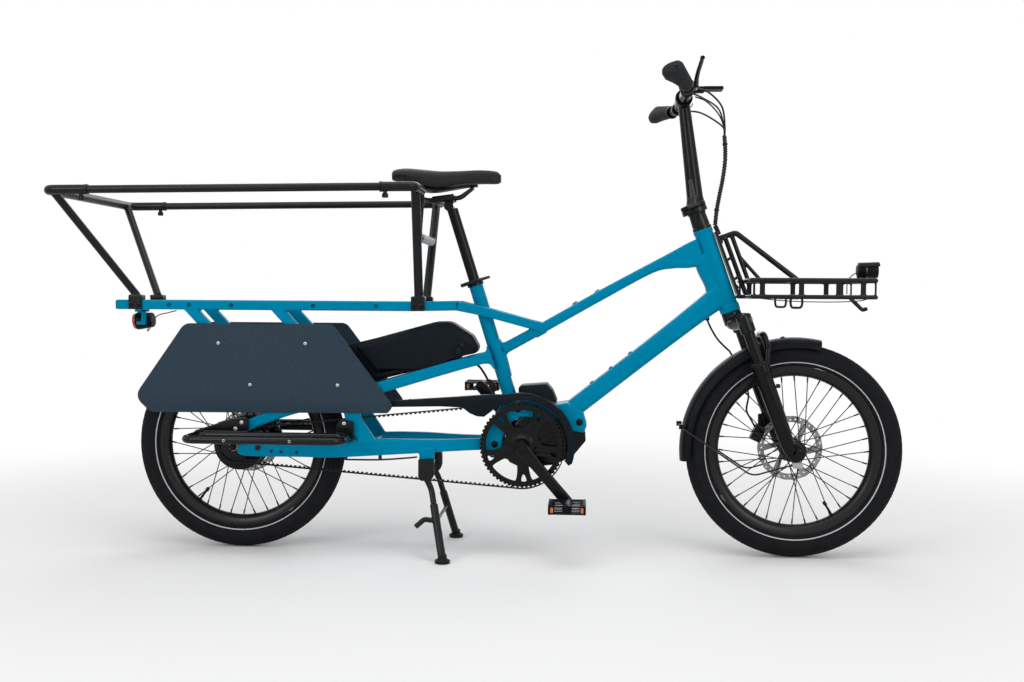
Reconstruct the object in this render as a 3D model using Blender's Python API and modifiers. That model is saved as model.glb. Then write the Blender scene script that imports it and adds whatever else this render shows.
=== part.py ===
# Long-tail electric cargo bike. Metres, +Z up, +X towards the front wheel, +Y to the rider's left.
# The origin is on the ground, half way between the rear rail and the front tyre.
# Lengths named x run forward from the rear axle, and lengths named z run up from the ground.
import bpy
import bmesh
from math import acos, atan2, cos, pi, radians, sin, sqrt
from mathutils import Matrix, Vector

# Wheels and overall layout
WHEEL_RADIUS = 0.260
WHEELBASE = 1.362
RAIL_OVERHANG = 0.3955
REAR_AXLE_X = -(WHEELBASE + WHEEL_RADIUS - RAIL_OVERHANG) / 2
AXLE_Z = WHEEL_RADIUS
TYRE_WIDTH = 0.057
BEAD_RADIUS = 0.2065
RIM_INNER_RADIUS = 0.178
SPOKES = 36
SPOKE_RADIUS = 0.0011
AXLE_RADIUS = 0.0058
ROTOR_RADIUS = 0.080
TYRE_STEPS = 36
GAP = 0.0003

# Steering
HEAD_X = 1.2065
HEAD_Z = 0.5965
HEAD_LEAN = radians(19.5)
HEAD_LENGTH = 0.211
HEAD_RADIUS = 0.0225
STEERER_RADIUS = 0.0143
LEG_AHEAD = 0.0165
LEG_SIDE = 0.065
STANCHION_RADIUS = 0.014
LEG_RADIUS = 0.0195
FORK_TRAVEL = 0.040

# Main tubes, all seen from the side
SEAT_TOP = (0.583, 0.661)
SEAT_LOW = (0.672, 0.378)
SEAT_TUBE_RADIUS = 0.0170
SEAT_POST_RADIUS = 0.0136
BEAM_HEIGHT = 0.0235
BEAM_WIDTH = 0.020
BEAM_SIDE = 0.068
BEAM_Z = 0.6045
BEAM_REAR_X = -0.292
BEAM_BEND_X = 0.543
STAY_SIDE = 0.072
STAY_WIDTH = 0.016

# Drive
CRANK_X = 0.703
CRANK_Z = 0.269
CRANK_LENGTH = 0.172
CRANK_ANGLE = radians(-49.3)
BELT_SIDE = -0.056
BELT_WIDTH = 0.011
BELT_THICKNESS = 0.0027
RING_RADIUS = 0.1025
COG_RADIUS = 0.0390
SPINDLE_RADIUS = 0.0100

# Rail cage
RAIL_SIDE = 0.243
RAIL_Z_REAR = 0.868
RAIL_Z_FRONT = 0.876
RAIL_RADIUS = 0.0093
SLEEVE_RADIUS = 0.0112
RAIL_FRONT_X = 0.468

# Stand
STAND_X = 0.468
STAND_Z = 0.199
STAND_SIDE = 0.075
FOOT_X = 0.522
FOOT_SIDE = 0.147

# Handlebar
HINGE_ALONG = 0.2655
LEVER_RING_X = 1.0836
LEVER_RING_Z = 1.1064
LEFT_LEVER_TURN = radians(60)
LEVER_PIVOT = (1.1015, 1.1220, 0.138)
LATCH_AHEAD = -0.006
POST_TOP_X = 1.0865
POST_TOP_Z = 1.108
BAR_HALF = 0.305

RIGHT = -1
LEFT = 1


def clear_scene():
    for item in list(bpy.data.objects):
        bpy.data.objects.remove(item, do_unlink=True)


def make_collection(name):
    collection = bpy.data.collections.new(name)
    bpy.context.scene.collection.children.link(collection)
    return collection


clear_scene()
PARTS = make_collection("cargo_bike")
CUTTERS = make_collection("cutters")


def material(name, color, roughness, metallic=0.0):
    made = bpy.data.materials.get(name) or bpy.data.materials.new(name)
    made.use_nodes = True
    shader = made.node_tree.nodes["Principled BSDF"]
    shader.inputs["Base Color"].default_value = (*color, 1.0)
    shader.inputs["Roughness"].default_value = roughness
    shader.inputs["Metallic"].default_value = metallic
    made.diffuse_color = (*color, 1.0)
    return made


TEAL = material("teal_paint", (0.0, 0.21, 0.38), 0.38)
BLACK_PAINT = material("black_paint", (0.018, 0.018, 0.020), 0.35)
BLACK_PLASTIC = material("black_plastic", (0.022, 0.023, 0.025), 0.5)
BLACK_METAL = material("black_anodised", (0.025, 0.025, 0.028), 0.32, 0.8)
STEEL = material("steel", (0.55, 0.54, 0.52), 0.3, 1.0)
TYRE_RUBBER = material("tyre_rubber", (0.02, 0.021, 0.023), 0.8)
RUBBER = material("soft_rubber", (0.025, 0.025, 0.027), 0.75)
BOARD = material("textured_board", (0.040, 0.057, 0.080), 0.65)
LEATHER = material("saddle_cover", (0.02, 0.02, 0.02), 0.55)
GREY_PAD = material("grey_pad", (0.42, 0.43, 0.45), 0.6)
RED_LENS = material("red_lens", (0.35, 0.0, 0.0), 0.15)


def at(x, z, y=0.0):
    """World point from a distance ahead of the rear axle, a height above ground and a side offset."""
    return Vector((x + REAR_AXLE_X, y, z))


def steer(along, ahead=0.0, side=0.0):
    """World point from a height along the steering axis and an offset ahead of it."""
    x = HEAD_X - along * sin(HEAD_LEAN) + ahead * cos(HEAD_LEAN)
    z = HEAD_Z + along * cos(HEAD_LEAN) + ahead * sin(HEAD_LEAN)
    return at(x, z, side)


STEER_UP = (steer(1) - steer(0)).normalized()
STEER_AHEAD = (steer(0, 1) - steer(0)).normalized()
SIDEWAYS = Vector((0, 1, 0))
REAR_AXLE = at(0, AXLE_Z)
FRONT_AXLE = at(WHEELBASE, AXLE_Z)
CRANK_AXIS = at(CRANK_X, CRANK_Z)
STAND_AXIS = at(STAND_X, STAND_Z)
POST_FOOT = steer(HINGE_ALONG + 0.0113, 0.005)
POST_TOP = at(POST_TOP_X, POST_TOP_Z)


def link(name, data, surface, location=(0, 0, 0)):
    made = bpy.data.objects.new(name, data)
    made.location = location
    PARTS.objects.link(made)
    if surface:
        data.materials.append(surface)
    return made


def smooth(piece, angle=40.0):
    piece.data.shade_smooth()
    piece.data.set_sharp_from_angle(angle=radians(angle))
    return piece


def mesh_object(name, mesh, surface, location=(0, 0, 0)):
    """Object from a bmesh whose faces are turned to point out."""
    bmesh.ops.recalc_face_normals(mesh, faces=mesh.faces)
    data = bpy.data.meshes.new(name)
    mesh.to_mesh(data)
    mesh.free()
    return smooth(link(name, data, surface, location))


def freeze(piece):
    """Turn a curve, or a mesh with modifiers, into one plain closed mesh object."""
    bpy.context.view_layer.update()
    graph = bpy.context.evaluated_depsgraph_get()
    data = bpy.data.meshes.new_from_object(piece.evaluated_get(graph))
    mesh = bmesh.new()
    mesh.from_mesh(data)
    bmesh.ops.remove_doubles(mesh, verts=mesh.verts, dist=0.00002)
    bmesh.ops.recalc_face_normals(mesh, faces=mesh.faces)
    mesh.to_mesh(data)
    mesh.free()
    name = piece.name
    place = piece.matrix_world.copy()
    old = piece.data
    bpy.data.objects.remove(piece, do_unlink=True)
    if isinstance(old, bpy.types.Curve):
        bpy.data.curves.remove(old)
    data.name = name
    frozen = bpy.data.objects.new(name, data)
    PARTS.objects.link(frozen)
    frozen.matrix_world = place
    return smooth(frozen)


def boolean(base, tool, operation):
    modifier = base.modifiers.new(operation.lower(), "BOOLEAN")
    modifier.operation = operation
    modifier.solver = "EXACT"
    modifier.object = tool


def unite(name, pieces):
    """Join overlapping solids into one closed body."""
    base = pieces[0]
    for piece in pieces[1:]:
        boolean(base, piece, "UNION")
    joined = freeze(base)
    for piece in pieces[1:]:
        bpy.data.objects.remove(piece, do_unlink=True)
    joined.name = name
    joined.data.name = name
    return joined


def cut(base, *tools):
    """Cut shapes out of a piece, and keep the cutters in their own collection."""
    for tool in tools:
        boolean(base, tool, "DIFFERENCE")
        tool.hide_render = True
        tool.display_type = "WIRE"
        PARTS.objects.unlink(tool)
        CUTTERS.objects.link(tool)
    return base


def rod(name, start, end, radius, surface, end_radius=None, sides=12):
    """Round bar or cone between two points."""
    start, end = Vector(start), Vector(end)
    run = end - start
    turn = run.to_track_quat("Z", "Y").to_matrix().to_4x4()
    mesh = bmesh.new()
    far_radius = radius if end_radius is None else end_radius
    bmesh.ops.create_cone(mesh, cap_ends=True, segments=sides, radius1=radius, radius2=far_radius,
                          depth=run.length)
    bmesh.ops.transform(mesh, matrix=turn, verts=mesh.verts)
    return mesh_object(name, mesh, surface, (start + end) / 2)


def cross_rod(name, centre, half, radius, surface, sides=12):
    """Round bar that lies across the bike."""
    return rod(name, centre - SIDEWAYS * half, centre + SIDEWAYS * half, radius, surface, sides=sides)


def block(name, low, high, surface, bevel=0.0):
    """Box between two corners, with rounded edges where a width is given."""
    low, high = Vector(low), Vector(high)
    mesh = bmesh.new()
    bmesh.ops.create_cube(mesh, size=1.0)
    size = high - low
    bmesh.ops.scale(mesh, vec=size, verts=mesh.verts)
    made = mesh_object(name, mesh, surface, (low + high) / 2)
    if bevel:
        round_edges(made, bevel)
    return made


def round_edges(piece, width, segments=2):
    modifier = piece.modifiers.new("rounded_edges", "BEVEL")
    modifier.width = width
    modifier.segments = segments
    modifier.limit_method = "ANGLE"
    modifier.angle_limit = radians(60)
    return piece


def bent(points, radius, steps=3):
    """Path through corner points with each inner corner turned into an arc."""
    points = [Vector(point) for point in points]
    path = [points[0]]
    for before, corner, after in zip(points, points[1:], points[2:]):
        into = (before - corner).normalized()
        away = (after - corner).normalized()
        half = acos(max(-1.0, min(1.0, into.dot(away)))) / 2
        reach = min(radius / max(0.05, abs(sin(half) / cos(half))), (before - corner).length * 0.48,
                    (after - corner).length * 0.48)
        for step in range(steps + 1):
            t = step / steps
            path.append(((1 - t) ** 2) * (corner + into * reach) + 2 * t * (1 - t) * corner
                        + (t ** 2) * (corner + away * reach))
    path.append(points[-1])
    return path


def flowing(points, count):
    """Evenly counted points on a smooth curve through the given points."""
    points = [Vector(point) for point in points]
    padded = [2 * points[0] - points[1]] + points + [2 * points[-1] - points[-2]]
    path = []
    spans = len(points) - 1
    for index in range(count):
        place = index * spans / (count - 1)
        span = min(int(place), spans - 1)
        t = place - span
        a, b, c, d = padded[span:span + 4]
        path.append(0.5 * ((2 * b) + (c - a) * t + (2 * a - 5 * b + 4 * c - d) * t * t
                           + (3 * b - a - 3 * c + d) * t ** 3))
    return path


def tube(name, path, radius, surface, roundness=2, cyclic=False):
    """Bent round tube along a path."""
    curve = bpy.data.curves.new(name, "CURVE")
    curve.dimensions = "3D"
    curve.bevel_depth = radius
    curve.bevel_resolution = roundness
    curve.use_fill_caps = True
    spline = curve.splines.new("POLY")
    spline.points.add(len(path) - 1)
    for point, place in zip(spline.points, path):
        point.co = (*place, 1.0)
    spline.use_cyclic_u = cyclic
    return link(name, curve, surface)


def solid_tube(name, path, radius, surface, roundness=2, cyclic=False):
    return freeze(tube(name, path, radius, surface, roundness, cyclic))


def plate(name, outlines, thickness, surface, y=0.0, origin=(0.0, 0.0)):
    """Flat plate seen from the side. Its outlines are in x and z, and all but the first are holes."""
    curve = bpy.data.curves.new(name, "CURVE")
    curve.dimensions = "2D"
    curve.fill_mode = "BOTH"
    curve.extrude = thickness / 2
    for outline in outlines:
        spline = curve.splines.new("POLY")
        spline.points.add(len(outline) - 1)
        for point, (x, z) in zip(spline.points, outline):
            point.co = (x - origin[0], z - origin[1], 0.0, 1.0)
        spline.use_cyclic_u = True
    made = link(name, curve, surface, at(origin[0], origin[1], y))
    made.rotation_euler = (pi / 2, 0, 0)
    return made


def solid_plate(name, outlines, thickness, surface, y=0.0, origin=(0.0, 0.0)):
    return freeze(plate(name, outlines, thickness, surface, y, origin))


def circle(x, z, radius, sides=20, start=0.0):
    turn = 2 * pi / sides
    return [(x + radius * cos(start + i * turn), z + radius * sin(start + i * turn)) for i in range(sides)]


def arc(x, z, radius, first, last, steps):
    """Points on an arc between two angles in degrees."""
    angles = [radians(first + (last - first) * i / steps) for i in range(steps + 1)]
    return [(x + radius * cos(a), z + radius * sin(a)) for a in angles]


def rounded(corners, steps=1):
    """Outline in x and z from corners, each with its own corner radius."""
    outline = []
    count = len(corners)
    for index, (x, z, radius) in enumerate(corners):
        before = Vector(corners[index - 1][:2])
        corner = Vector((x, z))
        after = Vector(corners[(index + 1) % count][:2])
        path = bent([before, corner, after], radius, steps)
        outline += [tuple(point) for point in path[1:-1]]
    return outline


def beam_ring(centre, along, width, height, corner, steps=3):
    """Rounded rectangle square to a direction, its width across the bike."""
    across = (SIDEWAYS - along * SIDEWAYS.dot(along)).normalized()
    rise = along.cross(across).normalized()
    if corner == 0:
        corners = ((0.5, 0.5), (-0.5, 0.5), (-0.5, -0.5), (0.5, -0.5))
        return [centre + across * (u * width) + rise * (v * height) for u, v in corners]
    ring = []
    for sign_u, sign_v, first in ((1, 1, 0), (-1, 1, 90), (-1, -1, 180), (1, -1, 270)):
        for step in range(steps):
            angle = radians(first + 90 * step / (steps - 1))
            u = sign_u * (width / 2 - corner) + corner * cos(angle)
            v = sign_v * (height / 2 - corner) + corner * sin(angle)
            ring.append(centre + across * u + rise * v)
    return ring


def loft(name, rings, surface):
    """Closed solid through rings of equal point counts."""
    mesh = bmesh.new()
    rows = [[mesh.verts.new(point) for point in ring] for ring in rings]
    count = len(rows[0])
    for row, following in zip(rows, rows[1:]):
        for i in range(count):
            mesh.faces.new((row[i], row[(i + 1) % count], following[(i + 1) % count], following[i]))
    mesh.faces.new(rows[0])
    mesh.faces.new(list(reversed(rows[-1])))
    return mesh_object(name, mesh, surface)


def beam(name, stations, surface, corner=0.006, steps=2, upright_end=False):
    """Box tube through stations of x, z, y, width and height. Its last end can be cut off upright."""
    centres = [at(x, z, y) for x, z, y, width, height in stations]
    rings = []
    last = len(stations) - 1
    for index, (x, z, y, width, height) in enumerate(stations):
        along = (centres[min(index + 1, last)] - centres[max(index - 1, 0)]).normalized()
        if upright_end and index == last:
            along = Vector((1 if along.x > 0 else -1, 0, 0))
        rings.append(beam_ring(centres[index], along, width, height, corner, steps))
    return loft(name, rings, surface)


def turned(name, profile, base, axis, surface, steps=24):
    """Solid turned about an axis, from a closed profile of radius and height."""
    data = bpy.data.meshes.new(name)
    edges = [(i, (i + 1) % len(profile)) for i in range(len(profile))]
    data.from_pydata([(r, 0, h) for r, h in profile], edges, [])
    made = link(name, data, surface, base)
    made.rotation_mode = "QUATERNION"
    made.rotation_quaternion = Vector(axis).to_track_quat("Z", "Y")
    screw = made.modifiers.new("turned", "SCREW")
    screw.steps = steps
    screw.render_steps = steps
    screw.use_merge_vertices = True
    screw.merge_threshold = 0.00001
    return freeze(made)


def pivot(name, place):
    empty = bpy.data.objects.new(name, None)
    empty.location = place
    empty.empty_display_size = 0.03
    PARTS.objects.link(empty)
    return empty


def hang(empty, *pieces):
    """Parent pieces to an empty on their joint axis, and leave them where they are."""
    bpy.context.view_layer.update()
    for piece in pieces:
        piece.parent = empty
        piece.matrix_parent_inverse = empty.matrix_world.inverted()


def on_line(first, second, share):
    return tuple(a + (b - a) * share for a, b in zip(first, second))


def head_column():
    tube_body = rod("head", steer(0), steer(HEAD_LENGTH), HEAD_RADIUS, TEAL, sides=20)
    lower_lip = rod("lip", steer(0), steer(0.018), HEAD_RADIUS + 0.0022, TEAL, sides=20)
    gusset = beam("gusset", [
        (1.176, 0.618, 0, 0.040, 0.052), (1.166, 0.660, 0, 0.036, 0.044),
        (1.150, 0.700, 0, 0.036, 0.050), (1.138, 0.735, 0, 0.038, 0.050)], TEAL, 0.010)
    return [tube_body, lower_lip, gusset]


def top_tube():
    return beam("top", [
        (1.132, 0.7410, 0, 0.040, 0.066), (1.100, 0.7300, 0, 0.040, 0.058), (1.060, 0.7185, 0, 0.040, 0.038),
        (1.010, 0.6990, 0, 0.040, 0.0245), (0.890, 0.6335, 0, 0.042, 0.0250),
        (0.763, 0.5610, 0, 0.044, 0.0250),
        (0.655, 0.5010, 0, 0.036, 0.0270)], TEAL, 0.008, 3)


def down_tube():
    return beam("down", [
        (1.190, 0.642, 0, 0.042, 0.060), (1.135, 0.600, 0, 0.048, 0.050), (1.012, 0.5025, 0, 0.052, 0.0445),
        (0.891, 0.407, 0, 0.054, 0.0440), (0.828, 0.3572, 0, 0.056, 0.0440)], TEAL, 0.012, 3)


def seat_tube():
    top = at(*SEAT_TOP)
    low = at(*SEAT_LOW)
    upper = rod("seat", top, low, SEAT_TUBE_RADIUS, TEAL, sides=16)
    joint = at(0.6440, 0.4780)
    down = (low - top).normalized()
    knuckle = rod("knuckle", joint - down * 0.030, joint + down * 0.026, SEAT_TUBE_RADIUS + 0.0022, TEAL,
                  sides=16)
    return [upper, knuckle]


def sloping_beams():
    made = []
    for side in (RIGHT, LEFT):
        made.append(beam("slope", [
            (0.7550, 0.5530, side * 0.012, 0.018, 0.026), (0.7150, 0.5640, side * 0.021, BEAM_WIDTH, 0.0225),
            (0.6100, 0.5920, side * 0.034, BEAM_WIDTH, 0.0225),
            (BEAM_BEND_X + GAP, 0.6068, side * 0.0545, BEAM_WIDTH, BEAM_HEIGHT)], TEAL, 0.003,
            upright_end=True))
    return made


def motor_cradle():
    outline = rounded([
        (0.6120, 0.2500, 0.004), (0.6120, 0.2930, 0.010), (0.6360, 0.3350, 0.010), (0.6520, 0.3740, 0.008),
        (0.7000, 0.3780, 0.010), (0.7900, 0.3690, 0.014), (0.8300, 0.3900, 0.006), (0.8530, 0.3520, 0.006),
        (0.8600, 0.3180, 0.006), (0.8530, 0.3000, 0.006), (0.8260, 0.3040, 0.006), (0.8060, 0.3330, 0.012),
        (0.7000, 0.3380, 0.020), (0.6680, 0.3180, 0.020), (0.6560, 0.2800, 0.020), (0.6520, 0.2380, 0.005),
        (0.6280, 0.2360, 0.006)])
    shell = solid_plate("cradle", [outline], 0.084, TEAL)
    return shell


def front_frame():
    pieces = head_column() + [top_tube(), down_tube()] + seat_tube() + sloping_beams() + [motor_cradle()]
    frame = unite("front_frame", pieces)
    steerer_bore = rod("steerer_bore", steer(-0.02), steer(HEAD_LENGTH + 0.02), STEERER_RADIUS + 0.0014, None,
                       sides=12)
    post_bore = rod("post_bore", at(*on_line(SEAT_TOP, SEAT_LOW, -0.08)),
                    at(*on_line(SEAT_TOP, SEAT_LOW, 0.62)),
                    SEAT_POST_RADIUS + 0.0004, None, sides=16)
    return cut(frame, steerer_bore, post_bore)


def deck_beam(side):
    return beam("beam", [
        (BEAM_REAR_X, BEAM_Z, side * BEAM_SIDE, BEAM_WIDTH, BEAM_HEIGHT),
        (0.440, BEAM_Z, side * BEAM_SIDE, BEAM_WIDTH, BEAM_HEIGHT),
        (BEAM_BEND_X - GAP, 0.6068, side * 0.0545, BEAM_WIDTH, BEAM_HEIGHT)], TEAL, 0.003, upright_end=True)


def panel_strut(x_top, length, side):
    lean = 0.93
    foot = (x_top + lean * length, BEAM_Z - length)
    return beam("strut", [
        (x_top, BEAM_Z, side * BEAM_SIDE, 0.020, 0.026),
        (foot[0], foot[1], side * BEAM_SIDE, 0.020, 0.026)], TEAL, 0.004)


CLAMP_XS = (-0.2425, 0.4520)
CLAMP_HALF = 0.017
CLAMP_SEAT_Z = BEAM_Z + BEAM_HEIGHT / 2 - 0.0004
FRONT_STRUT_X = 0.0995
REAR_STRUT_X = -0.116
FRONT_STRUT_LENGTH = 0.2300
REAR_STRUT_LENGTH = 0.2750


def deck_frame():
    pieces = []
    for side in (RIGHT, LEFT):
        pieces.append(deck_beam(side))
    for x in (-0.272, -0.010, 0.225, 0.420):
        low = at(x - 0.012, BEAM_Z - 0.008, -BEAM_SIDE)
        high = at(x + 0.012, BEAM_Z + 0.008, BEAM_SIDE)
        pieces.append(block("cross", low, high, TEAL))
    for side in (RIGHT, LEFT):
        pieces.append(panel_strut(REAR_STRUT_X, REAR_STRUT_LENGTH, side))
        pieces.append(panel_strut(FRONT_STRUT_X, FRONT_STRUT_LENGTH, side))
    deck = unite("deck_frame", pieces)
    drop = 0.0135 + GAP
    below = beam("strut_ends", [
        (0.0200, 0.3045 - drop, 0, 0.20, 0.056), (0.0500, 0.3185 - drop, 0, 0.20, 0.056),
        (0.1370, 0.3505 - drop, 0, 0.20, 0.056), (0.2200, 0.3720 - drop, 0, 0.20, 0.056),
        (0.3360, 0.4005 - drop, 0, 0.20, 0.056)], None, 0)
    seats = []
    for x in CLAMP_XS:
        seats.append(block("clamp_seat", at(x - CLAMP_HALF - GAP, CLAMP_SEAT_Z, -0.090),
                           at(x + CLAMP_HALF + GAP, 0.640, 0.090), None))
    return cut(deck, below, *seats)


def diagonal(side):
    return beam("diagonal", [
        (0.6255, 0.4835, side * 0.0215, 0.018, 0.0265), (0.560, 0.4665, side * 0.034, 0.018, 0.0270),
        (0.496, 0.4480, side * 0.046, 0.018, 0.0275), (0.336, 0.4005, side * 0.0655, 0.018, 0.0275),
        (0.220, 0.3720, side * 0.0690, 0.0165, 0.0270), (0.137, 0.3505, side * 0.0698, 0.0155, 0.0265),
        (0.050, 0.3185, side * 0.0702, 0.0150, 0.0260), (0.000, 0.2920, side * 0.0702, 0.0150, 0.0280)],
        TEAL, 0.004)


def chainstay(side):
    return beam("chainstay", [
        (0.012, 0.2550, side * STAY_SIDE, STAY_WIDTH, 0.0330),
        (0.240, 0.2535, side * STAY_SIDE, STAY_WIDTH, 0.0360),
        (0.345, 0.2625, side * STAY_SIDE, STAY_WIDTH, 0.0410),
        (0.450, 0.2665, side * STAY_SIDE, STAY_WIDTH, 0.0345),
        (0.530, 0.2675, side * 0.0530, STAY_WIDTH, 0.0295), (0.585, 0.2685, side * 0.0370, STAY_WIDTH,
                                                             0.0290),
        (0.612 - 2 * GAP, 0.2690, side * 0.0335, STAY_WIDTH, 0.0290)], TEAL, 0.004, upright_end=True)


def dropout(side):
    outline = rounded([
        (-0.034, 0.250, 0.010), (-0.030, 0.284, 0.012), (0.000, 0.306, 0.010), (0.040, 0.296, 0.010),
        (0.060, 0.262, 0.010), (0.036, 0.236, 0.008), (-0.016, 0.232, 0.010)])
    return solid_plate("dropout", [outline], 0.008, TEAL, side * STAY_SIDE)


def yoke(side):
    outline = rounded([
        (0.262, 0.376, 0.004), (0.296, 0.386, 0.004), (0.316, 0.330, 0.012), (0.352, 0.276, 0.004),
        (0.312, 0.270, 0.004), (0.276, 0.325, 0.012)])
    return solid_plate("yoke", [outline], 0.012, TEAL, side * STAY_SIDE)


def rear_stays():
    pieces = []
    for side in (RIGHT, LEFT):
        pieces += [chainstay(side), diagonal(side), dropout(side), yoke(side)]
        pieces.append(block("tab", at(0.456, 0.2354, side * 0.072 - 0.007),
                            at(0.492, 0.262, side * 0.072 + 0.007), TEAL))
    pieces.append(block("caliper_mount", at(0.0560, 0.2760, 0.0585), at(0.0760, 0.3170, 0.0660), TEAL))
    pieces.append(block("bridge_low", at(0.318, 0.252, -0.068), at(0.346, 0.276, 0.068), TEAL))
    pieces.append(block("bridge_high", at(0.372, 0.404, -0.062), at(0.396, 0.416, 0.062), TEAL))
    pieces += axle_bar(REAR_AXLE, 0.0950) + stay_cable()
    stays = unite("rear_stays", pieces)
    return cut(stays, rod("seat_clearance", at(*SEAT_TOP), at(*SEAT_LOW), SEAT_TUBE_RADIUS + 0.0026 + GAP,
                          None, sides=16))


def motor():
    outline = rounded([
        (0.6600, 0.2560, 0.012), (0.6680, 0.2900, 0.012), (0.6790, 0.3130, 0.012), (0.7050, 0.3300, 0.012),
        (0.8000, 0.3250, 0.010), (0.8200, 0.2960, 0.008), (0.8560, 0.2920, 0.006), (0.8580, 0.2800, 0.006),
        (0.8270, 0.2420, 0.010), (0.7800, 0.2200, 0.020), (0.7000, 0.2120, 0.020), (0.6700, 0.2260, 0.012)])
    bore = circle(CRANK_X, CRANK_Z, SPINDLE_RADIUS + 0.0006, 16)
    return solid_plate("motor_housing", [outline, bore], 0.078, BLACK_METAL)


def motor_cover():
    outline = rounded([
        (0.6935, 0.3790, 0.002), (0.6930, 0.4080, 0.004), (0.7000, 0.4130, 0.004), (0.7620, 0.4180, 0.006),
        (0.7760, 0.4020, 0.008), (0.7880, 0.3740, 0.003), (0.7600, 0.3736, 0.003)])
    return freeze(round_edges(solid_plate("motor_cover", [outline], 0.070, BLACK_PLASTIC), 0.003, 1))


def tyre(name, axle):
    half = TYRE_WIDTH / 2
    profile = [(BEAD_RADIUS, -0.0160), (0.2180, -0.0255), (0.2340, -half), (0.2520, -0.0190),
               (WHEEL_RADIUS, 0.0),
               (0.2520, 0.0190), (0.2340, half), (0.2180, 0.0255), (BEAD_RADIUS, 0.0160)]
    return turned(name, profile, axle, SIDEWAYS, TYRE_RUBBER, TYRE_STEPS)


def rim(name, axle):
    profile = [(RIM_INNER_RADIUS, 0.0), (RIM_INNER_RADIUS + 0.013, -0.0150), (BEAD_RADIUS - GAP, -0.0165),
               (BEAD_RADIUS - GAP, 0.0165), (RIM_INNER_RADIUS + 0.013, 0.0150)]
    return turned(name, profile, axle, SIDEWAYS, BLACK_PAINT, TYRE_STEPS)


def spokes(axle, flange_radius, flange_side, cross):
    """Two sets of crossed spokes from the hub flanges to just inside the rim."""
    made = []
    per_side = SPOKES // 2
    for side in (RIGHT, LEFT):
        for index in range(per_side):
            lean = cross if index % 2 else -cross
            flange = flange_side + (0.0016 if index % 2 else -0.0016)
            angle = 2 * pi * index / per_side + (pi / per_side if side == LEFT else 0.0)
            root = Vector((flange_radius * cos(angle + lean), side * flange,
                           flange_radius * sin(angle + lean)))
            reach = RIM_INNER_RADIUS * cos(pi / TYRE_STEPS) - 0.0012
            tip = Vector((reach * cos(angle), side * 0.0030, reach * sin(angle)))
            made.append(rod("spoke", axle + root, axle + tip, SPOKE_RADIUS, BLACK_METAL, sides=3))
    return made


def join_meshes(name, pieces):
    """Put several meshes in one object, so that one union takes them all."""
    mesh = bmesh.new()
    for piece in pieces:
        bpy.context.view_layer.update()
        part = piece.data.copy()
        part.transform(piece.matrix_world)
        mesh.from_mesh(part)
        bpy.data.meshes.remove(part)
        bpy.data.objects.remove(piece, do_unlink=True)
    return mesh_object(name, mesh, BLACK_METAL)


def hub(name, axle, profile, flange_radius, flange_side, cross):
    shell = turned("hub_shell", profile, axle, SIDEWAYS, BLACK_METAL, 16)
    bars = join_meshes("hub_spokes", spokes(axle, flange_radius, flange_side, cross))
    return unite(name, [shell, bars])


def front_hub():
    bore = 0.0062
    profile = [(bore, -0.0480), (0.0125, -0.0480), (0.0270, -0.0290), (0.0270, -0.0240), (0.0125, -0.0210),
               (0.0125, 0.0210), (0.0270, 0.0240), (0.0270, 0.0290), (0.0150, 0.0400), (bore, 0.0400)]
    return hub("front_hub", FRONT_AXLE, profile, 0.0245, 0.0265, 0.95)


def rear_hub():
    bore = 0.0062
    profile = [(bore, -0.0490), (0.0300, -0.0490), (0.0640, -0.0330), (0.0640, -0.0260), (0.0560, -0.0230),
               (0.0560, 0.0230), (0.0640, 0.0260), (0.0640, 0.0330), (0.0220, 0.0480), (bore, 0.0480)]
    return hub("rear_hub", REAR_AXLE, profile, 0.0590, 0.0290, 0.43)


def axle_bar(place, half):
    """Wheel axle with a nut on each end."""
    pieces = [cross_rod("axle", place, half, AXLE_RADIUS, STEEL, 12)]
    for side in (RIGHT, LEFT):
        pieces.append(cross_rod("axle_nut", place + SIDEWAYS * (side * (half - 0.0035)), 0.0035, 0.0100,
                                STEEL, 6))
    return pieces


def rotor(name, place, y):
    x = place.x - REAR_AXLE_X
    z = place.z
    windows = []
    arms = 6
    for index in range(arms):
        first = 360 / arms * index + 8
        last = first + 360 / arms - 16
        windows.append(arc(x, z, 0.0660, first, last, 3) + arc(x, z, 0.0260, last - 6, first + 6, 1))
    outlines = [circle(x, z, ROTOR_RADIUS, 30), circle(x, z, 0.0160, 12)] + windows
    return solid_plate(name, outlines, 0.0020, STEEL, y, (x, z))


def caliper(name, x, z, y, turn, outside):
    """Brake caliper: a block with a slot for the disc."""
    body = block(name, (-0.020, -0.008, -0.013), (0.020, outside, 0.013), BLACK_METAL)
    slot = block("slot", (-0.030, -0.0022, -0.030), (0.030, 0.0022, 0.0095), None)
    for piece in (body, slot):
        piece.data.transform(Matrix.Translation(piece.location))
        piece.location = at(x, z, y)
        piece.rotation_euler = (0, turn, 0)
    return freeze(round_edges(freeze_cut(body, slot), 0.002, 1))


def freeze_cut(base, tool):
    """Cut at once, where the cutter isn't kept."""
    boolean(base, tool, "DIFFERENCE")
    frozen = freeze(base)
    bpy.data.objects.remove(tool, do_unlink=True)
    return frozen


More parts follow.
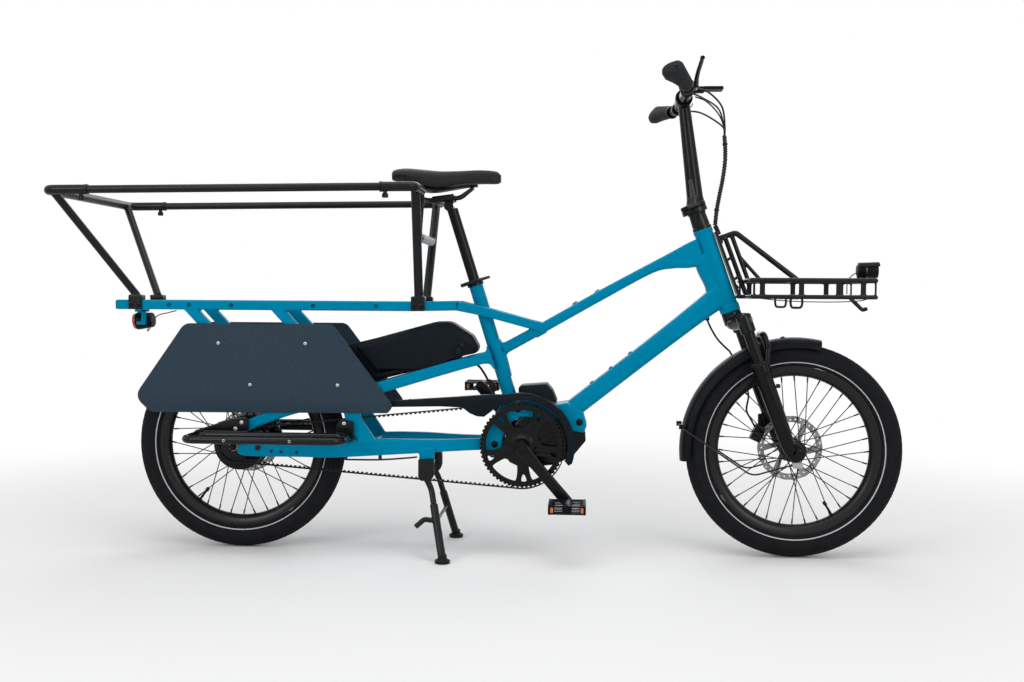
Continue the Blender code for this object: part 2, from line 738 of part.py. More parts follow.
def fork_upper():
    steerer = rod("steerer", steer(-0.020), steer(HEAD_LENGTH + 0.030), STEERER_RADIUS, BLACK_PAINT)
    rings = []
    for side, ahead, deep, tall in ((-0.080, LEG_AHEAD, 0.030, 0.030), (-0.060, LEG_AHEAD, 0.042, 0.040),
                                    (-0.020, 0.004, 0.050, 0.036), (0.020, 0.004, 0.050, 0.036),
                                    (0.060, LEG_AHEAD, 0.042, 0.040), (0.080, LEG_AHEAD, 0.030, 0.030)):
        centre = steer(-0.0285, ahead, side)
        ring = []
        for index in range(10):
            angle = 2 * pi * index / 10
            ring.append(centre + STEER_AHEAD * (deep / 2 * cos(angle)) + STEER_UP * (tall / 2 * sin(angle)))
        rings.append(ring)
    crown = loft("crown", rings, BLACK_PAINT)
    race = rod("race", steer(-0.0300), steer(-GAP), 0.0240, BLACK_PAINT, sides=16)
    pieces = [crown, steerer, race]
    for side in (RIGHT, LEFT):
        top = steer(-0.012, LEG_AHEAD, side * LEG_SIDE)
        pieces.append(rod("clamp", top, steer(-0.058, LEG_AHEAD, side * LEG_SIDE), 0.0185, BLACK_PAINT))
        pieces.append(rod("stanchion", top, steer(-0.250, LEG_AHEAD, side * LEG_SIDE), STANCHION_RADIUS,
                          BLACK_PAINT))
    return unite("fork_upper", pieces)


def fork_arch():
    """Brace between the legs, in front of the stanchions and over the tyre."""
    top = -0.072
    path = bent([steer(-0.150, 0.030, -LEG_SIDE), steer(-0.105, 0.050, -0.060), steer(top, 0.057, -0.030),
                 steer(top, 0.057, 0.030), steer(-0.105, 0.050, 0.060), steer(-0.150, 0.030, LEG_SIDE)], 0.03,
                 2)
    return solid_tube("arch", path, 0.0085, BLACK_PAINT, 1)


def fork_lower():
    pieces = []
    for side in (RIGHT, LEFT):
        leg_top = steer(-0.138, LEG_AHEAD, side * LEG_SIDE)
        leg_mid = steer(-0.168, LEG_AHEAD, side * LEG_SIDE)
        leg_low = steer(-0.385, LEG_AHEAD + 0.002, side * LEG_SIDE)
        pieces.append(rod("collar", leg_top, leg_mid, LEG_RADIUS + 0.0015, BLACK_PAINT))
        pieces.append(rod("leg", leg_mid, leg_low, LEG_RADIUS, BLACK_PAINT, 0.0165))
        outline = rounded([(1.322, 0.262, 0.012), (1.330, 0.292, 0.010), (1.368, 0.284, 0.012),
                           (1.386, 0.262, 0.012),
                           (1.374, 0.240, 0.012), (1.340, 0.236, 0.012)])
        pieces.append(solid_plate("dropout", [outline], 0.016, BLACK_PAINT, side * 0.0600))
    pieces.append(fork_arch())
    pieces += axle_bar(FRONT_AXLE, 0.0765)
    pieces.append(block("mount", at(1.286, 0.296, 0.0603), at(1.318, 0.342, 0.068), BLACK_PAINT))
    lower = unite("fork_lower", pieces)
    tools = []
    for side in (RIGHT, LEFT):
        mouth = steer(-0.120, LEG_AHEAD, side * LEG_SIDE)
        floor = steer(-0.250 - FORK_TRAVEL - 0.006, LEG_AHEAD, side * LEG_SIDE)
        tools.append(rod("stanchion_bore", mouth, floor, STANCHION_RADIUS + 0.0004, None, sides=12))
    return cut(lower, *tools)


def stem_base():
    """Headset cover, cone and lower hinge plate, clamped round the steerer."""
    low = HEAD_LENGTH + GAP
    bore = STEERER_RADIUS + 0.0004
    profile = [(bore, low), (0.0235, low), (0.0235, 0.2175), (0.0218, 0.2185), (0.0205, 0.2480),
               (0.0225, 0.2520),
               (0.0225, 0.2550), (bore, 0.2550)]
    collar = turned("collar", profile, steer(0), STEER_UP, BLACK_METAL, 16)
    flange = flange_plate("flange", 0.2540, HINGE_ALONG, BLACK_METAL)
    return unite("stem_base", [collar, flange])


def flange_plate(name, low, high, surface):
    """Oval hinge plate round the steering axis, longer at the back, where its catch is."""
    mesh = bmesh.new()
    rows = []
    for along in (low, high):
        row = []
        for index in range(16):
            angle = 2 * pi * index / 16
            back = 0.034 if cos(angle) < 0 else 0.028
            row.append(mesh.verts.new(steer(along, back * cos(angle), 0.0285 * sin(angle))))
        rows.append(row)
    for i in range(16):
        mesh.faces.new((rows[0][i], rows[0][(i + 1) % 16], rows[1][(i + 1) % 16], rows[1][i]))
    mesh.faces.new(rows[0])
    mesh.faces.new(list(reversed(rows[1])))
    return mesh_object(name, mesh, surface)


def stem_post():
    flange = flange_plate("flange_top", HINGE_ALONG + GAP, HINGE_ALONG + 0.0115, BLACK_METAL)
    post = rod("post", POST_FOOT, POST_TOP, 0.0200, BLACK_METAL, 0.0140, 20)
    clamp = cross_rod("clamp", at(POST_TOP_X - 0.001, POST_TOP_Z), 0.022, 0.0210, BLACK_METAL, 16)
    post_body = unite("stem_post", [flange, post, clamp])
    return cut(post_body, cross_rod("bar_bore", at(POST_TOP_X - 0.001, POST_TOP_Z), 0.03, 0.0162, None, 16))


def latch():
    """Folding lever that lies along the right of the post."""
    path = bent([steer(0.2720, LATCH_AHEAD, -0.0340), steer(0.2900, 0.0, -0.0325),
                 steer(0.3330, 0.008, -0.0290)], 0.02)
    rings = []
    for index, place in enumerate(path):
        wide = 0.018 + 0.006 * sin(pi * index / (len(path) - 1))
        ring = []
        for step in range(8):
            angle = 2 * pi * step / 8
            ring.append(place + STEER_AHEAD * (wide / 2 * cos(angle)) + SIDEWAYS * (0.0032 * sin(angle)))
        rings.append(ring)
    blade = loft("latch_blade", rings, BLACK_METAL)
    reach = 0.014
    hub_bar = rod("latch_hub", steer(0.2715, LATCH_AHEAD - reach, -0.0345),
                  steer(0.2715, LATCH_AHEAD + reach, -0.0345),
                  0.0050, BLACK_METAL, sides=12)
    return unite("stem_latch", [blade, hub_bar])


def bar_path(side):
    return [at(1.0855, POST_TOP_Z, 0), at(1.0855, 1.1070, side * 0.090), at(1.0825, 1.1060, side * 0.150),
            at(1.0760, 1.1090, side * 0.190), at(1.0450, 1.1259, side * (BAR_HALF - 0.007))]


def handlebar():
    right = [point for point in reversed(bar_path(RIGHT))]
    path = bent(right + bar_path(LEFT)[1:], 0.06, 1)
    thin = solid_tube("handlebar", path, 0.0111, BLACK_METAL)
    middle = cross_rod("middle", at(1.0855, POST_TOP_Z), 0.045, 0.0159, BLACK_METAL, 16)
    return unite("handlebar", [thin, middle])


def grip(name, side):
    """Rubber grip with a palm rest that spreads back from the bar."""
    start = at(1.0750, 1.1096, side * 0.1935)
    end = at(1.0436, 1.1267, side * (BAR_HALF - 0.0020))
    along = (end - start).normalized()
    drop = -0.6 if side == LEFT else 0.0
    back = (Vector((-1, 0, drop)) - along * Vector((-1, 0, drop)).dot(along)).normalized()
    up = along.cross(back)
    if up.z < 0:
        up = -up
    rings = []
    for share, wing in ((0.0, 0.0), (0.12, 0.0), (0.45, 0.008), (0.78, 0.021), (0.97, 0.021), (1.02, 0.014)):
        centre = start.lerp(end, share)
        size = 0.0165 if 0.0 < share < 1.0 else 0.0145
        ring = []
        for index in range(12):
            angle = 2 * pi * index / 12
            out = cos(angle)
            reach = size + (wing * out * out if out > 0 else 0.0)
            thin = 1 - 0.35 * max(0.0, out)
            sag = 0.010 * wing / 0.021 * max(0.0, out)
            ring.append(centre + back * (reach * out) + up * (size * sin(angle) * thin - sag))
        rings.append(ring)
    body = loft(name, rings, RUBBER)
    tool = rod("grip_bore", start - along * 0.01, end - along * 0.0005, 0.0114, None, sides=16)
    return cut(body, tool)


def lever_point(x, z, side, y):
    """Point on a brake lever. The left one is turned forward and down round the bar."""
    turn = LEFT_LEVER_TURN if side == LEFT else 0.0
    dx = x - LEVER_RING_X
    dz = z - LEVER_RING_Z
    return at(LEVER_RING_X + dx * cos(turn) + dz * sin(turn), LEVER_RING_Z - dx * sin(turn) + dz * cos(turn),
              side * y)


def bar_bracket(name, side):
    """Brake lever body with its round clamp on the bar."""
    along = (bar_path(side)[2] - bar_path(side)[1]).normalized()
    middle = bar_path(side)[1].lerp(bar_path(side)[2], 0.62)
    ring = rod("bracket_ring", middle - along * 0.007, middle + along * 0.007, 0.0160, BLACK_METAL, sides=16)
    start = lever_point(1.1020, 1.1205, side, 0.095)
    body = rod("bracket_body", start, lever_point(1.1010, 1.1210, side, 0.136), 0.0095, BLACK_METAL, sides=12)
    made = unite(name, [ring, body])
    return cut(made, rod("bracket_bore", middle - along * 0.02, middle + along * 0.02, 0.0114, None,
                         sides=16))


def brake_lever(name, side):
    outline = ((1.1030, 1.1225, 0.1385), (1.1060, 1.1270, 0.160), (1.1075, 1.1360, 0.200),
               (1.1055, 1.1470, 0.250),
               (1.1010, 1.1540, 0.284))
    path = flowing([lever_point(x, z, side, y) for x, z, y in outline], 9)
    rings = []
    for index, place in enumerate(path):
        tall = 0.012 if index < len(path) - 1 else 0.008
        ring = []
        for step in range(8):
            angle = 2 * pi * step / 8 + pi / 8
            out = Vector((1, 0, 0)) * (0.0035 * cos(angle))
            ring.append(place + out + Vector((0, 0, 1)) * (tall / 2 * sin(angle)))
        rings.append(ring)
    return loft(name, rings, BLACK_METAL)


def shifter():
    """Twist shifter ring between the right grip and the brake lever."""
    points = bar_path(RIGHT)
    along = (points[3] - points[2]).normalized()
    start = points[2].lerp(points[3], 0.10)
    end = points[2].lerp(points[3], 0.82)
    body = rod("twist_shifter", start, end, 0.0170, RUBBER, 0.0185, 16)
    return cut(body, rod("shifter_bore", start - along * 0.02, end + along * 0.02, 0.0118, None, sides=16))


def display():
    arm = block("arm", at(1.1060, 1.1190, -0.038), at(1.1340, 1.1350, -0.018), BLACK_PLASTIC)
    ring = cross_rod("ring", at(1.0855, POST_TOP_Z, -0.028), 0.006, 0.0205, BLACK_PLASTIC, 16)
    link_arm = block("link", at(1.0920, 1.1160, -0.034), at(1.1120, 1.1300, -0.022), BLACK_PLASTIC)
    screen = block("screen", at(1.1270, 1.1245, -0.051), at(1.1775, 1.1325, -0.009), BLACK_PLASTIC)
    made = unite("display", [arm, ring, link_arm, screen])
    return cut(made, cross_rod("display_bore", at(1.0855, POST_TOP_Z, -0.028), 0.020, 0.0162, None, 16))


BUNDLE_ROUTE = ((1.1860, 1.0220), (1.1885, 0.9900), (1.1880, 0.9550), (1.1830, 0.9150), (1.1760, 0.8780),
                (1.1700, 0.8420), (1.1665, 0.8060))


def cable_bundle():
    path = flowing([at(x, z, 0) for x, z in BUNDLE_ROUTE], 13)
    bundle = solid_tube("bundle", path, 0.0045, RUBBER, 2)
    pieces = [bundle]
    joint = at(1.1855, 1.0120)
    routes = [
        [at(1.1030, 1.1200, -0.0930), at(1.1370, 1.1120, -0.080), at(1.1740, 1.0850, -0.040),
         at(1.1860, 1.0420, -0.006)],
        [lever_point(1.1030, 1.1200, LEFT, 0.0930), at(1.1330, 1.0900, 0.076), at(1.1600, 1.0680, 0.036),
         at(1.1850, 1.0400, 0.005)],
        [at(1.1120, 1.1105, -0.028), at(1.1400, 1.1000, -0.022), at(1.1700, 1.0720, -0.010),
         at(1.1850, 1.0400, 0.001)]]
    for route in routes:
        pieces.append(solid_tube("lead", flowing(route + [joint], 10), 0.0022, RUBBER, 1))
    return unite("cable_bundle", pieces)


def saddle():
    """Soft saddle form with a raised tail, a narrow nose and drawn-in sides."""
    stations = [
        (0.3820, 0.9275, 0.042, 0.014), (0.3890, 0.9355, 0.066, 0.028), (0.4200, 0.9390, 0.080, 0.034),
        (0.4640, 0.9360, 0.073, 0.038), (0.5000, 0.9340, 0.052, 0.042), (0.5420, 0.9355, 0.032, 0.034),
        (0.5950, 0.9380, 0.023, 0.031), (0.6330, 0.9345, 0.019, 0.028), (0.6470, 0.9240, 0.011, 0.014)]
    rings = []
    for x, top, half, deep in stations:
        ring = []
        for u, v in ((0.0, -0.010), (0.50, 0.0), (0.88, -0.16), (1.0, -0.52), (0.90, -0.98), (0.45, -0.90)):
            ring.append((u, v))
        left = [at(x, top + deep * v, half * u) for u, v in ring]
        right = [at(x, top + deep * v, -half * u) for u, v in reversed(ring[1:])]
        floor = at(x, top - deep * 0.88, 0)
        rings.append(left + [floor] + right)
    cage = loft("saddle", rings, LEATHER)
    cage.data.shade_smooth()
    subdivide = cage.modifiers.new("soft", "SUBSURF")
    subdivide.levels = 1
    subdivide.render_levels = 1
    return freeze(cage)


def saddle_plate():
    rings = []
    for x, top, half, deep in ((0.3920, 0.9040, 0.046, 0.006), (0.4300, 0.9010, 0.060, 0.010),
                               (0.4700, 0.8950, 0.050, 0.010), (0.5100, 0.8945, 0.030, 0.008),
                               (0.5600, 0.9015, 0.016, 0.006), (0.5900, 0.9035, 0.012, 0.006)):
        rings.append([at(x, top, half), at(x, top - deep, half * 0.8), at(x, top - deep, -half * 0.8),
                      at(x, top, -half)])
    return loft("saddle_plate", rings, BLACK_PLASTIC)


def saddle_rails():
    pieces = []
    for side in (RIGHT, LEFT):
        path = bent([at(0.4250, 0.8900, side * 0.030), at(0.4620, 0.8650, side * 0.022),
                     at(0.5450, 0.8710, side * 0.022),
                     at(0.5750, 0.8940, side * 0.008)], 0.03, 2)
        pieces.append(solid_tube("rail", path, 0.0036, BLACK_METAL, 1))
    pieces.append(cross_rod("rail_tie", at(0.5760, 0.8940), 0.010, 0.0036, BLACK_METAL, 8))
    pieces.append(cross_rod("rail_tail", at(0.4250, 0.8915), 0.032, 0.0042, BLACK_METAL, 8))
    return unite("saddle_rails", [saddle_plate()] + pieces)


def seat_post():
    low = at(*on_line(SEAT_TOP, SEAT_LOW, 0.52))
    high = at(*on_line(SEAT_TOP, SEAT_LOW, -0.6430))
    post = rod("post", low, high, SEAT_POST_RADIUS, BLACK_METAL, sides=16)
    head = cross_rod("head", at(0.5180, 0.8500), 0.019, 0.0120, BLACK_METAL, 12)
    jaw = freeze(block("jaw", at(0.4800, 0.8590, -0.030), at(0.5320, 0.8780, 0.030), BLACK_METAL, 0.003))
    made = unite("seat_post", [post, head, jaw])
    tools = []
    for side in (RIGHT, LEFT):
        tools.append(rod("rail_slot", at(0.4500, 0.8645, side * 0.022), at(0.5500, 0.8715, side * 0.022),
                         0.0044, None,
                         sides=8))
    return cut(made, *tools)


def seat_collar():
    """Split collar at the top of the seat tube."""
    top = at(*SEAT_TOP)
    down = (at(*SEAT_LOW) - top).normalized()
    ring = rod("seat_collar", top - down * 0.0095, top - down * GAP, 0.0205, BLACK_METAL, sides=16)
    ahead = Vector((-down.z, 0, down.x))
    ear = block("ear", (-0.012, -0.009, -0.0045), (0.012, 0.009, 0.0045), BLACK_METAL)
    ear.rotation_euler = (0, -atan2(down.x, -down.z), 0)
    ear.location = top - down * 0.0049 - ahead * 0.024
    made = unite("seat_collar", [ring, freeze(ear)])
    return cut(made, rod("collar_bore", top - down * 0.03, top + down * 0.01, SEAT_POST_RADIUS + 0.0004, None,
                         sides=16))


def seat_lever():
    """Quick-release lever that hooks forward round the collar."""
    top = at(*SEAT_TOP)
    down = (at(*SEAT_LOW) - top).normalized()
    ahead = Vector((-down.z, 0, down.x))
    centre = top - down * 0.0049
    path = bent([centre - ahead * 0.030 - SIDEWAYS * 0.0135, centre - ahead * 0.020 - SIDEWAYS * 0.0265,
                 centre + ahead * 0.012 - SIDEWAYS * 0.0275, centre + ahead * 0.040 - SIDEWAYS * 0.0150],
                 0.02, 3)
    return freeze(tube("seat_lever", path, 0.0040, BLACK_METAL, 2))


def chainring():
    outer = circle(CRANK_X, CRANK_Z, RING_RADIUS, 40)
    centre_hole = circle(CRANK_X, CRANK_Z, SPINDLE_RADIUS + GAP, 16)
    windows = []
    arms = 5
    for index in range(arms):
        middle = 360 / arms * index + 22
        windows.append(arc(CRANK_X, CRANK_Z, 0.0900, middle - 26, middle + 26, 4)
                       + arc(CRANK_X, CRANK_Z, 0.0350, middle + 22, middle - 22, 2))
        fork = 360 / arms * index - 14
        windows.append(arc(CRANK_X, CRANK_Z, 0.0885, fork - 5.5, fork + 5.5, 1)
                       + arc(CRANK_X, CRANK_Z, 0.0680, fork + 2.0, fork - 2.0, 1))
    ring = solid_plate("chainring", [outer, centre_hole] + windows, 0.0090, BLACK_METAL, BELT_SIDE,
                       (CRANK_X, CRANK_Z))
    return ring


def belt():
    """Closed belt: an arc round each sprocket, joined by the straight runs."""
    def loop(extra):
        big = (RING_RADIUS + extra) * 1.0031
        small = (COG_RADIUS + extra) * 1.0115
        dx = CRANK_X
        dz = CRANK_Z - AXLE_Z
        slope = atan2(dz, dx)
        spread = acos((big - small) / sqrt(dx * dx + dz * dz)) * 180 / pi
        tilt = slope * 180 / pi
        front = arc(CRANK_X, CRANK_Z, big, tilt - 180 + spread, tilt + 180 - spread, 22)
        rear = arc(0.0, AXLE_Z, small, tilt + 180 - spread, tilt + 180 + spread, 10)
        return front + rear
    return solid_plate("belt", [loop(GAP + BELT_THICKNESS), loop(GAP)], BELT_WIDTH, RUBBER, BELT_SIDE,
                       (CRANK_X, CRANK_Z))


def belt_guard():
    """Cover over the upper belt run and round the front of the ring."""
    arm_top = [(0.3865, 0.3745), (0.4600, 0.3800), (0.5420, 0.3860), (0.6200, 0.3925)]
    over = arc(CRANK_X, CRANK_Z, 0.1290, 106, -18, 9)
    tip = [(0.8170, 0.2230), (0.8060, 0.2360)]
    under = arc(CRANK_X, CRANK_Z, 0.1110, -16, 132, 10)
    lobe = [(0.6120, 0.3390), (0.5950, 0.3400), (0.5760, 0.3480), (0.5600, 0.3610), (0.5050, 0.3630),
            (0.3865, 0.3600)]
    outline = arm_top + over + tip + under + lobe
    skin = solid_plate("skin", [outline], 0.0030, BLACK_PLASTIC, -0.0680)
    lip_over = arc(CRANK_X, CRANK_Z, 0.1290, 106, -12, 10)
    lip_under = arc(CRANK_X, CRANK_Z, 0.1240, -12, 106, 10)
    arm_low = [(x, z - 0.006) for x, z in reversed(arm_top)]
    lip = solid_plate("lip", [arm_top + lip_over + lip_under + arm_low], 0.0230, BLACK_PLASTIC, -0.0565)
    return unite("belt_guard", [skin, lip])


def cog():
    profile = [(0.0140, -0.0045), (COG_RADIUS, -0.0045), (COG_RADIUS, 0.0045), (0.0140, 0.0045)]
    return turned("rear_sprocket", profile, REAR_AXLE + Vector((0, BELT_SIDE, 0)), SIDEWAYS, BLACK_METAL, 28)


def pedal_point(side):
    turn = CRANK_ANGLE if side == RIGHT else CRANK_ANGLE + pi
    return at(CRANK_X + CRANK_LENGTH * cos(turn), CRANK_Z + CRANK_LENGTH * sin(turn), 0)


def crank_arm(name, side):
    hub_end = CRANK_AXIS + SIDEWAYS * (side * 0.0865)
    far = pedal_point(side) + SIDEWAYS * (side * 0.0875)
    rings = []
    direction = (far - hub_end).normalized()
    for share, wide, thick in ((-0.075, 0.016, 0.009), (-0.04, 0.030, 0.013), (0.08, 0.034, 0.014),
                               (0.35, 0.027, 0.012),
                               (0.92, 0.028, 0.012), (1.04, 0.026, 0.011), (1.075, 0.015, 0.009)):
        centre = hub_end.lerp(far, share)
        rings.append(beam_ring(centre, direction, thick, wide, thick * 0.3, 2))
    arm = loft("arm", rings, BLACK_METAL)
    boss = cross_rod("boss", CRANK_AXIS + SIDEWAYS * (side * 0.0865), 0.0085, 0.0155, BLACK_METAL, 16)
    pedal_axle = rod("pedal_axle", pedal_point(side) + SIDEWAYS * (side * 0.084),
                     pedal_point(side) + SIDEWAYS * (side * 0.190), 0.0050, STEEL, sides=8)
    pieces = [arm, boss, pedal_axle]
    if side == LEFT:
        pieces.append(rod("spindle", CRANK_AXIS - SIDEWAYS * (0.0780 - GAP), CRANK_AXIS + SIDEWAYS * 0.0800,
                          SPINDLE_RADIUS,
                          STEEL, sides=16))
    return unite(name, pieces)


def pedal(name, side):
    centre = pedal_point(side) + SIDEWAYS * (side * 0.1470)
    body = block(name, centre - Vector((0.044, 0.046, 0.0115)), centre + Vector((0.044, 0.046, 0.0115)),
                 BLACK_PLASTIC)
    tools = [cross_rod("pedal_bore", centre, 0.060, 0.0055, None, 12)]
    for ahead in (RIGHT, LEFT):
        inner = centre + Vector((ahead * 0.0240, 0, 0))
        tools.append(block("window", inner - Vector((0.0120, 0.036, 0.03)),
                           inner + Vector((0.0120, 0.036, 0.03)), None))
    return cut(body, *tools)


def stand_bracket():
    pieces = []
    for side in (RIGHT, LEFT):
        outer = side * STAND_SIDE
        pieces.append(block("cheek_out", at(0.455, 0.1840, outer + side * 0.0100 - 0.0014),
                            at(0.493, 0.2351, outer + side * 0.0100 + 0.0014), BLACK_PAINT))
        pieces.append(block("cheek_in", at(0.455, 0.1840, outer - side * 0.0102 - 0.0013),
                            at(0.493, 0.2351, outer - side * 0.0102 + 0.0013), BLACK_PAINT))
        pieces.append(block("web", at(0.455, 0.2270, outer - 0.0105), at(0.493, 0.2351, outer + 0.0105),
                            BLACK_PAINT))
    pieces.append(cross_rod("stand_shaft", STAND_AXIS, 0.0900, 0.0055, BLACK_PAINT, 10))
    return unite("stand_bracket", pieces)


def stand_legs():
    pieces = []
    for side in (RIGHT, LEFT):
        path = bent([at(0.4690, 0.1970, side * STAND_SIDE), at(0.4860, 0.1640, side * (STAND_SIDE + 0.001)),
                     at(FOOT_X, 0.0070, side * FOOT_SIDE)], 0.06, 2)
        pieces.append(solid_tube("leg", path, 0.0075, BLACK_PAINT))
        low = path[-1]
        high = path[-3]
        pieces.append(rod("shin", high.lerp(low, 0.10), low, 0.0098, BLACK_PAINT, sides=10))
        eye = STAND_AXIS + SIDEWAYS * (side * STAND_SIDE)
        pieces.append(cross_rod("eye", eye, 0.0070, 0.0110, BLACK_PAINT, 16))
    tie = [at(0.5045, 0.0895, -0.1080), at(0.5025, 0.0840, 0), at(0.5045, 0.0895, 0.1080)]
    pieces.append(solid_tube("tie", tie, 0.0042, BLACK_PAINT, 1))
    tab = bent([at(0.5020, 0.0920, -0.1080), at(0.4740, 0.0960, -0.1100), at(0.4530, 0.0780, -0.1130)], 0.012,
               2)
    pieces.append(solid_tube("tab", tab, 0.0065, BLACK_PAINT, 1))
    for side in (RIGHT, LEFT):
        pieces += stand_foot(side)
    made = unite("stand_legs", pieces)
    return cut(made, cross_rod("stand_bore", STAND_AXIS, 0.12, 0.0059, None, 12))


def stand_foot(side):
    """Round rubber foot, a flat disc with a rounded upper edge."""
    low = at(FOOT_X, 0, side * FOOT_SIDE)
    middle = at(FOOT_X, 0.0065, side * FOOT_SIDE)
    high = at(FOOT_X, 0.0110, side * FOOT_SIDE)
    return [rod("foot", low, middle, 0.0175, RUBBER, 0.0185), rod("foot_top", middle, high, 0.0185, RUBBER,
                                                                  0.0120)]


def rail_z(x):
    share = (x + RAIL_OVERHANG) / (RAIL_FRONT_X + RAIL_OVERHANG)
    return RAIL_Z_REAR + (RAIL_Z_FRONT - RAIL_Z_REAR) * share


REAR_SLEEVE_END = -0.292
FRONT_SLEEVE_END = 0.389


def rail_clamp(x, side):
    """Saddle and cheek that sit on the deck beam's milled seat under a rail support."""
    inner = side * (BEAM_SIDE - 0.0125)
    outer = side * (BEAM_SIDE + 0.0145)
    cap = block("cap", at(x - CLAMP_HALF, CLAMP_SEAT_Z + GAP, min(inner, outer)),
                at(x + CLAMP_HALF, 0.6285, max(inner, outer)), BLACK_PAINT)
    near = side * (BEAM_SIDE + BEAM_WIDTH / 2 + GAP)
    cheek = block("cheek", at(x - CLAMP_HALF, 0.5930, min(near, outer)),
                  at(x + CLAMP_HALF, 0.6270, max(near, outer)), BLACK_PAINT)
    return [cap, cheek]


def knob(x, side):
    low = rail_z(x) - SLEEVE_RADIUS
    stem = rod("knob_stem", at(x, low - 0.0140, side * RAIL_SIDE), at(x, low + 0.004, side * RAIL_SIDE),
               0.0068,
               BLACK_METAL, 0.0050, 8)
    return [stem]


def long_rail(side):
    """Rail along one side, which slides into the sleeve of the front hoop."""
    rear = REAR_SLEEVE_END - 0.020
    front = FRONT_SLEEVE_END + 0.050
    return rod("rail", at(rear, rail_z(rear), side * RAIL_SIDE), at(front, rail_z(front), side * RAIL_SIDE),
               RAIL_RADIUS,
               BLACK_PAINT, sides=8)


def rear_hoop():
    z = rail_z(-0.385)
    back = -RAIL_OVERHANG + SLEEVE_RADIUS
    path = bent([at(REAR_SLEEVE_END, rail_z(REAR_SLEEVE_END), -RAIL_SIDE), at(back, z, -RAIL_SIDE),
                 at(back, z, RAIL_SIDE), at(REAR_SLEEVE_END, rail_z(REAR_SLEEVE_END), RAIL_SIDE)], 0.022)
    pieces = [solid_tube("hoop", path, SLEEVE_RADIUS, BLACK_PAINT)]
    for side in (RIGHT, LEFT):
        pieces.append(rod("support", at(-0.382, z - 0.001, side * 0.2120), at(-0.2420, 0.6262, side * 0.0680),
                          0.0095,
                          BLACK_PAINT, sides=8))
        pieces += rail_clamp(CLAMP_XS[0], side)
        pieces += knob(-0.301, side)
        pieces.append(long_rail(side))
    return unite("rear_rail_hoop", pieces)


def front_hoop():
    z = rail_z(RAIL_FRONT_X)
    pieces = []
    for side in (RIGHT, LEFT):
        path = bent([at(FRONT_SLEEVE_END, rail_z(FRONT_SLEEVE_END), side * RAIL_SIDE),
                     at(RAIL_FRONT_X, z, side * RAIL_SIDE),
                     at(RAIL_FRONT_X, z, side * 0.136)], 0.022)
        pieces.append(solid_tube("arm", path, SLEEVE_RADIUS, BLACK_PAINT))
        pieces.append(rod("support", at(RAIL_FRONT_X - 0.006, z, side * 0.1900),
                          at(0.4530, 0.6240, side * 0.0690),
                          0.0105, BLACK_PAINT, sides=8))
        pieces += rail_clamp(CLAMP_XS[1], side)
        pieces += knob(0.401, side)
    drop = bent([at(RAIL_FRONT_X, z, -0.138), at(RAIL_FRONT_X, z - 0.020, -0.132), at(0.4610, 0.7680, -0.128),
                 at(0.4610, 0.7680, 0.128), at(RAIL_FRONT_X, z - 0.020, 0.132), at(RAIL_FRONT_X, z, 0.138)],
                 0.030, 4)
    pieces.append(solid_tube("drop_bar", drop, 0.0070, BLACK_PAINT, 1))
    pieces.append(cross_rod("pad", at(0.4610, 0.7680), 0.090, 0.0105, GREY_PAD, 10))
    made = unite("front_rail_hoop", pieces)
    return cut(made, *sleeve_bores(FRONT_SLEEVE_END, 0.06))


def sleeve_bores(mouth_x, depth):
    """Sockets in the sleeves that take the ends of the long rails."""
    tools = []
    for side in (RIGHT, LEFT):
        outside = mouth_x - 0.02 * (1 if depth > 0 else -1)
        floor = mouth_x + depth
        tools.append(rod("sleeve_bore", at(outside, rail_z(outside), side * RAIL_SIDE),
                         at(floor, rail_z(floor), side * RAIL_SIDE),
                         RAIL_RADIUS + GAP, None, sides=8))
    return tools


def side_panel(name, side):
    outline = rounded([
        (-0.134, 0.5600, 0.035), (0.2520, 0.5600, 0.012), (0.3930, 0.3640, 0.012), (0.3800, 0.3460, 0.012),
        (-0.2050, 0.3420, 0.035), (-0.2460, 0.3800, 0.035)], 4)
    y = side * (BEAM_SIDE + 0.010 + GAP + 0.0020)
    return solid_plate(name, [outline], 0.0040, BOARD, y)


def footrest(name, side):
    z = 0.2895
    loop = []
    steps = 3
    centres = [(-0.060, 0.126, 180), (0.262, 0.126, 270), (0.262, 0.164, 0), (-0.060, 0.164, 90)]
    for x, y, first in centres:
        for step in range(steps + 1):
            angle = radians(first + 90 * step / steps)
            loop.append(at(x + 0.026 * cos(angle), z, side * (y + 0.026 * sin(angle))))
    ring = solid_tube("loop", loop, 0.0095, BLACK_PAINT, cyclic=True)
    inner = STAY_SIDE + STAY_WIDTH / 2 + GAP
    y = side * (inner + 0.0055)
    rear = rounded([(-0.094, 0.2870, 0.004), (-0.094, 0.2990, 0.006), (0.000, 0.3290, 0.010),
                    (0.038, 0.3340, 0.006), (0.040, 0.2890, 0.006), (0.000, 0.2830, 0.006)])
    front = rounded([(0.256, 0.2780, 0.006), (0.256, 0.3180, 0.012), (0.272, 0.3320, 0.006),
                     (0.298, 0.3260, 0.006), (0.298, 0.2780, 0.006)])
    pieces = [ring, solid_plate("rear_plate", [rear], 0.0110, BLACK_PAINT, y),
              solid_plate("front_plate", [front], 0.0110, BLACK_PAINT, y)]
    return unite(name, pieces)


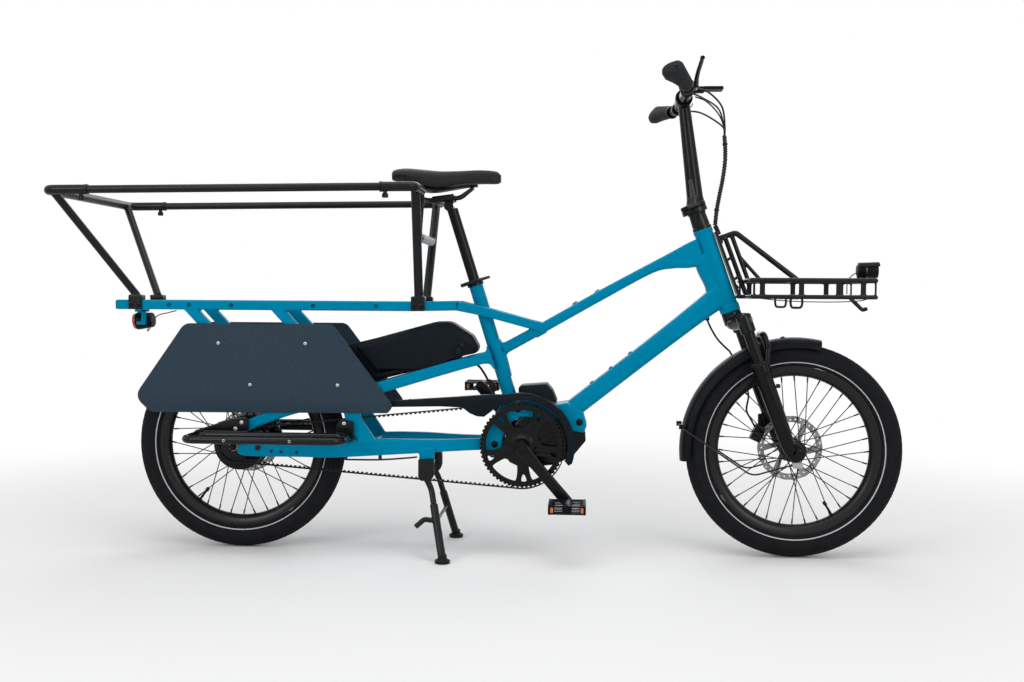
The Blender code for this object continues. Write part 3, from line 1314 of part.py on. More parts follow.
def battery():
    outline = rounded([
        (0.2500, 0.4080, 0.010), (0.2420, 0.4950, 0.014), (0.2680, 0.5080, 0.014), (0.5000, 0.5680, 0.030),
        (0.5260, 0.5690, 0.020), (0.5860, 0.5350, 0.016), (0.5960, 0.5080, 0.012), (0.5900, 0.4945, 0.008),
        (0.4750, 0.4660, 0.010)], 2)
    rings = []
    for y, inset in ((-0.0430, 0.0050), (-0.0375, 0.0), (0.0375, 0.0), (0.0430, 0.0050)):
        narrow = 1 - inset / 0.17
        low = 1 - inset / 0.05
        rings.append([at(0.43 + (x - 0.43) * narrow,
                         0.49 + 0.247 * (x - 0.43) + (z - 0.49 - 0.247 * (x - 0.43)) * low, y)
                      for x, z in outline])
    shell = loft("battery", rings, BLACK_PLASTIC)
    return cut(shell, rod("button_well", at(0.5560, 0.5120, -0.050), at(0.5560, 0.5120, -0.0380), 0.0066,
                          None, sides=16))


def battery_button():
    return rod("power_button", at(0.5560, 0.5120, -0.0445), at(0.5560, 0.5120, -0.0400), 0.0062, BLACK_METAL,
               sides=16)


def battery_rail():
    """Mount under the battery, with the lead that runs down to the motor."""
    rail = beam("rail", [
        (0.2620, 0.4020, 0, 0.046, 0.009), (0.3360, 0.4240, 0, 0.046, 0.009),
        (0.4750, 0.4595, 0, 0.046, 0.009),
        (0.5500, 0.4758, 0, 0.044, 0.009)], BLACK_PLASTIC, 0.002)
    return unite("battery_rail", [rail, battery_cable()])


def mudguard(name, axle_point, first, last, steps):
    """Curved guard over a tyre, turned from its arched section and given a thickness."""
    section = [(0.2520, -0.0340), (0.2640, -0.0310), (0.2730, -0.0170), (0.2755, 0.0), (0.2730, 0.0170),
               (0.2640, 0.0310), (0.2520, 0.0340)]
    mesh = bmesh.new()
    rows = []
    for index in range(steps + 1):
        angle = radians(first + (last - first) * index / steps)
        rows.append([mesh.verts.new((r * cos(angle), y, r * sin(angle))) for r, y in section])
    for row, following in zip(rows, rows[1:]):
        for i in range(len(section) - 1):
            mesh.faces.new((row[i], row[i + 1], following[i + 1], following[i]))
    made = mesh_object(name, mesh, BLACK_PLASTIC, axle_point)
    shell = made.modifiers.new("thickness", "SOLIDIFY")
    shell.thickness = 0.0022
    shell.offset = 0.0
    return freeze(made)


def guard_stays():
    """Wire stays from the back of the front guard to the fork ends."""
    pieces = []
    for side in (RIGHT, LEFT):
        path = bent([at(1.0850, 0.3180, side * 0.0385), at(1.2560, 0.2060, side * 0.0560),
                     at(1.3350, 0.2290, side * 0.0560)],
                    0.03, 2)
        pieces.append(solid_tube("stay", path, 0.0022, STEEL, 1))
    hoop = [at(1.0850, 0.3180, -0.0385), at(1.0893, 0.3160, -0.0160), at(1.0903, 0.3158, 0.0),
            at(1.0893, 0.3160, 0.0160), at(1.0850, 0.3180, 0.0385)]
    pieces.append(solid_tube("stay_hoop", hoop, 0.0022, STEEL, 1))
    return pieces


def front_mudguard():
    return unite("front_mudguard", [mudguard("guard", FRONT_AXLE, 77, 186, 15)] + guard_stays())


CARRIER_HALF = 0.125
CARRIER_TOP = 0.6715
CARRIER_LOW = 0.6330
CARRIER_REAR = 1.2420
CARRIER_FRONT = 1.5300


def tray_loop(z, radius):
    half = CARRIER_HALF - radius
    rear = CARRIER_REAR
    front = CARRIER_FRONT - radius
    corner = 0.020
    loop = []
    for x, y, first in ((rear + corner, -half + corner, 180), (front - corner, -half + corner, 270),
                        (front - corner, half - corner, 0), (rear + corner, half - corner, 90)):
        for step in range(3):
            angle = radians(first + 90 * step / 2)
            loop.append(at(x + corner * cos(angle), z, y + corner * sin(angle)))
    return solid_tube("tray_loop", loop, radius, BLACK_PAINT, 1, cyclic=True)


def front_carrier():
    top = tray_loop(CARRIER_TOP, 0.0058)
    low = tray_loop(CARRIER_LOW, 0.0052)
    pieces = [top, low]
    for side, columns in ((RIGHT, (1.2635, 1.353, 1.435, 1.494)), (LEFT, (1.268, 1.377, 1.460, 1.4965))):
        for x in columns:
            wide = 0.012
            y = side * (CARRIER_HALF - 0.0058)
            pieces.append(block("strut", at(x - wide / 2, CARRIER_LOW, y - 0.003),
                                at(x + wide / 2, CARRIER_TOP, y + 0.003),
                                BLACK_PAINT))
        foot = side * 0.105
        pieces.append(block("loop_out", at(1.3290, 0.6060, foot - 0.004), at(1.3600, 0.6280, foot + 0.004),
                            BLACK_PAINT))
    for x in (1.300, 1.420):
        pieces.append(block("floor_bar", at(x - 0.006, CARRIER_LOW - 0.004, -CARRIER_HALF + 0.006),
                            at(x + 0.006, CARRIER_LOW + 0.002, CARRIER_HALF - 0.006), BLACK_PAINT))
    pieces.append(block("loop_bar", at(1.3400, 0.6270, -0.118), at(1.3500, 0.6335, 0.118), BLACK_PAINT))
    plate_low = steer(0.026, HEAD_RADIUS + 0.0075, 0)
    plate_high = steer(0.196, HEAD_RADIUS + 0.0055, 0)
    pieces.append(loft("back_plate", [
        beam_ring(plate_low, STEER_UP, 0.044, 0.006, 0.001, 2),
        beam_ring(plate_high, STEER_UP, 0.036, 0.006, 0.001, 2)], BLACK_PAINT))
    pieces.append(block("plate_foot", at(1.2180, CARRIER_LOW - 0.004, -0.020),
                        at(1.2480, CARRIER_LOW + 0.004, 0.020),
                        BLACK_PAINT))
    mast = bent([at(1.1720, 0.7720, 0), at(1.2160, 0.7880, 0), at(1.3650, 0.6745, 0)], 0.014)
    pieces.append(solid_tube("mast", mast, 0.0068, BLACK_PAINT, 2))
    pieces.append(rod("rear_brace", at(1.2060, 0.7830, 0), at(1.2480, CARRIER_TOP, 0), 0.0055, BLACK_PAINT,
                      sides=8))
    pieces.append(rod("low_brace", at(1.2270, 0.7290, 0), at(1.2780, CARRIER_TOP + 0.001, 0), 0.0045,
                      BLACK_PAINT, sides=8))
    for x in (1.2780, 1.3650):
        pieces.append(block("cross", at(x - 0.008, CARRIER_TOP - 0.0035, -CARRIER_HALF + 0.007),
                            at(x + 0.008, CARRIER_TOP + 0.0030, CARRIER_HALF - 0.007), BLACK_PAINT))
    pieces.append(block("mast_shoe", at(1.3650 - 0.0086, CARRIER_TOP - 0.0035, -0.0090),
                        at(1.3650 + 0.0086, CARRIER_TOP + 0.0048, 0.0090), BLACK_PAINT))
    hook = bent([at(1.4900, 0.6330, 0), at(1.5220, 0.6020, 0), at(1.5330, 0.6060, 0)], 0.006, 2)
    pieces.append(solid_tube("hook", hook, 0.0050, BLACK_PAINT, 1))
    pieces.append(block("hook_bar", at(1.4840, CARRIER_LOW - 0.004, -CARRIER_HALF + 0.006),
                        at(1.4960, CARRIER_LOW + 0.002, CARRIER_HALF - 0.006), BLACK_PAINT))
    made = unite("front_carrier", pieces)
    tools = []
    for side in (RIGHT, LEFT):
        foot = side * 0.105
        tools.append(block("loop_window", at(1.3330, 0.6100, foot - 0.02), at(1.3560, 0.6235, foot + 0.02),
                           None))
    clearance = rod("head_clearance", steer(-0.02), steer(HEAD_LENGTH + 0.02), HEAD_RADIUS + 0.0022 + GAP,
                    None, sides=24)
    return cut(made, clearance, *tools)


def headlight():
    body = rod("body", at(1.5060, 0.6965, 0), at(1.5550, 0.6975, 0), 0.0165, BLACK_PLASTIC, 0.0185, 20)
    hood = block("hood", at(1.5120, 0.7070, -0.0150), at(1.5580, 0.7155, 0.0150), BLACK_PLASTIC, 0.003)
    foot = block("foot", at(1.5080, 0.6776, -0.0080), at(1.5270, 0.6900, 0.0080), BLACK_PLASTIC)
    return unite("headlight", [body, freeze(hood), foot])


def rear_light():
    """Round lamp with its red lens, the plate that holds it and its thin wire."""
    lamp = rod("lamp", at(-0.2680, 0.5620, 0), at(-0.2260, 0.5660, 0), 0.0215, BLACK_PLASTIC, 0.0185, 16)
    lens = rod("lens", at(-0.2765, 0.5612, 0), at(-0.2670, 0.5621, 0), 0.0190, RED_LENS, 0.0205, 16)
    plate_top = block("plate_top", at(-0.2660, 0.5800, -0.0100), at(-0.2520, 0.5962 - GAP, 0.0100), TEAL)
    ear = block("ear", at(-0.2640, 0.5480, -0.0260), at(-0.2420, 0.5920, -0.0180), TEAL)
    step = block("step", at(-0.2660, 0.5860, -0.0260), at(-0.2480, 0.5920, 0.0000), TEAL)
    route = flowing([at(-0.2400, 0.5500, 0.0), at(-0.2430, 0.5380, -0.002), at(-0.2300, 0.5440, -0.020),
                     at(-0.2050, 0.5750, -0.040), at(-0.1700, 0.5850, -0.050), at(-0.1500, 0.5900, -0.0520)],
                     12)
    wire = solid_tube("wire", route, 0.0013, RUBBER, 1)
    return unite("rear_light", [lamp, lens, plate_top, ear, step, wire])


def hose_upper():
    path = flowing([at(1.1580, 0.5720, 0.0), at(1.1640, 0.5550, 0.010), at(1.1760, 0.5330, 0.030),
                    at(1.1930, 0.5160, 0.043),
                    at(1.2080, 0.5010, 0.0485)], 11)
    return freeze(tube("brake_hose_upper", path, 0.0024, RUBBER, 1))


def hose_lower():
    path = flowing([at(1.2120, 0.4982, 0.0553), at(1.2300, 0.4700, 0.0600), at(1.2480, 0.4300, 0.0560),
                    at(1.2600, 0.3900, 0.0520), at(1.2560, 0.3520, 0.0520), at(1.2680, 0.3270, 0.0520),
                    at(1.2800, 0.3050, 0.0520)], 20)
    return solid_tube("hose", path, 0.0024, RUBBER, 1)


def front_caliper():
    return unite("front_caliper", [caliper("caliper", 1.2830, 0.2950, 0.0440, radians(-66), 0.016),
                                   hose_lower()])


def stay_cable():
    """Gear cable under the right chainstay, with the guides that hold it."""
    path = flowing([at(0.2700, 0.2310, -0.0720), at(0.3600, 0.2320, -0.0720), at(0.4300, 0.2375, -0.0720),
                    at(0.4500, 0.2400, -0.0720)], 7)
    pieces = [solid_tube("stay_cable", path, 0.0022, RUBBER, 1)]
    for x in (0.2760, 0.3600):
        pieces.append(block("guide", at(x - 0.004, 0.2300, -0.0750), at(x + 0.004, 0.2480, -0.0690), RUBBER))
    return pieces


def battery_cable():
    path = flowing([at(0.5450, 0.4735, 0.0), at(0.5700, 0.4705, 0.0), at(0.5920, 0.4580, 0.0),
                    at(0.6060, 0.4400, 0.0),
                    at(0.6180, 0.4180, 0.0), at(0.6300, 0.3930, 0.0), at(0.6330, 0.3750, 0.0)], 12)
    return solid_tube("battery_cable", path, 0.0028, RUBBER, 1)


def build_frame():
    front_frame()
    deck_frame()
    rear_stays()
    motor()
    motor_cover()
    seat_collar()
    hang(pivot("seat_lever_axis", seat_lever_point()), seat_lever())
    side_panel("side_panel_right", RIGHT)
    side_panel("side_panel_left", LEFT)
    footrest("footrest_right", RIGHT)
    footrest("footrest_left", LEFT)
    battery()
    battery_rail()
    hang(pivot("button_axis", at(0.5560, 0.5120, -0.0445)), battery_button())
    rear_hoop()
    front_hoop()


def seat_lever_point():
    top = at(*SEAT_TOP)
    down = (at(*SEAT_LOW) - top).normalized()
    ahead = Vector((-down.z, 0, down.x))
    return top - down * 0.0049 - ahead * 0.030 - SIDEWAYS * 0.0135


def build_fittings():
    belt_guard()
    stand_bracket()
    front_carrier()
    headlight()
    rear_light()
    mudguard("rear_mudguard", REAR_AXLE, 22, 62, 6)


def build_steering():
    hang(pivot("steering_axis", steer(0)), fork_upper(), stem_base(), hose_upper())
    hang(pivot("fork_axis", steer(-0.2, LEG_AHEAD)), fork_lower(), front_mudguard(), front_caliper())
    hang(pivot("front_wheel_axis", FRONT_AXLE), tyre("front_tyre", FRONT_AXLE), rim("front_rim", FRONT_AXLE),
         front_hub(), rotor("front_rotor", FRONT_AXLE, 0.0440))
    hang(pivot("stem_hinge", steer(HINGE_ALONG, 0, 0.0285)), stem_post(), handlebar(),
         grip("grip_right", RIGHT),
         grip("grip_left", LEFT), bar_bracket("lever_body_right", RIGHT),
         bar_bracket("lever_body_left", LEFT),
         display(), cable_bundle())
    hang(pivot("latch_axis", steer(0.2715, LATCH_AHEAD, -0.0345)), latch())
    hang(pivot("shifter_axis", bar_path(RIGHT)[2]), shifter())
    x, z, y = LEVER_PIVOT
    hang(pivot("right_lever_axis", lever_point(x, z, RIGHT, y)), brake_lever("brake_lever_right", RIGHT))
    hang(pivot("left_lever_axis", lever_point(x, z, LEFT, y)), brake_lever("brake_lever_left", LEFT))


def build_moving_parts():
    hang(pivot("rear_wheel_axis", REAR_AXLE), tyre("rear_tyre", REAR_AXLE), rim("rear_rim", REAR_AXLE),
         rear_hub(),
         rotor("rear_rotor", REAR_AXLE, 0.0520))
    caliper("rear_caliper", 0.0664, 0.2891, 0.0520, radians(66), 0.0062)
    hang(pivot("cog_axis", REAR_AXLE), cog())
    hang(pivot("crank_axis", CRANK_AXIS), chainring(), crank_arm("crank_arm_right", RIGHT),
         crank_arm("crank_arm_left", LEFT))
    belt()
    hang(pivot("right_pedal_axis", pedal_point(RIGHT)), pedal("pedal_right", RIGHT))
    hang(pivot("left_pedal_axis", pedal_point(LEFT)), pedal("pedal_left", LEFT))
    hang(pivot("seat_post_axis", at(*SEAT_TOP)), seat_post(), saddle(), saddle_rails())
    hang(pivot("stand_axis", STAND_AXIS), stand_legs())


build_frame()
build_fittings()
build_steering()
build_moving_parts()
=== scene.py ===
from math import acos, atan2, copysign, cos, pi, radians, sin, sqrt

import bmesh
import bpy
import numpy as np
from mathutils import Matrix, Vector

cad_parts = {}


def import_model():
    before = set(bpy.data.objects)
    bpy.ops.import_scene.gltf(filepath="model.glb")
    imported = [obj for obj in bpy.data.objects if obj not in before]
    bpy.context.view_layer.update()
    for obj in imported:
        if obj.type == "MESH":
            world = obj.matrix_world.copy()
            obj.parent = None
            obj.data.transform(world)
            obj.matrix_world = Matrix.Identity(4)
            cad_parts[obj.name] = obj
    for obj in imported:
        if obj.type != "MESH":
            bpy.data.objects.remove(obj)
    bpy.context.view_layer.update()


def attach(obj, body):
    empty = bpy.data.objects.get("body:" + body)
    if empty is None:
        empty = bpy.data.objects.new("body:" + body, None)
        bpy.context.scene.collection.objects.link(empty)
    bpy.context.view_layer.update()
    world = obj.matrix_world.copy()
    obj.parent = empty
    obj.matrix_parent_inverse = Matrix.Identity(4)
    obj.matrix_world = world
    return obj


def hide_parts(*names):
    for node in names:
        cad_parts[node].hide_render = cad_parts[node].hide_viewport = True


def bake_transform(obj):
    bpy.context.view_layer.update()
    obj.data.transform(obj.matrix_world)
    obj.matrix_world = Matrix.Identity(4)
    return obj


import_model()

# Values shared with the solids, in metres. Lengths named x run forward from the rear axle.
REAR_AXLE_X = -0.61325
AXLE_Z = 0.26
WHEELBASE = 1.362
TYRE_HALF = 0.0285
HEAD_X, HEAD_Z, HEAD_LEAN, HEAD_LENGTH, HEAD_RADIUS = 1.2065, 0.5965, radians(19.5), 0.211, 0.0225
LEG_AHEAD, LEG_SIDE = 0.0165, 0.065
SEAT_TOP, SEAT_LOW = (0.583, 0.661), (0.672, 0.378)
SEAT_TUBE_WAY = Vector((SEAT_LOW[0] - SEAT_TOP[0], SEAT_LOW[1] - SEAT_TOP[1])).normalized()
BEAM_SIDE, BEAM_Z = 0.068, 0.6045
CLAMP_SEAT_Z = 0.61585
STAY_SIDE, SPOKES_A_SIDE, SPOKE_END = 0.072, 18, 0.1808
CRANK_X, CRANK_Z, CRANK_LENGTH, CRANK_ANGLE = 0.703, 0.269, 0.172, radians(-49.3)
BELT_SIDE = -0.056
RING_RADIUS, COG_RADIUS = 0.1025, 0.039
RAIL_SIDE, RAIL_OVERHANG, RAIL_FRONT_X = 0.243, 0.3955, 0.468
STAND_X, STAND_Z, STAND_SIDE, FOOT_X, FOOT_SIDE = 0.468, 0.199, 0.075, 0.522, 0.147
HINGE_ALONG = 0.2655
POST_TOP_X, POST_TOP_Z, BAR_HALF = 1.0865, 1.108, 0.305
LEVER_RING_X, LEVER_RING_Z, LEFT_LEVER_TURN = 1.0836, 1.1064, radians(60)
LATCH_AHEAD = -0.006
RIGHT, LEFT = -1, 1
SIDES = (RIGHT, LEFT)
SIDEWAYS = Vector((0, 1, 0))
UP = Vector((0, 0, 1))
FORWARD = Vector((1, 0, 0))


def at(x, z, y=0.0):
    """World point from a distance ahead of the rear axle, a height above ground and a side offset."""
    return Vector((x + REAR_AXLE_X, y, z))


def steer(along, ahead=0.0, side=0.0):
    """World point from a height along the steering axis and an offset ahead of it."""
    x = HEAD_X - along * sin(HEAD_LEAN) + ahead * cos(HEAD_LEAN)
    z = HEAD_Z + along * cos(HEAD_LEAN) + ahead * sin(HEAD_LEAN)
    return at(x, z, side)


STEER_UP = (steer(1) - steer(0)).normalized()
STEER_AHEAD = (steer(0, 1) - steer(0)).normalized()
REAR_AXLE = at(0, AXLE_Z)
FRONT_AXLE = at(WHEELBASE, AXLE_Z)
CRANK_AXIS = at(CRANK_X, CRANK_Z)


# Materials

ROUGH_SPREAD, RELIEF_DEPTH = 0.08, 0.0004


def fill(node, **values):
    """Set inputs of a shader node; an underscore stands for a space in an input's name."""
    for name, value in values.items():
        node.inputs[name.replace("_", " ")].default_value = value
    return node


def surface(name, color, rough=0.5, metal=0.0, spread=0.1, scale=30.0, grain=0.0, grain_scale=900.0, wear=0.0,
        wear_color=(0.2, 0.2, 0.2), coat=0.0, specular=0.5, cells=False, tint=None):
    """Procedural material: broad colour variation, roughness variation, fine relief and light scuffs."""
    made = bpy.data.materials.new(name)
    made.use_nodes = True
    nodes, links = made.node_tree.nodes, made.node_tree.links
    shader = fill(nodes["Principled BSDF"], Metallic=metal, Coat_Weight=coat, Coat_Roughness=0.12,
        Specular_IOR_Level=specular)
    if tint:
        fill(shader, Specular_Tint=(*tint, 1))
    place = nodes.new("ShaderNodeTexCoord").outputs["Object"]

    def cloud(cloud_scale, detail):
        made_cloud = fill(nodes.new("ShaderNodeTexNoise"), Scale=cloud_scale, Detail=detail)
        links.new(place, made_cloud.inputs["Vector"])
        return made_cloud.outputs["Fac"]

    ramp = nodes.new("ShaderNodeValToRGB")
    for end, position, factor in ((0, 0.3, 1 - spread), (1, 0.7, 1 + spread)):
        ramp.color_ramp.elements[end].position = position
        ramp.color_ramp.elements[end].color = (*[min(1.0, c * factor) for c in color], 1)
    links.new(cloud(scale, 4.0), ramp.inputs["Fac"])
    base = ramp.outputs["Color"]
    if wear:
        scuff = fill(nodes.new("ShaderNodeMapRange"), From_Min=0.66, From_Max=0.74, To_Max=wear)
        links.new(cloud(scale * 9, 8.0), scuff.inputs["Value"])
        mix = nodes.new("ShaderNodeMix")
        mix.data_type = "RGBA"
        links.new(scuff.outputs["Result"], mix.inputs["Factor"])
        links.new(base, mix.inputs["A"])
        mix.inputs["B"].default_value = (*wear_color, 1)
        base = mix.outputs["Result"]
    links.new(base, shader.inputs["Base Color"])
    gloss = fill(nodes.new("ShaderNodeMapRange"), To_Min=max(0.02, rough - ROUGH_SPREAD),
        To_Max=min(1.0, rough + ROUGH_SPREAD))
    links.new(cloud(scale * 3, 3.0), gloss.inputs["Value"])
    links.new(gloss.outputs["Result"], shader.inputs["Roughness"])
    if grain:
        if cells:
            relief = fill(nodes.new("ShaderNodeTexVoronoi"), Scale=grain_scale)
            links.new(place, relief.inputs["Vector"])
            height = relief.outputs["Distance"]
        else:
            height = cloud(grain_scale, 2.0)
        bump = fill(nodes.new("ShaderNodeBump"), Strength=grain, Distance=RELIEF_DEPTH)
        links.new(height, bump.inputs["Height"])
        links.new(bump.outputs["Normal"], shader.inputs["Normal"])
    return made


TEAL = surface("teal_paint", (0.0, 0.205, 0.362), 0.4, 0.0, 0.04, 14, 0.035, 1500, specular=0.3,
    tint=(0.02, 0.55, 0.85))
BLACK_PAINT = surface("black_paint", (0.0055, 0.0062, 0.0075), 0.28, 0.0, 0.1, 25, 0.035, 1300, wear=0.15,
    wear_color=(0.014, 0.015, 0.017), specular=0.2)
FORK_PAINT = surface("fork_black", (0.003, 0.0036, 0.0042), 0.2, 0.0, 0.1, 25, 0.06, 1300, specular=0.15)
GLOSS_PAINT = surface("gloss_black", (0.004, 0.005, 0.006), 0.15, 0.0, 0.08, 25, 0.03, 700, specular=0.22)
SATIN_PLASTIC = surface("satin_plastic", (0.003, 0.0042, 0.0065), 0.38, 0.0, 0.1, 40, 0.25, 2200,
    specular=0.09)
GRAINED_PLASTIC = surface("grained_plastic", (0.004, 0.0075, 0.0115), 0.44, 0.0, 0.12, 60, 0.45, 1500,
    cells=True, specular=0.09)
BLACK_METAL = surface("black_anodised", (0.003, 0.0032, 0.0038), 0.22, 0.0, 0.1, 35, 0.035, 1800, wear=0.2,
    wear_color=(0.012, 0.012, 0.013), specular=0.17)
SPOKE_METAL = surface("spoke_metal", (0.012, 0.012, 0.014), 0.34, 0.3, 0.1, 90, specular=0.2)
STEEL = surface("steel", (0.5, 0.49, 0.47), 0.28, 1.0, 0.08, 60, 0.1, 2400, wear=0.3,
    wear_color=(0.28, 0.27, 0.26))
DARK_STEEL = surface("rotor_steel", (0.27, 0.265, 0.26), 0.34, 1.0, 0.1, 60, 0.1, 2400, wear=0.3,
    wear_color=(0.18, 0.17, 0.17))
BRONZE = surface("nut_ring", (0.42, 0.29, 0.18), 0.36, 1.0, 0.1, 200, 0.1, 900)
TYRE = surface("tyre_rubber", (0.009, 0.0095, 0.011), 0.74, 0.0, 0.18, 45, 0.35, 1700, specular=0.08,
    wear=0.35, wear_color=(0.02, 0.021, 0.022))
TYRE_BAND = surface("tyre_reflective_band", (0.5, 0.51, 0.53), 0.45, 0.0, 0.05, 160, 0.3, 2600, specular=0.2)
RIM = surface("rim_paint", (0.006, 0.006, 0.007), 0.28, 0.0, 0.1, 40, 0.06, 1500, specular=0.25)
RUBBER = surface("soft_rubber", (0.008, 0.009, 0.01), 0.6, 0.0, 0.14, 70, 0.35, 1900, specular=0.15)
GRIP = surface("grip_rubber", (0.017, 0.018, 0.02), 0.66, 0.0, 0.12, 70, 0.6, 1400, cells=True, specular=0.15)
# Latch colour: lighter than the post's black, a painted highlight that stands in for the bright rim of the
# latch.
LATCH_PAINTED_HIGHLIGHT = surface("latch_painted_highlight", (0.018, 0.019, 0.021), 0.24, 0.0, 0.1, 60, 0.06, 1500, specular=0.3)
CABLE = surface("cable_sheath", (0.008, 0.008, 0.009), 0.36, 0.0, 0.1, 120, 0.05, 1500, specular=0.3)
BOARD = surface("textured_board", (0.024, 0.043, 0.063), 0.6, 0.0, 0.16, 420, 0.9, 1100, wear=0.25,
    wear_color=(0.055, 0.075, 0.1), specular=0.12)
LEATHER = surface("saddle_cover", (0.013, 0.012, 0.012), 0.44, 0.0, 0.12, 40, 0.5, 1300, cells=True,
    specular=0.18)
GREY_PAD = surface("grey_pad", (0.4, 0.41, 0.43), 0.58, 0.0, 0.06, 90, 0.3, 1400, specular=0.2)
RED_LENS = surface("red_lens", (0.42, 0.004, 0.006), 0.14, 0.0, 0.12, 120, 0.6, 420, cells=True, coat=0.4)
AMBER = surface("amber_reflector", (0.6, 0.115, 0.01), 0.18, 0.0, 0.15, 150, 0.7, 520, cells=True, coat=0.4)
CLEAR_LENS = surface("lamp_lens", (0.5, 0.53, 0.55), 0.1, 0.0, 0.1, 150, 0.6, 420, cells=True, coat=0.6)
SCREEN = surface("display_glass", (0.012, 0.013, 0.015), 0.1, 0.0, 0.05, 60, 0.02, 500, coat=0.6)


# Mesh helpers

SMOOTH_IN, SMOOTH_OUT = 0.55, -0.57


def side_axes(direction):
    direction = Vector(direction).normalized()
    first = direction.cross(UP)
    if first.length < 0.05:
        first = direction.cross(FORWARD)
    first.normalize()
    return direction, first, direction.cross(first).normalized()


def ring_about(centre, first, second, wide, tall, steps):
    """Points round an ellipse whose half axes lie along two directions."""
    angles = [2 * pi * i / steps for i in range(steps)]
    return [centre + first * (wide * cos(a)) + second * (tall * sin(a)) for a in angles]


def recalculated(points, faces, name):
    """Mesh data whose faces all point outward."""
    data = bpy.data.meshes.new(name)
    data.from_pydata(points, [], faces)
    mesh = bmesh.new()
    mesh.from_mesh(data)
    bmesh.ops.recalc_face_normals(mesh, faces=mesh.faces)
    mesh.to_mesh(data)
    mesh.free()
    return data


class Batch:
    """Collects closed shells that end up in one piece."""

    def __init__(self):
        self.points = []
        self.faces = []

    def add(self, points, faces):
        start = len(self.points)
        self.points += [tuple(p) for p in points]
        self.faces += [tuple(start + i for i in face) for face in faces]
        return self

    def rings(self, rings, closed=False):
        """Skin through rings of equal counts."""
        count = len(rings[0])
        points = [p for ring in rings for p in ring]
        faces = []
        spans = len(rings) if closed else len(rings) - 1
        for row in range(spans):
            after = (row + 1) % len(rings)
            for i in range(count):
                j = (i + 1) % count
                faces.append((row * count + i, row * count + j, after * count + j, after * count + i))
        if not closed:
            faces.append(tuple(reversed(range(count))))
            faces.append(tuple((len(rings) - 1) * count + i for i in range(count)))
        return self.add(points, faces)

    def turned(self, base, axis, profile, steps=32, closed=False):
        """Lathe shape from (radius, height) pairs along an axis. A closed profile makes a ring."""
        direction, first, second = side_axes(axis)
        base = Vector(base)
        radii = [(max(radius, 0.00005), height) for radius, height in profile]
        return self.rings([ring_about(base + direction * height, first, second, radius, radius, steps)
            for radius, height in radii], closed=closed)

    def rod(self, start, end, radius, end_radius=None, steps=24, chamfer=0.0006):
        """Round bar with slightly broken end edges."""
        start, end = Vector(start), Vector(end)
        far = radius if end_radius is None else end_radius
        length = (end - start).length
        c = min(chamfer, radius * 0.3, far * 0.3, length * 0.2)
        profile = [(radius - c, 0), (radius, c), (far, length - c), (far - c, length)]
        return self.turned(start, end - start, profile, steps)

    def tube(self, path, radius, steps=16, closed=False):
        """Tube along a path without twist. Radius can be a list."""
        path = [Vector(p) for p in path]
        count = len(path)
        radii = radius if isinstance(radius, (list, tuple)) else [radius] * count
        tangents = []
        for i in range(count):
            before = path[(i - 1) % count] if closed or i > 0 else path[0]
            after = path[(i + 1) % count] if closed or i < count - 1 else path[-1]
            tangents.append((after - before).normalized())
        _, first, _ = side_axes(tangents[0])
        rings = []
        for i, place in enumerate(path):
            first = (first - tangents[i] * first.dot(tangents[i])).normalized()
            second = tangents[i].cross(first)
            ring = []
            for k in range(steps):
                out = first * cos(2 * pi * k / steps) + second * sin(2 * pi * k / steps)
                ring.append(place + out * radii[i])
            rings.append(ring)
        return self.rings(rings, closed=closed)

    def block(self, low, high, bevel=0.0008, turn=None, centre=None, segments=2):
        """Box between two corners with rounded edges, turned about its centre where a matrix is given."""
        low, high = Vector(map(min, low, high)), Vector(map(max, low, high))
        mesh = bmesh.new()
        bmesh.ops.create_cube(mesh, size=1.0)
        bmesh.ops.scale(mesh, vec=high - low, verts=mesh.verts)
        if bevel:
            bmesh.ops.bevel(mesh, geom=list(mesh.edges), offset=bevel, segments=segments, affect="EDGES",
                profile=0.5)
        middle = (low + high) / 2 if centre is None else Vector(centre)
        if turn is not None:
            bmesh.ops.transform(mesh, matrix=turn, verts=mesh.verts)
        bmesh.ops.translate(mesh, vec=middle, verts=mesh.verts)
        self.take(mesh)
        return self

    def take(self, mesh):
        mesh.verts.ensure_lookup_table()
        mesh.verts.index_update()
        self.add([v.co.copy() for v in mesh.verts], [[v.index for v in f.verts] for f in mesh.faces])
        mesh.free()
        return self

    def plate(self, outlines, thickness, place, right, up, bevel=0.0):
        """Flat plate with holes. Outlines are (u, v) pairs along two directions from a place."""
        curve = bpy.data.curves.new("plate", "CURVE")
        curve.dimensions = "2D"
        curve.fill_mode = "BOTH"
        curve.extrude = thickness / 2 - bevel
        curve.bevel_depth = bevel
        curve.bevel_resolution = 1
        curve.offset = -bevel
        for outline in outlines:
            spline = curve.splines.new("POLY")
            spline.points.add(len(outline) - 1)
            for point, (u, v) in zip(spline.points, outline):
                point.co = (u, v, 0.0, 1.0)
            spline.use_cyclic_u = True
        holder = bpy.data.objects.new("plate", curve)
        bpy.context.scene.collection.objects.link(holder)
        bpy.context.view_layer.update()
        data = bpy.data.meshes.new_from_object(holder.evaluated_get(bpy.context.evaluated_depsgraph_get()))
        bpy.data.objects.remove(holder)
        bpy.data.curves.remove(curve)
        mesh = bmesh.new()
        mesh.from_mesh(data)
        bpy.data.meshes.remove(data)
        bmesh.ops.remove_doubles(mesh, verts=mesh.verts, dist=0.00001)
        right, up = Vector(right), Vector(up)
        out = right.cross(up)
        turn = Matrix((right, up, out)).transposed().to_4x4()
        bmesh.ops.transform(mesh, matrix=Matrix.Translation(Vector(place)) @ turn, verts=mesh.verts)
        return self.take(mesh)

    def side_plate(self, outlines, thickness, y, bevel=0.0):
        """Plate that lies in the bike's side view, with outlines in x and z."""
        return self.plate(outlines, thickness, at(0, 0, y), FORWARD, UP, bevel)

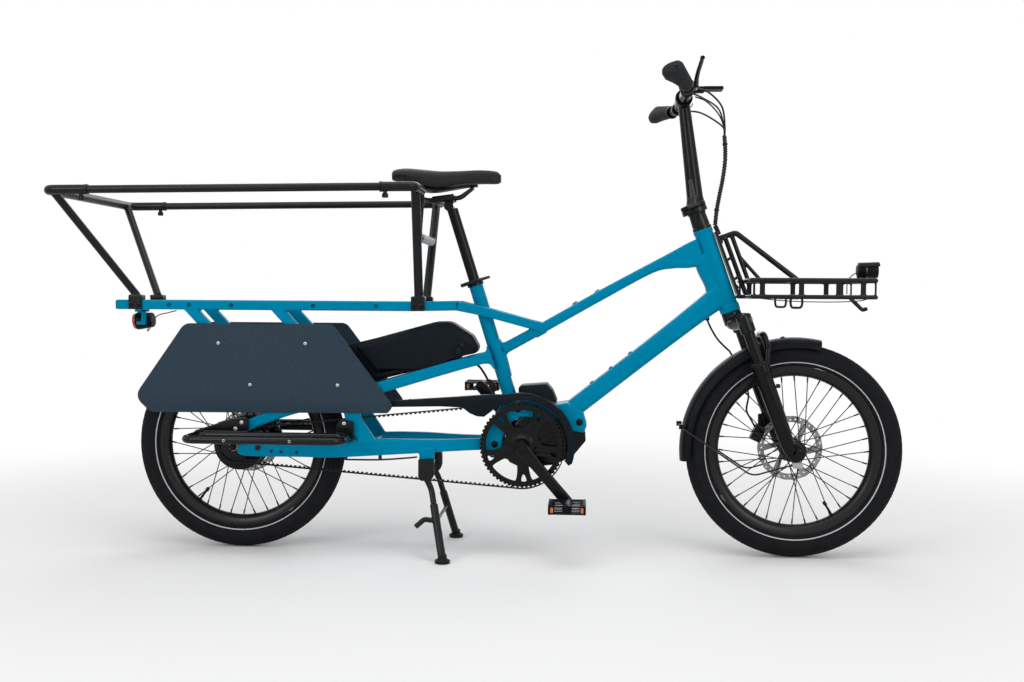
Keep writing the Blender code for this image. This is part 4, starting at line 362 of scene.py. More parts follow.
    def bolt(self, place, axis, radius=0.0042, height=0.003, washer=0.0):
        """Button-head screw with a hexagon socket, standing on a face."""
        direction, first, second = side_axes(axis)
        place = Vector(place)
        if washer:
            self.turned(place - direction * 0.0004, direction,
                [(washer, 0), (washer, 0.0012), (washer * 0.9, 0.0015)], 24)
            place = place + direction * 0.0009
        outer = [(radius, -0.0004), (radius, height * 0.35), (radius * 0.86, height * 0.8),
            (radius * 0.6, height)]
        steps = 24
        rings = []
        for r, h in outer:
            rings.append(ring_about(place + direction * h, first, second, r, r, steps))
        for h in (height, height * 0.25):
            ring = []
            for i in range(steps):
                angle = 2 * pi * i / steps
                r = radius * 0.46 / max(0.87, cos((angle % (pi / 3)) - pi / 6))
                ring.append(place + direction * h + first * (r * cos(angle)) + second * (r * sin(angle)))
            rings.append(ring)
        return self.rings(rings)

    def nut(self, place, axis, radius, height):
        """Hexagon nut with a broken outer edge."""
        direction, first, second = side_axes(axis)
        place = Vector(place)
        return self.rings([ring_about(place + direction * h, first, second, radius * share, radius * share, 6)
            for share, h in ((1.0, 0.0), (1.0, height * 0.8), (0.88, height))])

    def piece(self, name, look, body, angle=38.0, node=None, slot=None):
        """Piece made of the shells as they are."""
        data = recalculated(self.points, self.faces, name)
        return finish_piece(name, data, look, body, angle, node)

    def skin(self, voxel, passes, keep, name, look, body, angle, node, slot):
        """Piece made of one skin over the overlapping shells."""
        return finish_piece(name, blended(self, voxel, passes, keep), look, body, angle, node)


def finish_piece(name, data, look, body, angle, node):
    """Show a mesh with its look, on its body, in place of a node where one is named."""
    data.materials.clear()
    data.materials.append(look)
    data.shade_smooth()
    data.set_sharp_from_angle(angle=radians(angle))
    made = bpy.data.objects.new(name, data)
    bpy.context.scene.collection.objects.link(made)
    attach(made, body)
    if node:
        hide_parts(node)
    return made


def bent(points, radius, steps=8):
    """Path through corner points with each inner corner turned into an arc."""
    points = [Vector(point) for point in points]
    path = [points[0]]
    for before, corner, after in zip(points, points[1:], points[2:]):
        into = (before - corner).normalized()
        away = (after - corner).normalized()
        half = acos(max(-1.0, min(1.0, into.dot(away)))) / 2
        reach = min(radius / max(0.05, abs(sin(half) / cos(half))), (before - corner).length * 0.48,
            (after - corner).length * 0.48)
        for step in range(steps + 1):
            t = step / steps
            path.append(((1 - t) ** 2) * (corner + into * reach) + 2 * t * (1 - t) * corner
                + (t ** 2) * (corner + away * reach))
    path.append(points[-1])
    return path


def flowing(points, count):
    """Evenly counted points on a smooth curve through the given points."""
    points = [Vector(point) for point in points]
    padded = [2 * points[0] - points[1]] + points + [2 * points[-1] - points[-2]]
    path = []
    spans = len(points) - 1
    for index in range(count):
        place = index * spans / (count - 1)
        span = min(int(place), spans - 1)
        t = place - span
        a, b, c, d = padded[span:span + 4]
        path.append(0.5 * ((2 * b) + (c - a) * t + (2 * a - 5 * b + 4 * c - d) * t * t
            + (3 * b - a - 3 * c + d) * t ** 3))
    return path


def circle(x, z, radius, sides):
    return [(x + radius * cos(i * 2 * pi / sides), z + radius * sin(i * 2 * pi / sides))
        for i in range(sides)]


def arc(x, z, radius, first, last, steps):
    angles = [radians(first + (last - first) * i / steps) for i in range(steps + 1)]
    return [(x + radius * cos(a), z + radius * sin(a)) for a in angles]


def rounded(corners, steps):
    """Outline in x and z from corners, each with its own corner radius."""
    outline = []
    count = len(corners)
    for index, (x, z, radius) in enumerate(corners):
        before = Vector((*corners[index - 1][:2], 0))
        corner = Vector((x, z, 0))
        after = Vector((*corners[(index + 1) % count][:2], 0))
        path = bent([before, corner, after], radius, steps)
        outline += [tuple(point)[:2] for point in path[1:-1]]
    return outline


def on_line(first, second, share):
    return tuple(a + (b - a) * share for a, b in zip(first, second))


def box_ring(centre, along, width, height, corner, steps=4):
    """Rounded rectangle square to a direction, its width across the bike."""
    across = (SIDEWAYS - along * SIDEWAYS.dot(along)).normalized()
    rise = along.cross(across).normalized()
    corner = min(corner, width * 0.499, height * 0.499)
    ring = []
    for sign_u, sign_v, first in ((1, 1, 0), (-1, 1, 90), (-1, -1, 180), (1, -1, 270)):
        for step in range(steps):
            angle = radians(first + 90 * step / (steps - 1))
            u = sign_u * (width / 2 - corner) + corner * cos(angle)
            v = sign_v * (height / 2 - corner) + corner * sin(angle)
            ring.append(centre + across * u + rise * v)
    return ring


def box_tube(batch, stations, corner, flow=True):
    """Box tube through stations of x, z, y, width and height, with flowing changes between them."""
    smooth_steps = 6
    rows = [Vector((x, z, y)) for x, z, y, width, height in stations]
    sizes = [Vector((width, height, 0)) for x, z, y, width, height in stations]
    if flow and len(rows) > 2:
        count = (len(rows) - 1) * smooth_steps + 1
        rows, sizes = flowing(rows, count), flowing(sizes, count)
    centres = [at(*row) for row in rows]
    rings = []
    last = len(centres) - 1
    for index, centre in enumerate(centres):
        along = (centres[min(index + 1, last)] - centres[max(index - 1, 0)]).normalized()
        rings.append(box_ring(centre, along, sizes[index][0], sizes[index][1], corner))
    return batch.rings(rings)


def modified(data, kind, voxel=None, ratio=None):
    """Mesh data after a remesh to one voxel size, or after a decimation to a share of its faces."""
    holder = bpy.data.objects.new("blend", data)
    bpy.context.scene.collection.objects.link(holder)
    change = holder.modifiers.new("change", kind)
    if voxel:
        change.mode = "VOXEL"
        change.voxel_size = voxel
    if ratio:
        change.ratio = ratio
    bpy.context.view_layer.update()
    after = bpy.data.meshes.new_from_object(holder.evaluated_get(bpy.context.evaluated_depsgraph_get()))
    bpy.data.objects.remove(holder)
    return after


def blended(batch, voxel, passes, keep):
    """One skin over overlapping shells, with the small fillets of welded and ground joints."""
    data = recalculated(batch.points, batch.faces, "blend")
    skin = modified(data, "REMESH", voxel=voxel)
    count = len(skin.vertices)
    points = np.empty(count * 3, np.float64)
    skin.vertices.foreach_get("co", points)
    points = points.reshape(-1, 3)
    edges = np.empty(len(skin.edges) * 2, np.int64)
    skin.edges.foreach_get("vertices", edges)
    a, b = edges.reshape(-1, 2).T
    degree = np.bincount(np.concatenate([a, b]), minlength=count)[:, None]
    for _ in range(passes):
        for share in (SMOOTH_IN, SMOOTH_OUT):
            total = np.zeros_like(points)
            for axis in range(3):
                total[:, axis] = (np.bincount(a, points[b, axis], count)
                    + np.bincount(b, points[a, axis], count))
            points += share * (total / degree - points)
    skin.vertices.foreach_set("co", points.ravel())
    skin.update()
    return modified(skin, "DECIMATE", ratio=keep)


# Stage, camera and lights

YAW, PITCH, ROLL = radians(3.545), radians(2.238), radians(-0.364)
FOCAL_PIXELS, PHOTO_WIDTH, SENSOR_MM = 1125, 1024, 36
CAMERA_PLACE = at(0.8457, 0.6285, -2.7648)
FILL_LEVEL = 0.42
FLOOR_REACH, FLOOR_DROP, FADE_START, FADE_END = 40.0, 0.0006, 0.9, 2.6


def camera():
    """Camera fitted to both wheels as the photograph shows them."""
    yaw, pitch, roll = YAW, PITCH, ROLL
    cy, sy, cp, sp, cr, sr = cos(yaw), sin(yaw), cos(pitch), sin(pitch), cos(roll), sin(roll)
    turn = (Matrix(((cy, -sy, 0), (sy, cy, 0), (0, 0, 1))) @ Matrix(((1, 0, 0), (0, cp, sp), (0, -sp, cp)))
        @ Matrix(((cr, 0, sr), (0, 1, 0), (-sr, 0, cr))))
    right, ahead, above = turn.col[0], turn.col[1], turn.col[2]
    data = bpy.data.cameras.new("camera")
    data.sensor_width = SENSOR_MM
    data.lens = FOCAL_PIXELS * SENSOR_MM / PHOTO_WIDTH
    made = bpy.data.objects.new("camera", data)
    bpy.context.scene.collection.objects.link(made)
    made.matrix_world = (Matrix.Translation(CAMERA_PLACE)
        @ Matrix((right, above, -ahead)).transposed().to_4x4())
    bpy.context.scene.camera = made


def lamp(name, place, target, size, power, size_y=None):
    """Soft area light that faces a point."""
    data = bpy.data.lights.new(name, "AREA")
    data.shape = "RECTANGLE"
    data.size = size
    data.size_y = size_y or size
    data.energy = power
    made = bpy.data.objects.new(name, data)
    made.location = place
    made.rotation_euler = (Vector(target) - Vector(place)).to_track_quat("-Z", "Y").to_euler()
    bpy.context.scene.collection.objects.link(made)


def world():
    """Even fill light that looks pure white to the camera, in mirrors and through glass."""
    made = bpy.data.worlds.new("studio")
    bpy.context.scene.world = made
    made.use_nodes = True
    nodes, links = made.node_tree.nodes, made.node_tree.links
    back = nodes["Background"]
    path = nodes.new("ShaderNodeLightPath")
    white = path.outputs["Is Camera Ray"]
    for kind in ("Is Transmission Ray", "Is Glossy Ray"):
        either = nodes.new("ShaderNodeMath")
        either.operation = "MAXIMUM"
        links.new(white, either.inputs[0])
        links.new(path.outputs[kind], either.inputs[1])
        white = either.outputs[0]
    level = fill(nodes.new("ShaderNodeMapRange"), To_Min=FILL_LEVEL, To_Max=1.0)
    links.new(white, level.inputs["Value"])
    links.new(level.outputs["Result"], back.inputs["Strength"])
    back.inputs["Color"].default_value = (1, 1, 1, 1)


def floor():
    """Pale floor that keeps the shadow and fades to the white background far from the object."""
    data = bpy.data.meshes.new("floor")
    corners = [(x * FLOOR_REACH, y * FLOOR_REACH, 0) for x, y in ((-1, -1), (1, -1), (1, 1), (-1, 1))]
    data.from_pydata(corners, [], [(0, 1, 2, 3)])
    made = bpy.data.objects.new("floor", data)
    made.location.z = -FLOOR_DROP
    bpy.context.scene.collection.objects.link(made)
    look = bpy.data.materials.new("floor")
    look.use_nodes = True
    nodes, links = look.node_tree.nodes, look.node_tree.links
    shader = fill(nodes["Principled BSDF"], Base_Color=(0.9, 0.9, 0.9, 1), Roughness=0.9,
        Specular_IOR_Level=0.0)
    glow = fill(nodes.new("ShaderNodeEmission"), Color=(1, 1, 1, 1))
    place = nodes.new("ShaderNodeNewGeometry")
    far = nodes.new("ShaderNodeVectorMath")
    far.operation = "LENGTH"
    links.new(place.outputs["Position"], far.inputs[0])
    fade = fill(nodes.new("ShaderNodeMapRange"), From_Min=FADE_START, From_Max=FADE_END)
    fade.interpolation_type = "SMOOTHSTEP"
    links.new(far.outputs["Value"], fade.inputs["Value"])
    path = nodes.new("ShaderNodeLightPath")
    seen = nodes.new("ShaderNodeMath")
    seen.operation = "MULTIPLY"
    links.new(fade.outputs["Result"], seen.inputs[0])
    links.new(path.outputs["Is Camera Ray"], seen.inputs[1])
    mix = nodes.new("ShaderNodeMixShader")
    links.new(seen.outputs[0], mix.inputs[0])
    links.new(shader.outputs[0], mix.inputs[1])
    links.new(glow.outputs[0], mix.inputs[2])
    links.new(mix.outputs[0], nodes["Material Output"].inputs["Surface"])
    data.materials.append(look)


def studio():
    bpy.context.scene.view_settings.view_transform = "Standard"
    camera()
    world()
    floor()
    lamp("overhead", (0.0, -0.6, 3.2), (0, 0, 0.3), 3.4, 46, 2.2)
    lamp("front_left", (-2.2, -3.0, 1.9), (0, 0, 0.4), 1.6, 34)
    lamp("front_right", (2.4, -2.8, 1.6), (0, 0, 0.4), 1.6, 28)
    lamp("behind", (0.4, 3.0, 2.2), (0, 0, 0.5), 2.6, 30)


# Wheels

# The tread's lanes from the middle out: outer edge, depth of the cuts, columns from cut to cut, first cut
TREAD_LANES = ((0.0046, 0.0011, 8, 0), (0.0064, 0.0014, 1, 0), (0.0128, 0.0014, 8, 4), (0.0148, 0.0012, 1, 0),
    (0.0228, 0.0013, 4, 2))
TREAD_COLUMNS, BAND_RADIUS, BAND_HALF = 720, 0.2155, 0.0013


def tyre(name, axle, body):
    """Balloon tyre: round section with blocks, grooves and sipes cut in its tread."""
    middle, rise = 0.2335, 0.0265
    crown = [0.0, 0.0022, 0.0044, 0.005, 0.0062, 0.0068, 0.0098, 0.0126, 0.0132, 0.0146, 0.0152, 0.019,
        0.0226, 0.0234, 0.0256, 0.0274]
    half = [(y, middle + rise * sqrt(1 - (y / TYRE_HALF) ** 2)) for y in crown]
    for radius in (0.242, 0.237, 0.2335, 0.229, 0.224, 0.2195, 0.2167, 0.2143, 0.21, 0.2068):
        if radius > middle:
            y = TYRE_HALF * sqrt(1 - ((radius - middle) / rise) ** 2)
        else:
            y = TYRE_HALF - 0.0125 * ((middle - radius) / 0.0267) ** 2
        half.append((y, radius))
    section = [(-y, r) for y, r in reversed(half)] + half[1:]
    band = {i for i in range(len(section) - 1) if all(abs(r - BAND_RADIUS) < BAND_HALF for _,
        r in section[i:i + 2])}

    def depth(y, column):
        y = abs(y)
        for edge, deep, period, first in TREAD_LANES:
            if y < edge:
                return deep if column % period == first else 0.0
        return 0.0015 if (column + int((TYRE_HALF - y) * 1400)) % 6 < 2 else 0.0

    rings = []
    for column in range(TREAD_COLUMNS):
        angle = 2 * pi * column / TREAD_COLUMNS
        ring = []
        for y, radius in section:
            cut = depth(y, column) if radius > middle else 0.0
            radius -= cut * 0.9
            ring.append(axle + Vector((radius * cos(angle), y * (1 - cut * 8), radius * sin(angle))))
        rings.append(ring)
    batch = Batch().rings(rings, closed=True)
    made = batch.piece(name + "_tread", TYRE, body, 32, name, "tyre_rubber")
    made.data.materials.append(TYRE_BAND)
    for face in made.data.polygons:
        if face.index % len(section) in band:
            face.material_index = 1


def rim(name, axle, body, valve_place):
    """Rim with its valve and a knurled valve cap."""
    profile = [(0.2063, -0.0165), (0.2063, -0.0138), (0.2035, -0.013), (0.2035, 0.013), (0.2063, 0.0138),
        (0.2063, 0.0165), (0.205, 0.0167), (0.199, 0.0164), (0.1975, 0.0159), (0.193, 0.0152),
        (0.1885, 0.0128), (0.1845, 0.0085), (0.1818, 0.0042), (0.181, 0.0), (0.1818, -0.0042),
        (0.1845, -0.0085), (0.1885, -0.0128), (0.193, -0.0152), (0.1975, -0.0159), (0.199, -0.0164),
        (0.205, -0.0167)]
    Batch().turned(axle, SIDEWAYS, profile, 180, closed=True).piece(name + "_hoop", RIM, body, 30, name,
        "black_paint")
    toward = (axle - valve_place).normalized()
    foot = axle - toward * 0.1815
    valve = Batch()
    valve.rod(foot - toward * 0.004, foot + toward * 0.0015, 0.0048, 0.0042)
    valve.rod(foot, foot + toward * 0.026, 0.003, 0.0027)
    for i in range(7):
        valve.turned(foot + toward * (0.003 + i * 0.0013), toward,
            [(0.0028, 0), (0.0033, 0.0003), (0.0033, 0.0006), (0.0028, 0.0009)], 20)
    valve.piece(name + "_valve", BLACK_METAL, body)
    cap = Batch().turned(foot + toward * 0.0255, toward,
        [(0.0036, 0), (0.0041, 0.0006), (0.0041, 0.009), (0.0034, 0.0105), (0.001, 0.0112)], 20)
    _, first, second = side_axes(toward)
    for start in ring_about(foot + toward * 0.0265, first, second, 0.004, 0.004, 10):
        cap.rod(start, start + toward * 0.008, 0.0004, steps=8)
    cap.piece(name + "_valve_cap", RUBBER, body)


def spokes(axle, flange_radius, flange_side, cross):
    """Spokes laced from hub flanges to rim, with heads in the flanges and nipples at the rim."""
    batch = Batch()
    for side in SIDES:
        for index in range(SPOKES_A_SIDE):
            outward = index % 2
            lean = cross if outward else -cross
            flange = flange_side + (0.0016 if outward else -0.0016)
            angle = 2 * pi * index / SPOKES_A_SIDE + (pi / SPOKES_A_SIDE if side == LEFT else 0.0)
            root = axle + Vector((flange_radius * cos(angle + lean), side * flange,
                flange_radius * sin(angle + lean)))
            tip = axle + Vector((SPOKE_END * cos(angle), side * 0.003, SPOKE_END * sin(angle)))
            along = (tip - root).normalized()
            batch.tube([root, root.lerp(tip, 0.5), tip], 0.0012, 8)
            batch.rod(tip - along * 0.0125, tip, 0.0017, 0.0022, 10)
            inward = -side if outward else side
            head = root - SIDEWAYS * (side * (flange - flange_side))
            batch.rod(head + SIDEWAYS * (inward * 0.0008), head + SIDEWAYS * (inward * -0.0036), 0.0019,
                0.0014, 10)
    return batch


def front_hub():
    """Narrow hub between its flanges, with the disc's seat on the left."""
    shell = Batch().turned(FRONT_AXLE, SIDEWAYS, [(0.0062, -0.0478), (0.0112, -0.0478), (0.012, -0.046),
        (0.0124, -0.033), (0.015, -0.03), (0.0265, -0.029), (0.027, -0.028), (0.027, -0.025),
        (0.0262, -0.0242), (0.016, -0.023), (0.0128, -0.02), (0.012, -0.015), (0.012, 0.015), (0.0128, 0.02),
        (0.016, 0.023), (0.0262, 0.0242), (0.027, 0.025), (0.027, 0.028), (0.0262, 0.029), (0.024, 0.03),
        (0.0235, 0.0385), (0.0228, 0.0395), (0.0062, 0.0398)], 64, closed=True)
    shell.piece("front_hub_shell", BLACK_METAL, "front_wheel", node="front_hub", slot="black_anodised")
    spokes(FRONT_AXLE, 0.0245, 0.0265, 0.95).piece("front_spokes", SPOKE_METAL, "front_wheel")


def rear_hub():
    """Hub with gears inside: a wide drum between its flanges."""
    shell = Batch().turned(REAR_AXLE, SIDEWAYS, [(0.0062, -0.0488), (0.029, -0.0488), (0.031, -0.047),
        (0.033, -0.042), (0.048, -0.038), (0.056, -0.035), (0.063, -0.0335), (0.064, -0.0325),
        (0.064, -0.027), (0.063, -0.026), (0.059, -0.025), (0.0562, -0.0225), (0.0556, -0.018), (0.0552, 0.0),
        (0.0556, 0.018), (0.0562, 0.0225), (0.059, 0.025), (0.063, 0.026), (0.064, 0.027), (0.064, 0.0325),
        (0.063, 0.0335), (0.052, 0.035), (0.038, 0.04), (0.024, 0.044), (0.0225, 0.047), (0.0062, 0.048)], 72,
        closed=True)
    shell.piece("rear_hub_shell", BLACK_METAL, "rear_wheel", node="rear_hub", slot="black_anodised")
    spokes(REAR_AXLE, 0.059, 0.029, 0.43).piece("rear_spokes", SPOKE_METAL, "rear_wheel")


def rotor(name, axle, y, body):
    """Brake disc with a waved edge, slots in its band and swept arms."""
    x, z = axle.x - REAR_AXLE_X, axle.z
    steps, edge, wave, waves, bolt_ring = 216, 0.0796, 0.0004, 18, 0.022
    outer = [(x + (edge + wave * cos(waves * 2 * pi * i / steps)) * cos(2 * pi * i / steps),
        z + (edge + wave * cos(waves * 2 * pi * i / steps)) * sin(2 * pi * i / steps)) for i in range(steps)]
    outlines = [outer, circle(x, z, 0.0165, 40)]
    for k in range(6):
        start = 60 * k
        outlines.append(arc(x, z, 0.064, start + 7, start + 52, 12)
            + arc(x, z, 0.0285, start + 30, start - 8, 8))
        outlines.append(circle(x + bolt_ring * cos(radians(start + 8)),
            z + bolt_ring * sin(radians(start + 8)), 0.0024, 14))
    for k in range(36):
        angle = radians(10 * k)
        reach = (0.0695, 0.0745, 0.072)[k % 3]
        hole = []
        for i in range(12):
            a = 2 * pi * i / 12
            u, v = 0.003 * cos(a), 0.0013 * sin(a)
            hole.append((x + reach * cos(angle) + u * cos(angle + 0.9) - v * sin(angle + 0.9),
                z + reach * sin(angle) + u * sin(angle + 0.9) + v * cos(angle + 0.9)))
        outlines.append(hole)
    batch = Batch().side_plate(outlines, 0.0019, y)
    batch.piece(name + "_disc", DARK_STEEL, body, node=name, slot="steel")
    bolts = Batch()
    for k in range(6):
        angle = radians(60 * k + 8)
        place = at(x + bolt_ring * cos(angle), z + bolt_ring * sin(angle), y + 0.0009)
        bolts.bolt(place, SIDEWAYS, 0.0036, 0.0022)
    bolts.piece(name + "_bolts", BLACK_METAL, body)


def wheels():
    tyre("rear_tyre", REAR_AXLE, "rear_wheel")
    tyre("front_tyre", FRONT_AXLE, "front_wheel")
    rim("rear_rim", REAR_AXLE, "rear_wheel", at(-0.0999, 0.1288))
    rim("front_rim", FRONT_AXLE, "front_wheel", at(1.4469, 0.1192))
    front_hub()
    rear_hub()
    rotor("front_rotor", FRONT_AXLE, 0.044, "front_wheel")
    rotor("rear_rotor", REAR_AXLE, 0.052, "rear_wheel")


# Painted frame

def crossing(first, way, second, other):
    """Point where two lines in the side view meet."""
    gap = Vector(second) - Vector(first)
    return Vector(first) + Vector(way) * (gap.cross(Vector(other)) / Vector(way).cross(Vector(other)))


def fillet(batch, corner, first, second, reach, width, y=0.0):
    """Concave web in the corner between two tubes."""
    corner = Vector(corner)
    a, b = Vector(first).normalized() * reach, Vector(second).normalized() * reach
    curve = [corner + a * ((1 - t) ** 2) + b * (t ** 2) for t in (i / 10 for i in range(11))]
    outline = [tuple(p) for p in curve] + [tuple(corner + b - a * 0.35), tuple(corner - (a + b) * 0.35),
        tuple(corner + a - b * 0.35)]
    return batch.side_plate([outline], width, y, 0.0)


TOP_TUBE_BOSSES, BOSS_AXIS = ((0.831, 0.6135), (0.885, 0.643)), (-0.48, 0, 0.88)
FLAT_INSERT = [(0.0044, -0.002), (0.0044, 0.0012), (0.0038, 0.0016), (0.0026, 0.0014), (0.0024, -0.001)]
BEAM_SECTION = (0.02, 0.0235)


def front_frame():
    """Head tube, top tube, down tube, seat tube, sloping beams and motor cradle in one skin."""
    batch = Batch()
    batch.rod(steer(0), steer(HEAD_LENGTH), HEAD_RADIUS, steps=64, chamfer=0.0008)
    batch.turned(steer(0), STEER_UP, [(HEAD_RADIUS + 0.0022, 0), (HEAD_RADIUS + 0.0022, 0.015),
        (HEAD_RADIUS, 0.0185)], 64)
    batch.turned(steer(HEAD_LENGTH - 0.01), STEER_UP,
        [(HEAD_RADIUS, 0), (HEAD_RADIUS + 0.0012, 0.002), (HEAD_RADIUS + 0.0012, 0.01)], 64)
    box_tube(batch, [(1.176, 0.618, 0, 0.04, 0.052), (1.166, 0.66, 0, 0.036, 0.044),
        (1.15, 0.7, 0, 0.036, 0.05), (1.138, 0.735, 0, 0.038, 0.05)], 0.01)
    box_tube(batch, [(1.132, 0.741, 0, 0.04, 0.066), (1.1, 0.73, 0, 0.04, 0.058),
        (1.06, 0.7185, 0, 0.04, 0.038), (1.01, 0.699, 0, 0.04, 0.0245), (0.89, 0.6335, 0, 0.042, 0.025),
        (0.763, 0.561, 0, 0.044, 0.025), (0.655, 0.501, 0, 0.036, 0.027)], 0.007)
    box_tube(batch, [(1.19, 0.642, 0, 0.042, 0.06), (1.135, 0.6, 0, 0.048, 0.05),
        (1.012, 0.5025, 0, 0.052, 0.0445), (0.891, 0.407, 0, 0.054, 0.044), (0.828, 0.3572, 0, 0.056, 0.044)],
        0.011)
    top, low = at(*SEAT_TOP), at(*SEAT_LOW)
    down = (low - top).normalized()
    batch.rod(top, low, 0.0172, steps=48)
    joint = at(0.644, 0.478)
    batch.turned(joint - down * 0.044, down, [(0.0168, 0), (0.0176, 0.012), (0.019, 0.03), (0.0192, 0.046),
        (0.019, 0.06), (0.0176, 0.08), (0.0168, 0.094)], 48)
    seat_edge = Vector(SEAT_TOP) + Vector((0.954, 0.3)) * 0.017
    tube_way = Vector((0.763 - 0.655, 0.561 - 0.501)).normalized()
    for lift, away in ((0.013, -SEAT_TUBE_WAY), (-0.0134, SEAT_TUBE_WAY)):
        tube_edge = Vector((0.655, 0.501)) + Vector((-tube_way.y, tube_way.x)) * lift
        fillet(batch, crossing(seat_edge, SEAT_TUBE_WAY, tube_edge, tube_way), away, tube_way, 0.016, 0.028)
    fillet(batch, (0.748, 0.5408), (-0.97, 0.245), -tube_way, 0.02, 0.03)
    for side in SIDES:
        box_tube(batch, [(0.755, 0.553, side * 0.012, 0.018, 0.026),
            (0.715, 0.564, side * 0.021, 0.02, 0.0225), (0.61, 0.592, side * 0.034, 0.02, 0.0225),
            (0.5433, 0.6068, side * 0.0545, 0.02, 0.0235)], 0.0035)
    outline = rounded([(0.612, 0.25, 0.004), (0.612, 0.293, 0.01), (0.636, 0.335, 0.01),
        (0.652, 0.374, 0.008), (0.7, 0.378, 0.01), (0.79, 0.369, 0.014), (0.812, 0.373, 0.01),
        (0.85, 0.35, 0.008), (0.86, 0.318, 0.006), (0.853, 0.3, 0.006), (0.826, 0.304, 0.006),
        (0.806, 0.333, 0.012), (0.7, 0.338, 0.02), (0.668, 0.318, 0.02), (0.656, 0.28, 0.02),
        (0.652, 0.238, 0.005), (0.628, 0.236, 0.006)], 6)
    batch.side_plate([outline], 0.084, 0.0, 0.003)
    for x, z in TOP_TUBE_BOSSES:
        batch.turned(at(x, z - 0.004), BOSS_AXIS, [(0.0078, 0), (0.0075, 0.006), (0.006, 0.008)], 32)
    batch.skin(0.0016, 5, 0.45, "front_frame_skin", TEAL, "frame", 60, "front_frame", "teal_paint")
    fittings = Batch()
    for x, z in TOP_TUBE_BOSSES:
        fittings.bolt(at(x, z) + Vector(BOSS_AXIS) * 0.0036, BOSS_AXIS, 0.0042, 0.0018)
    for x, z in ((0.6928, 0.356), (0.636, 0.27), (0.842, 0.326)):
        for side in SIDES:
            fittings.bolt(at(x, z, side * 0.042), SIDEWAYS * side, 0.006, 0.0042, 0.0085)
    fittings.piece("frame_bolts", BLACK_METAL, "frame")
    rivets = Batch()
    for x, z in ((0.871, 0.42), (0.917, 0.4565), (0.964, 0.4935)):
        rivets.turned(at(x, z), Vector((-0.62, 0, 0.78)),
            [(0.0052, -0.002), (0.0052, 0.0016), (0.004, 0.0026), (0.002, 0.0024)], 24)
    rivets.piece("frame_rivets", TEAL, "frame")
    plug = Batch()
    plug.turned(at(1.15, 0.58), Vector((0.35, 0, -0.94)),
        [(0.0052, -0.01), (0.0058, -0.008), (0.0058, 0.002), (0.004, 0.006)], 32)
    plug.piece("hose_port", RUBBER, "frame")


def deck_frame():
    """Two deck beams with their cross members and the struts to the side boards."""
    batch = Batch()
    for side in SIDES:
        box_tube(batch, [(x, BEAM_Z, side * BEAM_SIDE, *BEAM_SECTION) for x in (-0.2917, 0.44)], 0.0035,
            flow=False)
        box_tube(batch, [(x, z, side * y, *BEAM_SECTION) for x, z,
            y in ((0.43, BEAM_Z, BEAM_SIDE), (0.44, BEAM_Z, BEAM_SIDE), (0.475, 0.6052, 0.0637),
            (0.5427, 0.6068, 0.0545))], 0.0035)
        for x_top, length in ((-0.116, 0.275), (0.0995, 0.23)):
            foot = on_line((x_top, BEAM_Z), (x_top + 0.93 * length, BEAM_Z - length), 0.93)
            box_tube(batch, [(x_top, BEAM_Z, side * BEAM_SIDE, 0.02, 0.026),
                (foot[0], foot[1], side * BEAM_SIDE, 0.02, 0.026)], 0.0045, flow=False)
    for x in (-0.272, -0.01, 0.225, 0.42):
        batch.block(at(x - 0.012, BEAM_Z - 0.008, -BEAM_SIDE), at(x + 0.012, BEAM_Z + 0.008, BEAM_SIDE),
            0.003)
    batch.skin(0.0018, 4, 0.45, "deck_frame_skin", TEAL, "frame", 60, "deck_frame", "teal_paint")
    fittings = Batch()
    for side in SIDES:
        for x in (-0.1591, -0.1094, -0.0053, 0.1965, 0.3503):
            place = at(x, 0.6045, side * 0.0778)
            fittings.turned(place, SIDEWAYS * side, FLAT_INSERT, 24)
        end = side * BEAM_SIDE
        fittings.block(at(-0.2935, 0.5945, end - 0.0085), at(-0.2905, 0.6145, end + 0.0085), 0.0012)
    fittings.piece("deck_inserts", SATIN_PLASTIC, "frame")


